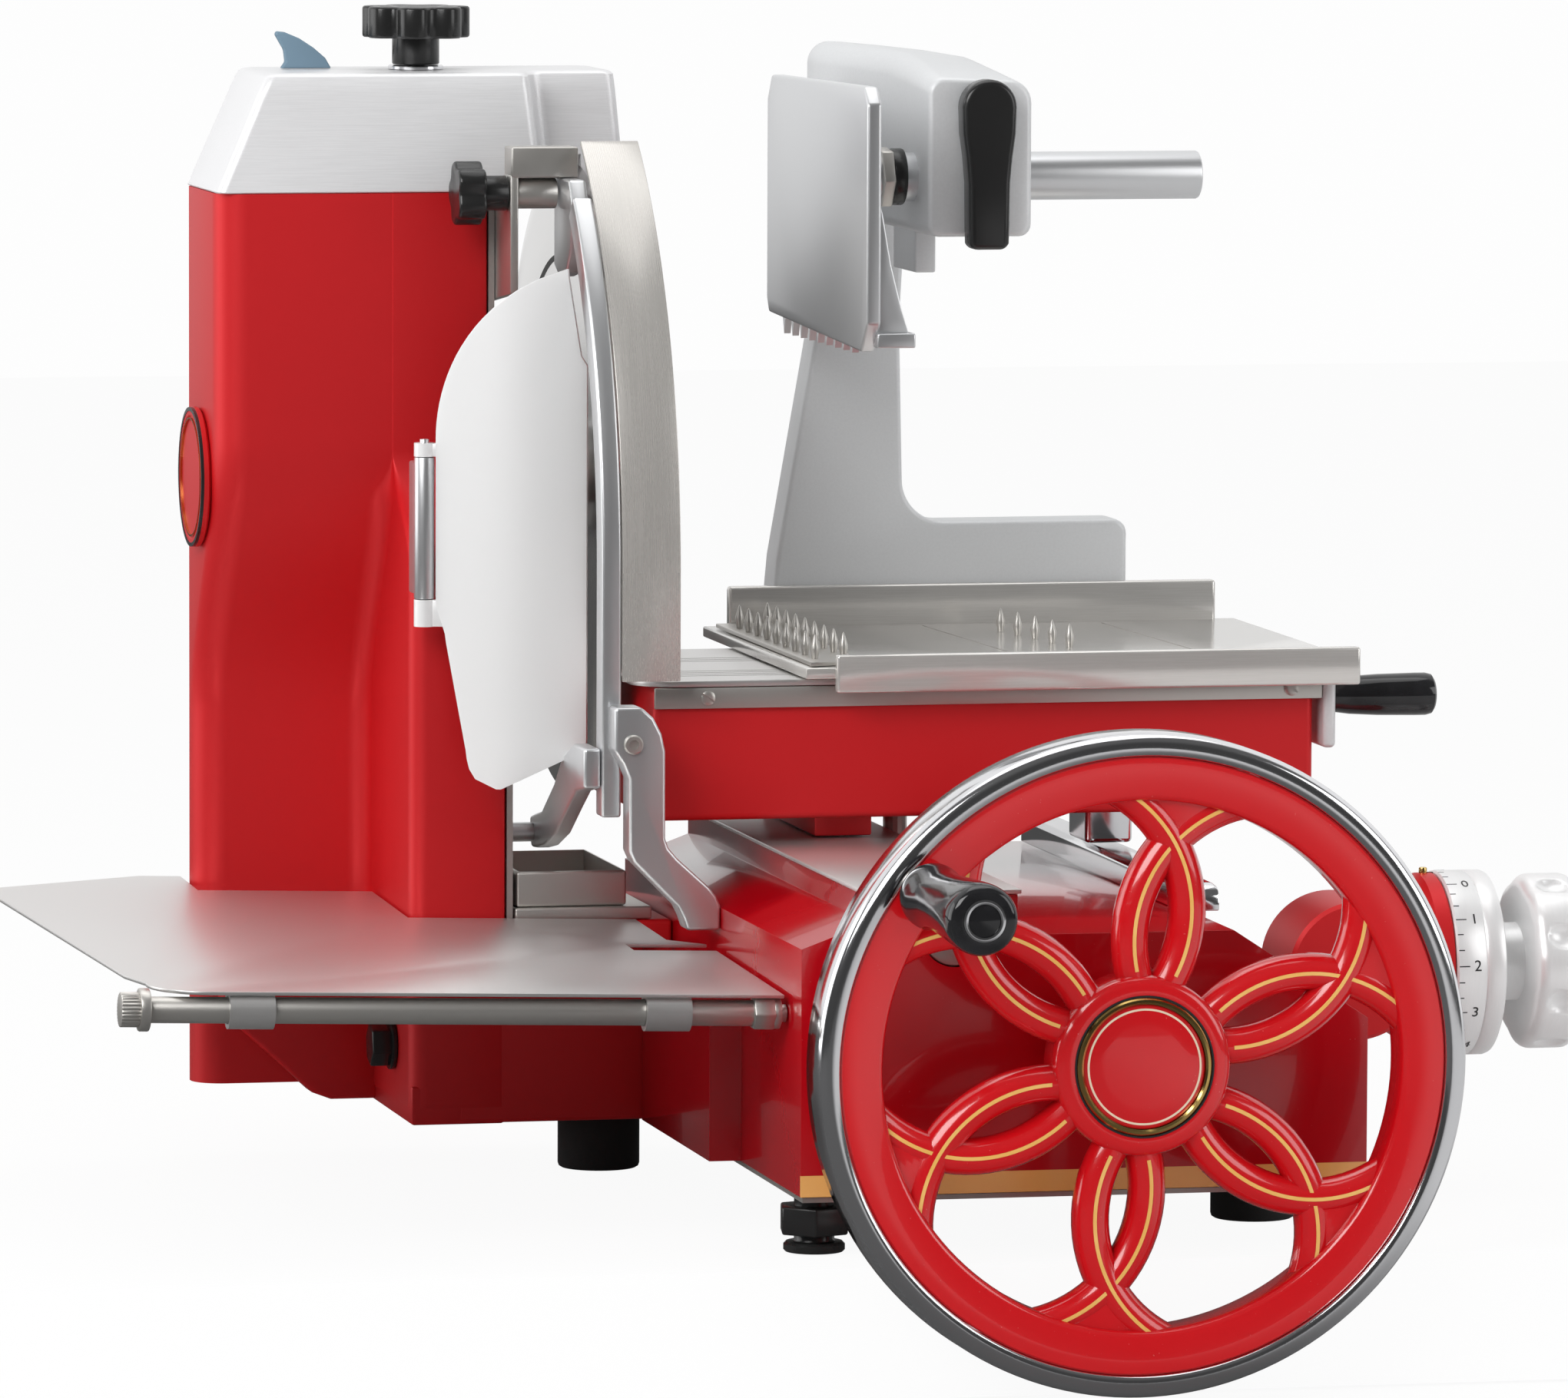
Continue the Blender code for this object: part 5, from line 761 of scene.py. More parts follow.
@dataclass
class Studio:
    """The floor, the bench, the lamps, the world and the camera."""

    camera_place: Place = (-1005.7, -4466.8, 648.1)
    camera_look: Place = (0.21600, 0.97191, -0.09341)
    camera_roll: float = 0.22
    focal_px: float = 15243.0
    width_px: float = 2041.0
    sensor: float = 36.0
    view_end: float = 50.0
    lamp_aim: Place = (0.0, 150.0, 200.0)
    bench_front: float = -46.0
    bench_top: float = -0.6
    floor_front: float = -2000.0
    floor_z: float = -53.0
    half_width: float = 2600.0
    rear: float = 5200.0
    glow: float = 0.94
    backdrop: float = 0.985
    soft_light: float = 0.48

    def build(self) -> None:
        """Set up everything that isn't part of the machine."""
        self._floor()
        self._world()
        self._lamps()
        self._camera()
        bpy.context.scene.view_settings.view_transform = "Standard"

    @staticmethod
    def _rays(graph: Graph) -> tuple[Wire, Wire, Wire]:
        """Return 1 for a ray that the camera sees, one that is mirrored and one passed through."""
        rays = graph.node("ShaderNodeLightPath")
        kinds = ("Is Camera Ray", "Is Glossy Ray", "Is Transmission Ray")
        return tuple(Wire(graph, rays.outputs[kind]) for kind in kinds)

    def _floor(self) -> None:
        """Add the pale bench top that the feet stand on, and the floor in front of it."""
        material = bpy.data.materials.new("pale_floor")
        material.use_nodes = True
        graph = Graph(material.node_tree)
        seen, mirrored, passed = self._rays(graph)
        side, _, _ = graph.parts(graph.place())
        shine = side.band(0.15, 0.45) * 0.55 + 0.06
        strength = seen + passed + mirrored * shine
        plain = graph.wire("ShaderNodeBsdfDiffuse", inputs={0: (0.88, 0.88, 0.88, 1.0)})
        glow = graph.wire("ShaderNodeEmission", inputs={0: WHITE, 1: strength})
        factor = (seen + mirrored + passed) * self.glow
        both = graph.wire("ShaderNodeMixShader", inputs={0: factor, 1: plain, 2: glow})
        graph.node("ShaderNodeOutputMaterial", inputs={0: both})
        wide = self.half_width
        bench = Shape.box("bench", (-wide, self.bench_front, self.floor_z),
                          (wide, self.rear, self.bench_top))
        front = Shape.box("floor", (-wide, self.floor_front, self.floor_z - 20),
                          (wide, self.rear, self.floor_z - 1))
        for shape in (bench, front):
            shape.piece.data.materials.append(material)

    def _world(self) -> None:
        """Fill the world with soft light: white behind the machine, grey in front of it."""
        world = bpy.data.worlds.new("studio")
        world.use_nodes = True
        graph = Graph(world.node_tree)
        seen, mirrored, _ = self._rays(graph)
        _, along, height = graph.parts(graph.wire("ShaderNodeTexCoord", output="Generated"))
        glossy = along.band(-0.15, 0.20) * 0.86 + height.band(0.30, 0.80) * 0.06 + 0.05
        unseen = mirrored * glossy + (1.0 - mirrored) * self.soft_light
        level = seen * self.backdrop + (1.0 - seen) * unseen
        glow = graph.wire("ShaderNodeBackground", inputs={0: WHITE, 1: level})
        graph.node("ShaderNodeOutputWorld", inputs={0: glow})
        bpy.context.scene.world = world

    def _lamps(self) -> None:
        """Add the soft boxes."""
        boxes = [
            ("key", (-1500, -1300, 1500), 1500, 1100, 33.0),
            ("fill", (1900, -1100, 900), 1100, 1300, 11.0),
            ("top", (100, 300, 2100), 1700, 1300, 10.0),
            ("left", (-1900, 700, 500), 1400, 1500, 10.0),
        ]
        for name, place, wide, high, watts in boxes:
            data = bpy.data.lights.new(name, "AREA")
            data.shape = "RECTANGLE"
            data.size, data.size_y, data.energy = wide * MM, high * MM, watts
            lamp = bpy.data.objects.new(name, data)
            lamp.location = Vector(place) * MM
            aim = Vector(self.lamp_aim) * MM - lamp.location
            lamp.rotation_euler = aim.to_track_quat("-Z", "Y").to_euler()
            bpy.context.scene.collection.objects.link(lamp)

    def _camera(self) -> None:
        """Add the camera at the photograph's view."""
        data = bpy.data.cameras.new("camera")
        data.sensor_width = self.sensor
        data.lens = self.focal_px * self.sensor / self.width_px
        data.clip_end = self.view_end
        camera = bpy.data.objects.new("camera", data)
        camera.location = Vector(self.camera_place) * MM
        look = Vector(self.camera_look).to_track_quat("-Z", "Y")
        roll = Matrix.Rotation(math.radians(self.camera_roll), 3, "Z")
        camera.rotation_euler = (look.to_matrix() @ roll).to_euler()
        bpy.context.scene.collection.objects.link(camera)
        bpy.context.scene.camera = camera


@dataclass
class Flywheel:
    """The spoked flywheel with its tyre, rosette of ribs, hub badge and hand grip."""

    centre: Point = (114.0, 80.0)
    front: float = -80.0
    radius: float = 130.5
    tyre_inner: float = 121.6
    rim_inner: float = 104.0
    hub: float = 35.5
    badge: float = 26.8
    rib: float = 7.4
    rib_depth: float = 1.12
    rib_middle: float = 12.0
    rib_cross: float = 0.35
    bend: float = 55.0
    bend_along: float = 55.0
    bend_aside: float = 44.0
    petals: int = 6
    first_petal: float = 82.0
    stripe_start: float = 0.075
    stripe_past: float = 0.02
    inlay: float = 1.5
    grip_angle: float = 141.5
    grip_reach: float = 112.0
    grip_long: float = 91.6

    def _at(self) -> Place:
        """Return the axis as a place."""
        return (self.centre[0], 0.0, self.centre[1])

    def build(self) -> None:
        """Build every piece of the flywheel."""
        low, top = self.tyre_inner, self.radius
        tyre = Shape.spun("tyre", shifted(
            self.front, (low, 1.2), (low + 1.0, 0.3), (low + 2.4, 0.0), (top - 4.2, 0.0),
            (top - 2.4, 0.5), (top - 0.9, 1.9), (top, 4.4), (top, 21.5), (top - 0.9, 23.8),
            (top - 2.6, 25.3), (low, 25.3)), Axis.Y, self._at(), 160, closed=True)
        tyre.dress(PALETTE.chrome, "flywheel", "flywheel_tyre", angle=50)
        self._casting()
        self._pinstripes()
        self._badge()
        self._grip()

    def _casting(self) -> None:
        """Build the red casting: rim, hub, ribs and webs."""
        front = self.front + self.inlay
        outer, inner = self.tyre_inner - 0.2, self.rim_inner
        rim = Shape.spun("wheel_casting", shifted(
            front, (outer, 21.5), (outer, 0.8), (outer - 0.8, 0.0), (inner + 2.6, -0.2),
            (inner + 1.0, 0.6), (inner + 0.2, 2.2), (inner, 4.4), (inner, 17.0), (inner + 0.8, 19.8),
            (inner + 2.6, 21.5)), Axis.Y, self._at(), 144, closed=True)
        badge, hub = self.badge, self.hub
        boss = Shape.spun("hub", shifted(
            front, (9.4, 4.2), (badge + 0.6, 4.2), (badge + 0.6, 0.2), (badge + 1.4, -0.2),
            (hub - 3.2, 0.4), (hub - 1.2, 1.4), (hub - 0.2, 3.4), (hub, 6.0), (hub, 20.0),
            (hub - 2.4, 26.0), (hub - 8.0, 33.6), (20.0, 34.0), (9.4, 34.0)),
            Axis.Y, self._at(), 96, closed=True)
        parts = [boss]
        for petal in range(self.petals):
            parts += [self._rib(petal, side) for side in (-1, 1)]
            parts.append(self._web(petal))
        rim.gather(*parts)
        rim.dress(PALETTE.red_wheel, "flywheel", "flywheel_casting", angle=40)

    def _axis(self, petal: int) -> float:
        """Return the direction of a petal's middle, in radians."""
        return math.radians(self.first_petal + petal * 360.0 / self.petals)

    def _spot(self, axis: float, along: float, aside: float) -> Point:
        """Return a point in the wheel's plane that lies along and beside a petal's middle."""
        return (self.centre[0] + along * math.cos(axis) - aside * math.sin(axis),
                self.centre[1] + along * math.sin(axis) + aside * math.cos(axis))

    def _pivot(self, petal: int, side: int) -> tuple[Vector, float, float]:
        """Return a rib's arc: its middle, and its first and last angle."""
        axis = self._axis(petal)
        x, z = self._spot(axis, self.bend_along, -side * self.bend_aside)
        start = math.asin((self.hub - 3.0 - self.bend_along) / self.bend)
        end = math.asin((self.rim_inner + 3.0 - self.bend_along) / self.bend)
        pivot = Vector((x, self.front + self.rib_middle + side * self.rib_cross, z)) * MM
        base = axis + (math.pi / 2) * side
        return pivot, base - side * start, base - side * end

    def _end(self, pivot: Vector, angle: float) -> tuple[Vector, Vector]:
        """Return the direction from a rib's pivot at an angle, and the rib's middle there."""
        radial = Vector((math.cos(angle), 0.0, math.sin(angle)))
        return radial, pivot + radial * self.bend * MM

    def _rib(self, petal: int, side: int, sides: int = 20) -> Shape:
        """Build one rib as a bent bar."""
        pivot, start, end = self._pivot(petal, side)
        radial, middle = self._end(pivot, start)
        section = []
        for index in range(sides):
            angle = TURN * index / sides
            ahead = Vector((0.0, 1.0, 0.0)) * math.sin(angle) * self.rib * self.rib_depth
            section.append(middle + (radial * math.cos(angle) * self.rib + ahead) * MM)
        return Shape.swept(f"rib_{petal}_{side}", section, pivot, Axis.Y, start - end, 22)

    def _web(self, petal: int) -> Shape:
        """Build the flat web between a crossing and the rim."""
        begin = math.acos(self.bend_aside / self.bend)
        end = math.asin((self.rim_inner + 1.0 - self.bend_along) / self.bend)
        flank = []
        for index in range(7):
            swing = begin + (end - begin) * index / 6
            flank.append((self.bend_along + self.bend * math.sin(swing),
                          self.bend * math.cos(swing) - self.bend_aside))
        crest = flank[-1][1] * 0.5
        outline = flank + [(self.rim_inner + 6.0, crest), (self.rim_inner + 7.0, 0.0),
                           (self.rim_inner + 6.0, -crest)]
        outline += [(along, -aside) for along, aside in reversed(flank[1:])]
        points = [self._spot(self._axis(petal), along, aside) for along, aside in outline]
        middle = self.front + self.rib_middle
        return Shape.prism(f"web_{petal}", points, middle - 6.9, middle + 4.6, Axis.Y).bevel(1.2, 3)

    def _pinstripes(self) -> None:
        """Lay the cream line along the crest of every rib."""
        stripes = []
        for petal in range(self.petals):
            for side in (-1, 1):
                pivot, start, end = self._pivot(petal, side)
                start -= side * self.stripe_start
                radial, middle = self._end(pivot, start)
                section = []
                for shift, lift in ((-0.75, 0.0), (-0.70, 0.16), (0.70, 0.16), (0.75, 0.0)):
                    depth = self.rib * self.rib_depth - 0.04 + lift
                    section.append(middle + (radial * shift - Vector((0.0, 1.0, 0.0)) * depth) * MM)
                stripes.append(Shape.swept(f"stripe_{petal}_{side}", section, pivot, Axis.Y,
                                           start - end + side * self.stripe_past, 26))
        first = stripes[0]
        first.gather(*stripes[1:])
        first.piece.name = "wheel_pinstripes"
        first.dress(PALETTE.stripe, "flywheel")

    def _badge(self) -> None:
        """Build the bare red badge in its gilt rim."""
        front, radius = self.front + self.inlay, self.badge
        disc = Shape.spun("wheel_badge", shifted(
            front, (0.0, 3.6), (radius - 2.4, 3.6), (radius - 2.4, 0.6), (radius - 3.4, 0.1),
            (radius * 0.6, -0.3), (0.0, -0.5)), Axis.Y, self._at(), 96)
        disc.dress(PALETTE.red_wheel, "flywheel", "hub_badge")
        rings = {
            "wheel_badge_rim": (PALETTE.gold, ((-2.2, 3.4), (0.2, 3.4), (0.2, -0.4), (-0.4, -1.1),
                                               (-1.4, -1.2), (-2.2, -0.5))),
            "wheel_badge_groove": (PALETTE.black, ((0.5, 0.5), (1.2, 0.5), (1.2, -0.35), (0.5, -0.35))),
            "wheel_badge_line": (PALETTE.cream, ((-4.7, 0.3), (-3.9, 0.3), (-3.9, -0.06), (-4.7, -0.10))),
        }
        for name, (finish, points) in rings.items():
            profile = [(radius + out, front + along) for out, along in points]
            Shape.spun(name, profile, Axis.Y, self._at(), 96, closed=True).dress(finish, "flywheel")

    def _grip(self) -> None:
        """Build the glossy hand grip on its pin."""
        angle = math.radians(self.grip_angle)
        at = (self.centre[0] + self.grip_reach * math.cos(angle), 0.0,
              self.centre[1] + self.grip_reach * math.sin(angle))
        back = self.front + self.inlay - 5.5
        end = back - self.grip_long
        pin = Shape.spun("grip_pin_piece", shifted(
            back, (0.0, -80.0), (5.0, -80.0), (5.0, 0.3), (8.5, 0.3), (8.5, 5.2), (5.0, 5.2),
            (5.0, 27.6), (8.0, 27.8), (8.0, 30.6), (7.0, 31.5), (0.0, 31.5)), Axis.Y, at, 40)
        pin.dress(PALETTE.rod, "flywheel", "grip_pin")
        profile = shifted(
            back, (5.3, 0.0), (10.8, 0.0), (11.7, -0.8), (12.8, -3.6), (13.1, -6.4), (12.6, -11.0),
            (11.9, -18.0), (11.8, -27.0), (12.2, -42.0), (13.0, -58.0), (13.7, -72.0), (14.0, -82.0),
            (13.9, -87.0))
        profile += shifted(
            end, (13.2, 1.8), (12.0, 0.5), (10.6, 0.0), (8.4, 0.0), (8.4, 0.8), (0.0, 0.8), (0.0, 6.0),
            (5.3, 6.0))
        grip = Shape.spun("hand_grip", profile, Axis.Y, at, 64, closed=True)
        grip.dress(PALETTE.gloss, "grip", "grip")
        ring = Shape.spun("grip_ring", shifted(
            end, (8.2, 0.9), (8.2, -0.15), (7.4, -0.35), (6.4, -0.15), (6.4, 0.9)),
            Axis.Y, at, 48, closed=True)
        ring.dress(PALETTE.chrome, "grip")
        plug = Shape.spun("grip_plug", shifted(
            end, (0.0, 0.9), (6.2, 0.9), (6.2, 0.2), (5.4, -0.05), (0.0, -0.15)), Axis.Y, at, 48)
        plug.dress(PALETTE.gloss, "grip")


@dataclass
class Base:
    """The base casting with its cover plate, rail, guide bar and feet."""

    left: float = -10.0
    right: float = 220.0
    front: float = -20.0
    back: float = 320.0
    floor: float = 24.0
    wall: float = 4.0
    shaft: Place = (114, 0, 80)
    guide: Place = (52, 0, 127.5)

    def _section(self, inset: float, floor: float) -> list[Point]:
        """Return the casting's cross-section, drawn in by an inset."""
        left, right = self.left + inset, self.right - inset
        return [(left, floor), (left, 122 - inset), (17 + inset, 132 - inset),
                (17 + inset, 142 - inset), (77 - inset, 142 - inset), (77 - inset, 126 - inset),
                (165 - inset * 0.5, 126 - inset), (right, 90 - inset * 0.5), (right, floor)]

    def build(self) -> None:
        """Build every piece of the base."""
        shell = Shape.prism("base_shell", self._section(0.0, self.floor), self.front, self.back,
                            Axis.Y)
        step = Shape.box("base_step", (self.left - 13, 90, self.floor + 0.2),
                         (self.left + self.wall, 221.7, 98))
        shell.fuse(step)
        shell.bevel(3.0, 5, 25.0)
        hollow = Shape.prism("hollow", self._section(self.wall, self.floor - 4.0),
                             self.front + self.wall, self.back - self.wall, Axis.Y)
        low, high = self.front - 8, self.front + 8
        shaft = Shape.rod("hole", 16.5, low, high, Axis.Y, self.shaft)
        guide = Shape.rod("hole", 13.8, low, high, Axis.Y, self.guide)
        cross = Shape.rod("hole", 6.3, self.left - 8, self.left + 8, Axis.X, (0, 298, 80))
        ends = arc((86.5, 281), 5.8, 0, 180, 12) + arc((86.5, 119), 5.8, 180, 360, 12)
        shell.cut(hollow, shaft, guide, cross, Shape.prism("slot", ends, 118, 130, Axis.Z))
        # The base casting takes the darker red, which is painted shade.
        shell.dress(PALETTE.red_base, "frame", "base_casting", angle=28)
        cover = Shape.box("tunnel_plate", (15.6, -21.2, 142.3), (78.4, 320, 144.1)).bevel(0.5, 2)
        cover.dress(PALETTE.mirror, "frame", "tunnel_cover")
        screw("tunnel_screw", 3.4, 1.3, Axis.Z, (60, 14, 144.1)).dress(PALETTE.rod, "frame")
        self._rail()
        self._guide()
        self._feet()

    @staticmethod
    def _rail() -> None:
        """Build the rail that carries the carriage's right side."""
        rail = Shape.prism("rail_bar", [
            (160, 126.3), (160, 135.4), (162, 137.3), (174, 137.3), (176, 135.4), (176, 126.3)],
            45, 316, Axis.Y)
        rail.cut(Shape.prism("nose", [
            (44, 140), (44, 124), (45, 124), (45.2, 131), (47, 134.6), (51, 137.4), (51, 140)],
            150, 190, Axis.X))
        rail.bevel(0.6, 2).dress(PALETTE.chrome, "frame", "carriage_rail")

    def _guide(self) -> None:
        """Build the guide bar and the front bearing's flange."""
        guide = Shape.spun("guide_head", [
            (0.0, -20.5), (11.5, -20.5), (13.0, -19.6), (13.5, -18.4), (13.5, -15.0), (9.0, -15.0),
            (9.0, 315.7), (0.0, 315.7)], Axis.Y, self.guide, 64)
        guide.dress(PALETTE.rod, "frame", "guide_bar")
        flange = Shape.spun("bearing_flange", [
            (9.3, -8.0), (16.2, -8.0), (16.2, -20.3), (22.0, -20.3), (22.0, -22.4), (20.8, -23.5),
            (9.3, -23.5)], Axis.Y, self.shaft, 64, closed=True)
        flange.dress(PALETTE.dark, "frame", "front_bearing")

    @staticmethod
    def _feet() -> None:
        """Build the levelling foot and the rubber feet."""
        pad = Shape.spun("levelling_pad", [
            (0.0, 0.0), (11.4, 0.0), (12.2, 0.8), (12.2, 3.0), (11.2, 4.0), (8.4, 4.2), (8.0, 5.0),
            (8.0, 21.4), (0.0, 21.4)], Axis.Z, ORIGIN, 64)
        nut = Shape.prism("levelling_nut", hexagon((0, 0), 26.0, 20.0), 7.2, 18.4, Axis.Z)
        pad.gather(nut.bevel(0.9, 3)).dress(PALETTE.black, "frame", "front_left_foot")
        places = (("front_right", 195, 62, 21.4), ("rear_left", -33, 262, 23.7),
                  ("rear_right", 195, 262, 21.4))
        for name, x, y, top in places:
            foot = Shape.spun(f"{name}_rubber", [
                (0.0, 0.0), (15.6, 0.0), (16.6, 0.6), (17.0, 1.8), (17.0, top - 1.0), (16.4, top),
                (0.0, top)], Axis.Z, (x, y, 0), 64)
            foot.dress(PALETTE.rubber, "frame", f"{name}_foot")


@dataclass
class Column:
    """The tall red casting that holds the blade, its cap and what is on them."""

    left: float = -193.0
    right: float = -80.0
    front: float = 263.0
    back: float = 341.0
    floor: float = 31.0
    top: float = 405.0
    shelf: float = -120.0
    recess: float = 55.0
    recess_low: float = 185.0
    recess_high: float = 302.0
    buttress_front: float = 222.0
    buttress_low: float = 254.0
    buttress_rise: float = 44.0
    badge_z: float = 286.0
    cap_rise: float = 49.3
    knob_at: Point = (-103.5, 300.0)

    def _front_at(self, z: float) -> float:
        """Return where the recessed front stands at a height."""
        share = (z - self.recess_low) / (self.recess_high - self.recess_low)
        return self.front + self.recess * (1.0 - ease(share))

    def _buttress_at(self, z: float) -> float:
        """Return where the buttress's front stands at a height."""
        share = (z - self.buttress_low) / self.buttress_rise
        return self.buttress_front + (self.front - self.buttress_front) * ease(share)

    def _section(self, z: float) -> list[Place]:
        """Return the casting's outline at a height, with rounded corners and a soft inner corner."""
        front = self._front_at(z)
        nose = min(self._buttress_at(z), front - 0.4)
        gap = front - nose
        inner, outer = min(9.0, gap * 0.45), min(7.0, gap * 0.45)
        outline = arc((self.left + 8, self.back - 8), 8.0, 180.0, 90.0, 6)[:0:-1]
        outline.append((self.left, self.back - 8))
        outline += arc((self.left + 13, front + 13), 13.0, 180.0, 270.0, 10)
        outline += arc((self.shelf - inner, front - inner), inner, 90.0, 0.0, 8)
        outline += arc((self.shelf + outer, nose + outer), outer, 180.0, 270.0, 8)
        outline += [(self.right - 3.0, nose), (self.right - 0.8, nose + 0.8),
                    (self.right, nose + 3.0), (self.right, self.back - 3.0),
                    (self.right - 3.0, self.back)]
        return [(x, y, z) for x, y in outline]

    def build(self) -> None:
        """Build the casting and what is fixed to it."""
        heights = [self.floor, self.floor + 1.0]
        heights += [self.floor + 4.0 + index * 8.0 for index in range(19)]
        heights += [188.0 + index * 3.0 for index in range(42)]
        heights += [318.0, 340.0, 370.0, 402.0, 404.6, self.top]
        body = Shape.loft("column", [self._section(height) for height in heights])
        buttress = Shape.prism("buttress_foot", [
            (222.6, 24.0), (339.8, 24.0), (339.8, 40.0), (222.6, 40.0)],
            self.shelf + 0.6, self.right - 0.6, Axis.X).bevel(1.2, 2)
        shelf, left, plane = self.shelf, self.left, self.front + self.recess
        gusset = Shape.prism("gusset", [
            (shelf + 6, 25), (shelf - 18, 25), (shelf - 26, 28), (left + 14, 58), (left + 9.5, 64),
            (left + 9.5, 101), (shelf + 6, 101)], plane - 14, plane + 4, Axis.Y).bevel(2.0, 3, 40)
        wing = Shape.box("wing", (self.right - 20, 222.4, 24.3), (-10.3, 338.4, 107.2)).bevel(2.0, 4)
        body.gather(buttress, gusset, wing)
        body.dress(PALETTE.red, "frame", "column_casting", angle=34)
        self._cap()
        self._controls()
        self._badge()
        self._bolt()

    def _badge(self) -> None:
        """Build the bare side badge with its two rings."""
        at = (0.0, self.front + (self.back - self.front) * 0.55, self.badge_z)
        badge = Shape.spun("side_badge_disc", shifted(
            self.left, (0.0, -0.3), (28.0, -0.3), (29.0, -1.2), (29.0, -3.0), (27.6, -4.1),
            (25.6, -4.1), (25.0, -3.4), (0.0, -3.9)), Axis.X, at, 72)
        badge.dress(PALETTE.red, "frame", "side_badge")
        rings = (("side_badge_ring", 28.9, 27.3, PALETTE.black),
                 ("side_badge_line", 24.6, 24.0, PALETTE.gold))
        for name, outer, inner, finish in rings:
            ring = Shape.spun(name, shifted(
                self.left, (inner, -3.0), (outer, -3.0), (outer, -4.35), (inner, -4.35)),
                Axis.X, at, 72, closed=True)
            ring.dress(finish, "frame")

    def _bolt(self) -> None:
        """Build the bolt in the column's foot."""
        at = (self.front - 4.0, 53.5)
        head = Shape.prism("hex_bolt", hexagon(at, 16.0, 17.0), self.shelf - 10.3, self.shelf - 1.3,
                           Axis.X).bevel(0.8, 3)
        washer = Shape.rod("bolt_washer", 10.5, self.shelf - 2.5, self.shelf - 0.3, Axis.X,
                           (0, *at), 0.4, 40)
        head.gather(washer).dress(PALETTE.black, "frame", "column_bolt")

    def _cap_section(self, z: float, rise: float, inset: float, corner: float) -> list[Place]:
        """Return the cap's outline at a height."""
        left = self.left + 21.0 * rise + inset
        right = -56.0 - 6.0 * rise - inset
        rear_right = -17.0 - 5.0 * rise - inset
        front = self.front + inset + 2.0 * rise
        rear = self.back - inset - 4.0 * rise
        step = 286.0 + inset
        rim = arc((left + corner, front + corner), corner, 180.0, 270.0, 7)
        rim += arc((right - 5.0, front + 5.0), 5.0, 270.0, 345.0, 6)
        rim += [(right + 1.4, step - 8.0)] + arc((right + 9.0, step - 7.5), 7.5, 175.0, 90.0, 6)
        rim += arc((rear_right - 5.0, step + 5.0), 5.0, 270.0, 360.0, 6)
        rim += arc((rear_right - 6.0, rear - 6.0), 6.0, 0.0, 90.0, 6)
        rim += arc((left + corner, rear - corner), corner, 90.0, 180.0, 7)
        return [(x, y, z) for x, y in rim]

    def _cap(self) -> None:
        """Build the aluminium cap."""
        low, high = self.top + 0.3, self.top + self.cap_rise
        rows = [(low, 0.0, 0.4), (low + 0.5, 0.01, 0.0), (low + 3.0, 0.06, 0.0)]
        rows += [(low + 6.0 + index * 5.0, 0.06 + (3.0 + index * 5.0) / 49.0, 0.0) for index in range(8)]
        rows += [(high - 1.8, 0.96, 0.2), (high - 0.9, 0.98, 0.9), (high - 0.3, 0.99, 2.0), (high, 1.0, 3.6)]
        outer = Shape.loft("cap", [self._cap_section(z, rise, inset, 4.0) for z, rise, inset in rows])
        inner = Shape.loft("cap_inside", [self._cap_section(z, rise, 3.6, 5.0)
                                          for z, rise in ((low - 1.0, 0.0), (high - 4.0, 0.93))])
        slot = Shape.box("blade_slot", (-44.5, 281, 400), (-36.5, 346, 419.5))
        hole = Shape.rod("hole", 4.3, high - 12, high + 4, Axis.Z, (*self.knob_at, 0))
        outer.cut(inner, slot, hole)
        outer.dress(PALETTE.cap, "frame", "column_cap", angle=38)

    def _controls(self) -> None:
        """Build the sharpener's star knob and its lever."""
        high = self.top + self.cap_rise
        at = (*self.knob_at, 0)
        stem = Shape.spun("sharpener_stem", shifted(
            high, (0.0, -18), (4.0, -18), (4.0, 2.2), (9.4, 2.2), (9.8, 2.8), (9.8, 13.6), (0.0, 13.6)),
            Axis.Z, at, 48)
        star = self.star_knob("sharpener_star", self.knob_at, 22.5, high + 13.0, high + 26.5, Axis.Z, 7)
        star.gather(stem).dress(PALETTE.black, "sharpener_knob", "sharpener_knob", angle=50)
        washer = Shape.spun("sharpener_washer", shifted(
            high, (4.3, 0.3), (11.5, 0.3), (11.5, 1.5), (10.9, 2.0), (4.3, 2.0)),
            Axis.Z, at, 48, closed=True)
        washer.dress(PALETTE.chrome, "frame")
        crest = shifted(
            high, (-158.5, 0.3), (-156.6, 3.0), (-157.2, 8.0), (-160.9, 14.4), (-160.2, 15.7),
            (-157.0, 15.3), (-151.0, 12.8), (-145.0, 8.9), (-140.0, 4.6), (-137.5, 0.3))
        fin = Shape.prism("sharpener_fin", crest, 307.5, 312.5, Axis.Y).bevel(0.9, 3, 20)
        fin.dress(PALETTE.blue, "sharpener_lever", "sharpener_lever")

    @staticmethod
    def star_knob(name: str, at: Point, radius: float, low: float, high: float, axis: Axis,
                  count: int) -> Shape:
        """Build a star knob's head with softened edges and a dished top."""
        points = lobes(at, radius, radius * 0.20, count, count * 12)
        head = Shape.prism(name, points, low, high, axis)
        with editing(head.piece):
            bpy.ops.mesh.select_all(action="DESELECT")
            bpy.ops.mesh.select_mode(type="FACE")
            bpy.ops.object.mode_set(mode="OBJECT")
            for face in head.piece.data.polygons:
                face.select = len(face.vertices) > 8
            bpy.ops.object.mode_set(mode="EDIT")
            bpy.ops.mesh.inset(thickness=radius * 0.30 * MM, depth=-radius * 0.05 * MM)
            bpy.ops.mesh.select_mode(type="VERT")
        return head.bevel(radius * 0.11, 3, 40)


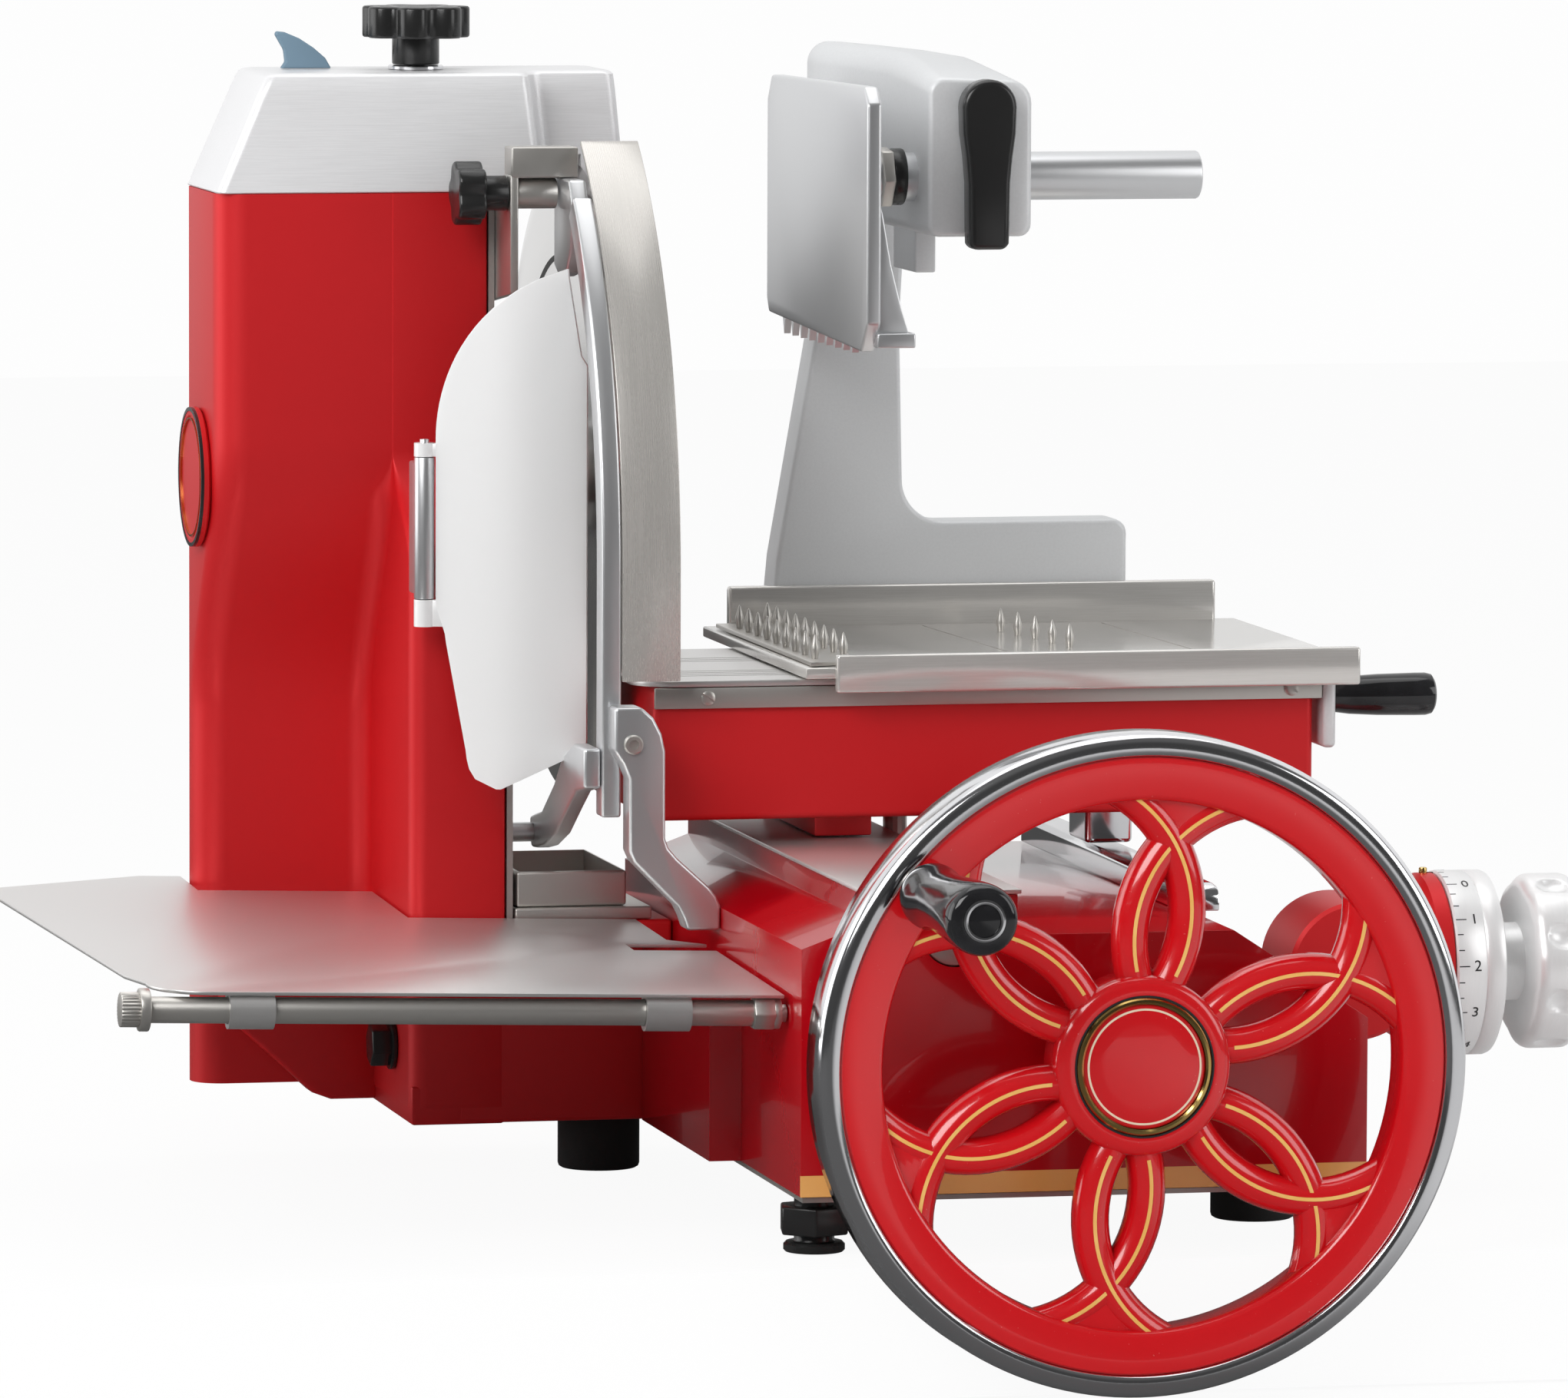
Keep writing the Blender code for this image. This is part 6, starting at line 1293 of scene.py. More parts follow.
@dataclass
class BladeUnit:
    """The blade, its guard and the white cover in front of it."""

    centre: Point = (298.0, 285.0)
    radius: float = 132.5
    left_face: float = -42.0
    right_face: float = -39.0
    guard_centre: Point = (353.0, 257.0)
    guard_radius: float = 210.0
    guard_knob: Point = (238.5, 406.0)
    hinge: Point = (-117.0, 209.0)
    cover_turn: float = -19.3
    screws: int = 4

    def build(self) -> None:
        """Build the blade, the guard and the cover."""
        right, left, radius = self.right_face, self.left_face, self.radius
        blade = Shape.spun("blade_disc", [
            (0.0, right), (radius - 22.0, right), (radius - 21.0, right - 0.15),
            (radius, right - 0.25), (radius - 0.1, right - 0.4), (radius - 11.0, left + 0.1),
            (radius - 40.0, left), (radius - 42.0, left + 0.8), (0.0, left + 0.8)],
            Axis.X, (0.0, *self.centre), 180)
        blade.dress(PALETTE.blade, "blade", "blade", angle=20)
        for index in range(self.screws):
            angle = TURN * index / self.screws + 0.5
            place = (right, self.centre[0] + 21 * math.cos(angle), self.centre[1] + 21 * math.sin(angle))
            screw(f"blade_screw_{index}", 4.0, 0.6, Axis.X, place).dress(PALETTE.rod, "blade")
        self._guard()
        self._arm()
        self._brace()
        self._cover()

    def _strip(self, outer: float, inner: float, foot: float, top: float, count: int) -> list[Point]:
        """Return the outline of the guard's curve between two radii."""
        edges = []
        for radius in (outer, inner):
            edge = arc(self.guard_centre, radius, top, 180.0, count)
            edge.append((self.guard_centre[0] - radius, foot))
            edges.append(edge)
        return edges[0] + edges[1][::-1]

    def _guard(self) -> None:
        """Build the steel band and the cast frame behind it."""
        outer = self.guard_radius
        band = Shape.prism("band", self._strip(outer, outer - 1.8, 213.0, 125.7, 72),
                           -48.0, -24.0, Axis.X).bevel(0.35, 2, 50)
        band.dress(PALETTE.band, "frame", "guard_band", angle=40)
        frame = Shape.prism("guard_casting", self._strip(outer - 0.5, outer - 13.0, 158.0, 134.7, 64),
                            -56.3, -48.3, Axis.X)
        frame.bevel(1.2, 3, 50)
        lug = Shape.prism("guard_lug", [
            (206.0, 398.2), (212.0, 384.0), (222.0, 374.0), (236.0, 371.6), (246.2, 376.0),
            (246.2, 412.2), (216.0, 412.2)], -55.9, -48.7, Axis.X).bevel(1.2, 3)
        frame.gather(lug).dress(PALETTE.satin, "frame", "guard_frame", angle=40)

    def _arm(self) -> None:
        """Build the arm, star knob, rod and link that hold the guard."""
        top = Shape.box("guard_bracket", (-76.5, 231.5, 412.5), (-48.6, 247.0, 425.0)).bevel(0.8, 3)
        leg = Shape.prism("guard_leg", [
            (231.9, 365.0), (283.0, 359.0), (283.0, 399.0), (261.0, 399.0), (246.5, 413.5),
            (231.9, 413.5)], -76.9, -73.5, Axis.X).bevel(0.6, 2)
        spacer = Shape.rod("guard_spacer", 6.3, -74.5, -56.6, Axis.X, (0, 239.5, 405.8), 0.6)
        top.gather(leg, spacer).dress(PALETTE.brushed, "frame", "guard_arm")
        star = Column.star_knob("guard_star", self.guard_knob, 13.3, -99.2, -87.2, Axis.X, 5)
        stem = Shape.spun("guard_stem", [
            (0.0, -88.0), (7.2, -88.0), (7.2, -77.8), (6.6, -77.2), (3.0, -77.2), (3.0, -73.3),
            (0.0, -73.3)], Axis.X, (0, *self.guard_knob), 40)
        star.gather(stem).dress(PALETTE.black, "guard_knob", "guard_knob", angle=50)
        rod = Shape.rod("guard_rod", 4.0, -76.9, -62.6, Axis.X, (0, 250, 141.5), 0.4)
        link = Shape.prism("guard_hook", [
            (244, 135.5), (253, 134.8), (256, 138.5), (256, 147.5), (246, 149.5), (232, 152.0),
            (206, 166.0), (190, 178.0), (183, 180.5), (167, 186.0), (144, 186.0), (144, 170.0),
            (162, 167.0), (180, 158.0), (205, 145.0), (228, 138.0)],
            -63.6, -56.6, Axis.X).bevel(1.3, 3)
        link.gather(rod).dress(PALETTE.satin, "frame", "guard_link")

    @staticmethod
    def _brace() -> None:
        """Build the curved arm from the base to the guard's foot."""
        outline = [
            (-54.0, 204.0), (-43.0, 204.0), (-38.0, 199.5), (-34.6, 193.0), (-33.0, 186.0),
            (-33.0, 150.5), (-31.6, 146.6), (-28.0, 142.4), (-15.0, 130.6), (-12.0, 126.8),
            (-10.3, 123.0), (-10.3, 113.0), (-24.0, 113.0), (-25.6, 118.0), (-28.0, 122.8),
            (-46.0, 141.0), (-48.0, 145.5), (-48.0, 175.0), (-50.6, 181.0), (-54.0, 186.0)]
        brace = Shape.prism("brace", outline, 128.7, 142.7, Axis.Y).bevel(1.5, 4, 30)
        brace.dress(PALETTE.satin, "frame", "deflector_brace", angle=45)
        bolt = Shape.spun("brace_bolt", [
            (0.0, 128.9), (4.0, 128.9), (4.0, 127.6), (3.4, 127.0), (2.0, 126.9), (2.0, 127.8),
            (0.0, 127.8)], Axis.Y, (-46.5, 0, 189), 32)
        bolt.dress(PALETTE.rod, "frame")

    def _cover(self) -> None:
        """Build the bowed white cover, its barrel hinge and the hinge's pin."""
        count, rows = 22, 54
        low, high = 165.5, 377.5
        front, rear = [], []
        for row in range(rows + 1):
            z = low + (high - low) * row / rows
            near, far = self._cover_edges(z)
            line = []
            for index in range(count + 1):
                s = near + (far - near) * index / count
                bow = 7.0 * math.sin(math.pi * max(0.0, min(1.0, (s - 5.0) / 62.0)))
                line.append((s, -bow, z))
            front.append(line)
            rear.append([(s, y + 4.0, height) for s, y, height in reversed(line)])
        angle = math.radians(self.cover_turn)
        sections = []
        for ahead, behind in zip(front, rear):
            section = []
            for s, y, z in ahead + behind:
                y -= 2.0
                section.append((self.hinge[0] + s * math.cos(angle) - y * math.sin(angle),
                                self.hinge[1] + s * math.sin(angle) + y * math.cos(angle), z))
            sections.append(section)
        plate = Shape.loft("cover_plate", sections).bevel(1.1, 3, 60)
        x, y = self.hinge
        spans = ((300.5, 306.0), (231.0, 242.0))
        knuckles = [Shape.spun("knuckle", [(2.1, z0), (4.2, z0), (4.2, z1), (2.1, z1)], Axis.Z,
                               (x, y, 0), 40, closed=True) for z0, z1 in spans]
        tabs = [Shape.box("tab", (0.5, -2.0, z0), (9.0, 1.6, z1)).bevel(0.6, 2)
                .turned(angle, Axis.Z, ORIGIN).moved(x, y, 0) for z0, z1 in spans]
        plate.gather(*knuckles, *tabs).dress(PALETTE.white, "blade_cover", "blade_cover", angle=40)
        barrel = Shape.rod("hinge_barrel", 4.2, 242.3, 300.2, Axis.Z, (x, y, 0), 0.5)
        leaf = Shape.box("hinge_leaf", (x - 4, y, 244), (x + 4, 221.7, 298)).bevel(0.8, 2)
        pin = Shape.rod("hinge_pin", 1.9, 233.5, 307.6, Axis.Z, (x, y, 0), 0.3, 24)
        barrel.gather(leaf, pin).dress(PALETTE.satin, "frame", "cover_hinge")

    @staticmethod
    def _cover_edges(z: float) -> tuple[float, float]:
        """Return the cover's left and right edge at a height, along its plane from the hinge."""
        if z > 307.5:
            reach = 72.5 ** 2 - min(72.5, z - 307.5) ** 2
            near = 77.5 - math.sqrt(max(0.0, reach))
        elif z > 242.0:
            near = 5.0
        elif z > 225.0:
            near = 5.0 + 4.5 * ease((242.0 - z) / 17.0)
        elif z > 179.0:
            near = 9.5 + 9.0 * ((225.0 - z) / 46.0)
        else:
            near = 18.5 + 12.5 * (1.0 - math.sqrt(max(0.0, 1.0 - ((179.0 - z) / 13.5) ** 2)))
        if z > 340.0:
            far = 65.0 - 5.5 * (z - 340.0) / 36.0
        elif z > 181.5:
            far = 67.0
        else:
            far = 32.0 + 35.0 * max(0.0, (z - 165.0) / 16.5)
        return near, max(far, near + 0.8)


@dataclass
class Tray:
    """The tilted slice tray on its rod, and the drip drawer on its shelf."""

    pivot: Place = (-10.3, 0.0, 101.8)
    roll: float = 1.58
    pitch: float = 1.43
    rod: float = 5.2
    drop: float = 1.4
    rod_y: float = 6.0
    rod_end: float = -254.7

    def _tilt(self, shape: Shape) -> Shape:
        """Turn a piece that was built level into the tray's plane."""
        roll = Matrix.Rotation(math.radians(self.roll), 4, "Y")
        pitch = Matrix.Rotation(math.radians(self.pitch), 4, "X")
        shape.piece.data.transform(Matrix.Translation(Vector(self.pivot) * MM) @ (roll @ pitch))
        return shape

    def build(self) -> None:
        """Build the tray, its rod, the drawer and the shelf."""
        z = -1.5 - self.drop - self.rod
        self._sheet(z)
        self._bar(z)
        shelf = Shape.box("shelf", (-76.2, 222.5, 107.5), (-19.0, 312.0, 112.7)).bevel(0.8, 3)
        shelf.dress(PALETTE.brushed, "frame", "drip_shelf")
        drawer = Shape.box("drawer", (-75.2, 225.5, 113.0), (-29.0, 308.0, 127.5)).bevel(1.2, 3)
        drawer.cut(Shape.box("inside", (-73.7, 227.0, 114.5), (-30.5, 306.5, 140.0)))
        drawer.dress(PALETTE.brushed, "drip_drawer", "drip_drawer")

    def _sheet(self, z: float) -> None:
        """Build the tray's sheet and the two collars that hold it on the rod.

        Args:
            z: The height of the rod's axis below the sheet's top.
        """
        outline = [
            (-2, 0), (-2, 126.5), (-36, 126.5), (-36, 145), (-2, 145), (-16, 158), (-16, 220.2),
            (-111.2, 220.2), (-111.2, 301), (-184.7, 301), (-184.7, 345), (-202.7, 345),
            (-274.7, 300), (-257.7, 45)]
        outline += arc((-230.7, 22), 22.0, 172.0, 270.0, 12)
        sheet = Shape.prism("tray_sheet", outline, -1.5, 0.0, Axis.Z).bevel(0.4, 2, 50)
        inner, outer = self.rod + 0.3, self.rod + 2.2
        for place in (-48.0, -214.0):
            near, far = place - 9, place + 9
            collar = Shape.spun("collar", [(inner, near), (outer, near), (outer, far), (inner, far)],
                                Axis.X, (0, self.rod_y, z), 48, closed=True)
            pad = Shape.box("pad", (near, self.rod_y - 4, z + self.rod + 1.0),
                            (far, self.rod_y + 4, -1.2))
            sheet.gather(collar, pad)
        self._tilt(sheet).dress(PALETTE.mirror, "frame", "slice_tray")

    def _bar(self, z: float) -> None:
        """Build the rod with its nut and its knurled thumb nut.

        Args:
            z: The height of the rod's axis below the sheet's top.
        """
        at, end = (0, self.rod_y, z), self.rod_end
        bar = Shape.rod("tray_bar", self.rod, end, -12.5, Axis.X, at, 0.5)
        nut = Shape.prism("tray_nut", hexagon((self.rod_y, z), 12.2), -13.5, -5.0, Axis.X)
        nut.bevel(0.6, 2)
        washer = Shape.rod("tray_washer", 6.2, -5.4, -2.5, Axis.X, at, 0.3)
        stud = Shape.rod("tray_stud", 3.5, -3.0, -0.1, Axis.X, at, 0.2)
        self._tilt(bar.gather(nut, washer, stud)).dress(PALETTE.rod, "frame", "tray_rod")
        points = lobes((self.rod_y, z), 6.9, 0.45, 28, 112)
        knurl = Shape.prism("tray_thumb_nut", points, end - 10.8, end - 3.2, Axis.X)
        knurl.bevel(0.35, 2, 60)
        flange = Shape.rod("thumb_flange", 8.5, end - 3.5, end + 0.6, Axis.X, at, 0.5)
        self._tilt(knurl.gather(flange)).dress(PALETTE.rod, "frame")


@dataclass
class Carriage:
    """The sliding carriage with its deck, strip, shoe and push handle."""

    left: float = -31.0
    right: float = 246.0
    front: float = 160.0
    back: float = 306.0
    floor: float = 154.0
    top: float = 208.5
    deck_left: float = -38.2
    grooves: tuple[float, ...] = (182.0, 189.0, 196.0, 203.0, 246.0, 253.0, 260.0)
    groove_wide: float = 1.6

    def build(self) -> None:
        """Build every piece of the carriage."""
        front = self.front + 2.3
        box = Shape.box("carriage_box", (self.left, front, self.floor),
                        (self.right, self.back, self.top)).bevel(3.0, 5)
        inside = Shape.box("inside", (self.left + 4, front + 4, self.floor - 10),
                           (self.right - 4, self.back - 4, self.top - 6))
        runner = Shape.box("runner", (40, 180, 144.9), (64, 280, self.top - 4)).bevel(0.8, 2)
        box.cut(inside).gather(runner)
        box.dress(PALETTE.red, "carriage", "carriage_casting", angle=28)
        self._deck()
        strip = Shape.box("front_strip", (self.left, self.front, 200.0),
                          (self.right + 3, self.front + 2, self.top)).bevel(0.4, 2)
        strip.dress(PALETTE.brushed, "carriage", "carriage_strip")
        for index, x in enumerate((-9.0, 236.0)):
            head = screw(f"strip_screw_{index}", 3.0, 0.9, Axis.Y, (x, self.front, 204.3), -1.0)
            head.dress(PALETTE.rod, "carriage")
        shoe = Shape.box("chrome_shoe", (158, 195, 138.1), (178, 225, 202.2)).bevel(2.0, 4)
        shoe.dress(PALETTE.chrome, "carriage", "rail_shoe")
        self._handle()

    def _deck(self) -> None:
        """Build the grooved deck plate."""
        left, rear = self.deck_left, self.back - 2
        outline = arc((left + 18, self.front + 18), 18.0, 180.0, 270.0, 12)
        outline += [(self.right, self.front), (self.right, rear), (left, rear)]
        deck = Shape.prism("deck_plate", outline, 208.8, 211.3, Axis.Z).bevel(0.5, 2, 60)
        for index, place in enumerate(self.grooves):
            groove = Shape.box(f"groove_{index}", (left - 5, place, 210.5),
                               (self.right + 5, place + self.groove_wide, 213.0))
            deck.cut(groove)
        deck.dress(PALETTE.mirror, "carriage", "carriage_deck")

    def _handle(self) -> None:
        """Build the black push handle on its grey lever."""
        x, y, z = self.right + 3.3, 172.0, 200.0
        lever = Shape.prism("push_lever", [
            (y - 13, 179.5), (y + 13, 179.5), (y + 13, 208.0), (y - 13, 208.0)], x, x + 5.5, Axis.X)
        lever.bevel(2.0, 4).dress(PALETTE.cast, "push_handle", "push_handle")
        grip = Shape.spun("push_grip", shifted(
            x, (0.0, 5.0), (7.2, 5.0), (7.4, 6.0), (7.0, 8.0), (7.8, 14.0), (8.5, 26.0), (8.8, 42.0),
            (8.8, 46.6), (8.2, 49.0), (6.8, 50.0), (0.0, 50.0)), Axis.X, (0, y, z), 64)
        grip.dress(PALETTE.gloss, "push_handle")


@dataclass
class MeatTable:
    """The meat table with its fence and spikes, and the press that stands on it."""

    left: float = 30.0
    right: float = 262.0
    front: float = 152.0
    back: float = 352.0
    top: float = 216.5
    thick: float = 4.5
    post_front: float = 352.3
    post_back: float = 374.3
    head_front: float = 225.0
    rod_at: Point = (250.0, 411.0)
    plate: float = 55.0
    plate_front: float = 154.0
    plate_back: float = 343.0
    teeth: int = 9

    def build(self) -> None:
        """Build the table and the press."""
        low = self.top - self.thick
        plate = Shape.box("table_top", (self.left, self.front, low),
                          (self.right, self.back, self.top)).bevel(0.7, 3)
        line = Shape.box("engraved_line", (204, 165, self.top - 0.5), (205, 340, self.top + 1))
        line.turned(0.05, Axis.Z, (204, 250, 0))
        plate.cut(line, line.copy("engraved_line_2").moved(-78.0, 0, 0))
        apron = Shape.box("apron", (self.left + 12, self.front - 4.5, self.top - 10),
                          (self.right, self.front + 1, self.top + 5.5)).bevel(1.2, 3)
        fence = Shape.box("fence", (self.left + 10, self.back - 6.4, low + 0.4),
                          (self.right - 10, self.back - 0.4, self.top + 17)).bevel(1.4, 4)
        plate.gather(apron, fence).dress(PALETTE.table, "meat_table", "meat_table")
        self._spikes()
        self._arm()
        self._press()
        self._lever()

    def _spikes(self) -> None:
        """Build the spiked plate and the row of five spikes."""
        z = self.top + 0.3
        left, rear = self.left + 3, self.back - 12
        bed = Shape.prism("spike_bed", [
            (left, self.front + 4), (self.left + 26, self.front + 10), (self.left + 30, rear),
            (left, rear)], z, z + 1.8, Axis.Z).bevel(0.4, 2)
        pattern = Shape.spun("spike", [
            (0.0, -1.0), (1.0, -1.0), (1.3, 0.0), (1.9, 3.2), (1.9, 4.6), (1.2, 7.0), (0.5, 9.3),
            (0.0, 10.0)], Axis.Z, ORIGIN, 12)
        spikes = []
        for row, shift in enumerate((8.0, 22.0)):
            for index in range(9):
                y = self.front + 20 + row * 9 + index * 18.0
                spike = pattern.copy(f"spike_{row}_{index}")
                spikes.append(spike.moved(self.left + shift, y, z + 1.8))
        bed.gather(*spikes).dress(PALETTE.rod, "meat_table", "spike_plate")
        row = [pattern.copy(f"row_spike_{index}").moved(148.0 + index * 2.7, 305.0 - index * 19.3,
                                                        self.top) for index in range(5)]
        bpy.data.objects.remove(pattern.piece)
        first = row[0]
        first.gather(*row[1:])
        first.piece.name = "spike_row"
        first.dress(PALETTE.rod, "meat_table")

    def _arm(self) -> None:
        """Build the press's post and head."""
        low = self.top - self.thick
        fillet = arc((134.5, 277.5), 18.0, 270.0, 180.0, 14)
        outline = [(60.0, low), (209.0, low), (212.6, 214.6), (214.5, 222.0), (214.5, 250.0)]
        outline += arc((208.0, 252.6), 7.0, 0.0, 88.0, 6)[1:] + fillet
        outline += [(116.0, 300.0), (115.0, 345.0), (118.0, 400.0), (86.0, 400.0), (79.0, 343.0),
                    (62.0, 245.0), (60.3, 226.0)]
        post = Shape.prism("press_post", outline, self.post_front, self.post_back, Axis.Y).bevel(2.6, 4, 20)
        stations = [
            (225.0, (98.0, 140.0, 388.0, 452.0), (5.0, 10.0)),
            (227.0, (97.0, 141.0, 387.2, 453.0), (5.0, 11.0)),
            (255.0, (96.0, 139.5, 387.5, 457.0), (5.0, 14.0)),
            (285.0, (94.5, 137.0, 388.0, 461.0), (5.0, 16.0)),
            (320.0, (86.0, 128.0, 390.0, 462.5), (5.0, 16.0)),
            (352.0, (79.0, 120.0, 392.5, 463.0), (6.0, 16.0)),
            (368.0, (77.8, 118.6, 394.0, 462.6), (6.0, 15.0)),
            (374.3, (79.4, 116.6, 396.0, 460.6), (6.0, 14.0)),
        ]
        sections = []
        for y, (x0, x1, z0, z1), (under, crown) in stations:
            side, top = crown * 0.9, crown * 0.6
            outline = arc((x0 + under, z0 + under), under, 180.0, 270.0, 6)
            outline += arc((x1 - under, z0 + under), under, 270.0, 360.0, 6)
            outline += arc((x1 - side, z1 - crown), side, 0.0, 90.0, 8)
            outline += arc((x0 + top, z1 - top), top, 90.0, 180.0, 8)
            sections.append([(x, y, z) for x, z in outline])
        head = Shape.loft("press_head", sections).bevel(1.4, 3, 50)
        tab = Shape.box("stop_tab", (102, 270, 370), (111, 310, 391)).bevel(1.0, 3)
        post.gather(head, tab)
        post.dress(PALETTE.cast, "meat_table", "press_arm", angle=40)

    def _press(self) -> None:
        """Build the sliding rod and the toothed press plate."""
        at, x = (0.0, *self.rod_at), self.plate
        rod = Shape.spun("press_bar", [
            (0.0, x + 6.3), (10.0, x + 6.3), (10.0, 216.8), (9.6, 217.6), (8.8, 218.0), (0.0, 218.0)],
            Axis.X, at, 72)
        rod.dress(PALETTE.satin, "press", "press_rod")
        nut = Shape.prism("press_nut", hexagon(self.rod_at, 23.0, 6.0), 81.5, 86.5, Axis.X)
        nut.bevel(0.7, 3).dress(PALETTE.rod, "press")
        collar = Shape.rod("press_collar", 11.8, 86.2, 92.0, Axis.X, at, 1.0)
        collar.dress(PALETTE.black, "press")
        y0, y1 = self.plate_front, self.plate_back
        outline = [
            (y0, 356.0), (y0 + 12, 344.0), (y1 - 4, 350.0), (y1, 356.0), (y1, 440.0),
            (y1 - 8, 450.0), (y0 + 7, 452.0), (y0, 445.0)]
        face = Shape.prism("press_face", outline, x, x + 6.0, Axis.X).bevel(1.2, 3)
        rib = Shape.box("press_rib", (x + 5, y0 + 2, 346.0), (x + 21, y1 - 10, 352.0)).bevel(0.8, 3)
        web = Shape.prism("press_web", [
            (x + 5, 350), (x + 19, 350), (x + 15.5, 362), (x + 11, 380), (x + 7.6, 400), (x + 5, 410)],
            y0 + 4, y0 + 9, Axis.Y).bevel(0.6, 2)
        boss = Shape.rod("press_boss", 13.0, x + 5, x + 12, Axis.X, at, 0.8)
        teeth = []
        for index in range(self.teeth):
            y = y0 + 30 + index * 16.0
            tooth = [(y - 2.6, 349.5), (y + 2.6, 349.5), (y, 342.6)]
            teeth.append(Shape.prism(f"tooth_{index}", tooth, x + 0.8, x + 3.6, Axis.X))
        face.gather(rib, web, boss, *teeth).dress(PALETTE.satin, "press", "press_plate")

    def _lever(self) -> None:
        """Build the black clamping lever."""
        outline = arc((120.0, 441.0), 11.5, 0, 180, 18)
        outline += [
            (108.9, 430.0), (110.2, 421.0), (111.2, 410.0), (111.4, 392.0), (111.6, 385.0),
            (113.0, 382.5), (127.0, 382.5), (128.4, 385.0), (128.6, 392.0), (128.8, 410.0),
            (129.8, 421.0), (131.1, 430.0)]
        lever = Shape.prism("press_lever", outline, self.head_front - 14, self.head_front - 2, Axis.Y)
        lever.bevel(2.4, 4, 50).dress(PALETTE.black, "clamp_lever", "clamp_lever", angle=50)


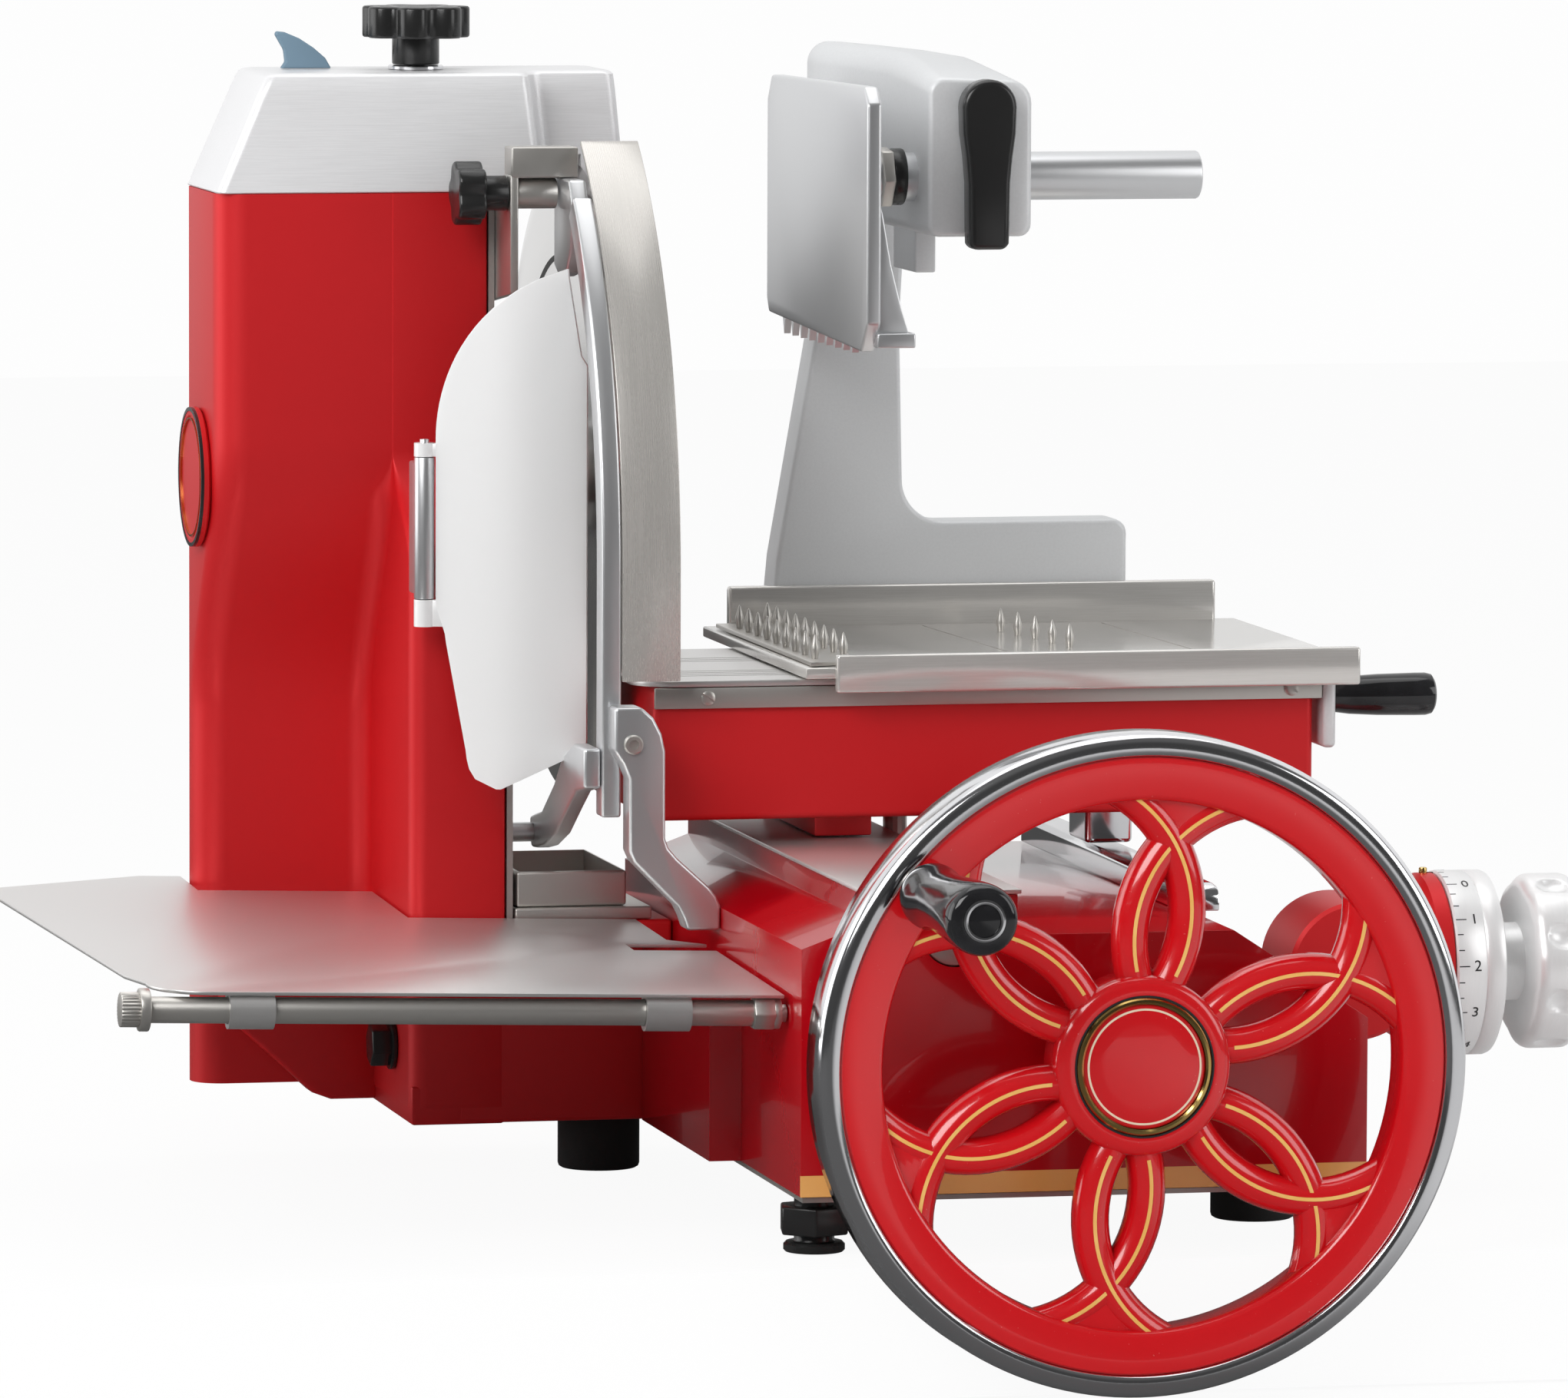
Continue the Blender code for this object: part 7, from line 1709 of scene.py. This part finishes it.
@dataclass
class ThicknessControl:
    """The housing, numbered dial and lobed knob that set the slice's thickness."""

    centre: Point = (140.0, 92.0)
    dial_left: float = 291.5
    dial_width: float = 21.5
    radius: float = 38.0
    knob: float = 36.0
    end: float = 351.0
    dimples: int = 8
    dimple_wide: float = 7.2
    dimple_deep: float = 9.0
    first_mark: float = 26.0
    ticks: int = 36
    numbers: int = 10
    figure: float = 6.4

    def build(self) -> None:
        """Build the housing, the dial and the knob."""
        self._housing()
        at, left = (0.0, *self.centre), self.dial_left
        right = left + self.dial_width
        dial = Shape.spun("dial_drum", [
            (0.0, left - 30), (6.0, left - 30), (6.0, left), (37.2, left), (38.0, left + 0.8),
            (38.0, left + 12.0), (37.4, left + 12.8), (38.0, left + 13.6), (38.0, right - 2.2),
            (37.4, right - 0.7), (35.8, right), (0.0, right)], Axis.X, at, 120)
        dial.dress(PALETTE.turned, "thickness_control", "thickness_dial", angle=40)
        self._marks()
        self._knob(right + 0.3)

    def _housing(self) -> None:
        """Build the housing with its flange, pin and index line."""
        left, (y, z) = self.dial_left, self.centre
        drum = Shape.spun("housing", [
            (0.0, y - 24), (27.0, y - 24), (28.5, y - 22.5), (28.5, y + 22.5), (27.0, y + 24),
            (0.0, y + 24)], Axis.Y, (253, 0, z), 72)
        neck = Shape.box("neck", (220.3, y - 18, z - 22), (242, y + 18, 86)).bevel(2.0, 3)
        flange = Shape.spun("flange", shifted(
            left, (0.0, -0.3), (36.5, -0.3), (37.4, -1.2), (37.2, -7.0), (35.0, -9.0), (28.0, -20.0),
            (26.0, -42.0), (0.0, -42.0)), Axis.X, (0.0, y, z), 96)
        drum.gather(neck, flange).dress(PALETTE.red, "frame", "dial_housing", angle=40)
        pin = Shape.rod("flange_pin", 1.7, z + 35.0, z + 39.6, Axis.Z, (left - 4.6, y, 0), 0.5, 24)
        pin.dress(PALETTE.brass, "frame")
        index = Shape.box("dial_index", (left - 3.4, y - 0.35, z + 36.8),
                          (left - 0.4, y + 0.35, z + 37.6))
        index.dress(PALETTE.ink, "frame")

    def _knob(self, start: float) -> None:
        """Build the knob's stem and its wheel with the dimples for the fingers.

        Args:
            start: Where the stem begins, along the axis.
        """
        at, end = (0.0, *self.centre), self.end
        stem = Shape.spun("knob_stem", shifted(
            start, (0.0, 0.0), (16.0, 0.0), (16.0, 13), (17.0, 15), (21.5, 16.5), (22.0, 19),
            (21.0, 24), (22.5, 28)) + [(25.0, end - 20), (0.0, end - 20)], Axis.X, at, 96)
        wheel = Shape.prism("knob_wheel", lobes(self.centre, self.knob, 1.2, self.dimples, 128),
                            end - 24.5, end - 1.0, Axis.X).bevel(5.5, 6, 60)
        steps = [math.radians(step * 15) for step in range(13)]
        profile = [(self.dimple_wide * math.sin(step), -self.dimple_deep * math.cos(step))
                   for step in steps]
        for index in range(self.dimples):
            dimple = Shape.spun("dimple", profile, Axis.X, ORIGIN, 32)
            dimple.moved(end - 12.8, 0, self.knob + 3.6)
            turn = TURN * (index + 0.5) / self.dimples
            wheel.cut(dimple.turned(turn, Axis.X, ORIGIN).moved(0, *self.centre))
        stem.gather(wheel).dress(PALETTE.turned, "thickness_control", "thickness_knob", angle=55)

    def _marks(self) -> None:
        """Lay the dial's numbers and ticks on it in black."""
        marks = []
        left = self.dial_left
        for index in range(self.ticks):
            end = left + (3.2 if index % 3 else 5.2)
            tick = Shape.box(f"tick_{index}", (left + 0.8, -0.22, self.radius - 0.2),
                             (end, 0.22, self.radius + 0.06))
            tick.turned(math.radians(self.first_mark + index * 360.0 / self.ticks), Axis.X, ORIGIN)
            marks.append(tick.moved(0, *self.centre))
        for number in range(self.numbers):
            bpy.ops.object.select_all(action="DESELECT")
            bpy.ops.object.text_add()
            text = bpy.context.active_object
            text.data.body = str(number)
            text.data.size = self.figure * MM
            text.data.align_x = "CENTER"
            text.data.align_y = "CENTER"
            text.data.extrude = 0.08 * MM
            bpy.ops.object.convert(target="MESH")
            shape = Shape(bpy.context.active_object).moved(left + 8.6, 0.0, self.radius)
            shape.turned(math.radians(self.first_mark + number * 30.0), Axis.X, ORIGIN)
            marks.append(shape.moved(0, *self.centre))
        first = marks[0]
        first.gather(*marks[1:])
        first.piece.name = "dial_marks"
        first.dress(PALETTE.ink, "thickness_control")


def dress_hidden(frame: dict) -> None:
    """Give each CAD node that stays in view its finish.
    """
    finishes = {
        PALETTE.rod: ("base_plate", "column_side_plate", "drive_pin", "cross_shaft",
                      "flywheel_shaft", "blade_shaft"),
        PALETTE.dark: ("bearing_block", "crank_gear", "crank_bearing", "connecting_rod",
                       "drive_chain", "sharpener_arm"),
        PALETTE.satin: ("blade_bearing",),
    }
    for finish, names in finishes.items():
        for name in names:
            mesh = frame["nodes"][name].data
            mesh.materials.clear()
            mesh.materials.append(finish.material())
            LOG.info("%s keeps its CAD shape", name)


def main() -> None:
    """Load the frame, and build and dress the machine."""
    logging.basicConfig(level=logging.INFO, format="%(name)s: %(message)s")
    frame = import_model()
    dress_hidden(frame)
    for part in (Studio(), Flywheel(), Base(), Column(), BladeUnit(), Tray(), Carriage(), MeatTable(),
                 ThicknessControl()):
        part.build()
        LOG.info("%s is built", type(part).__name__)


if __name__ == "__main__":
    main()
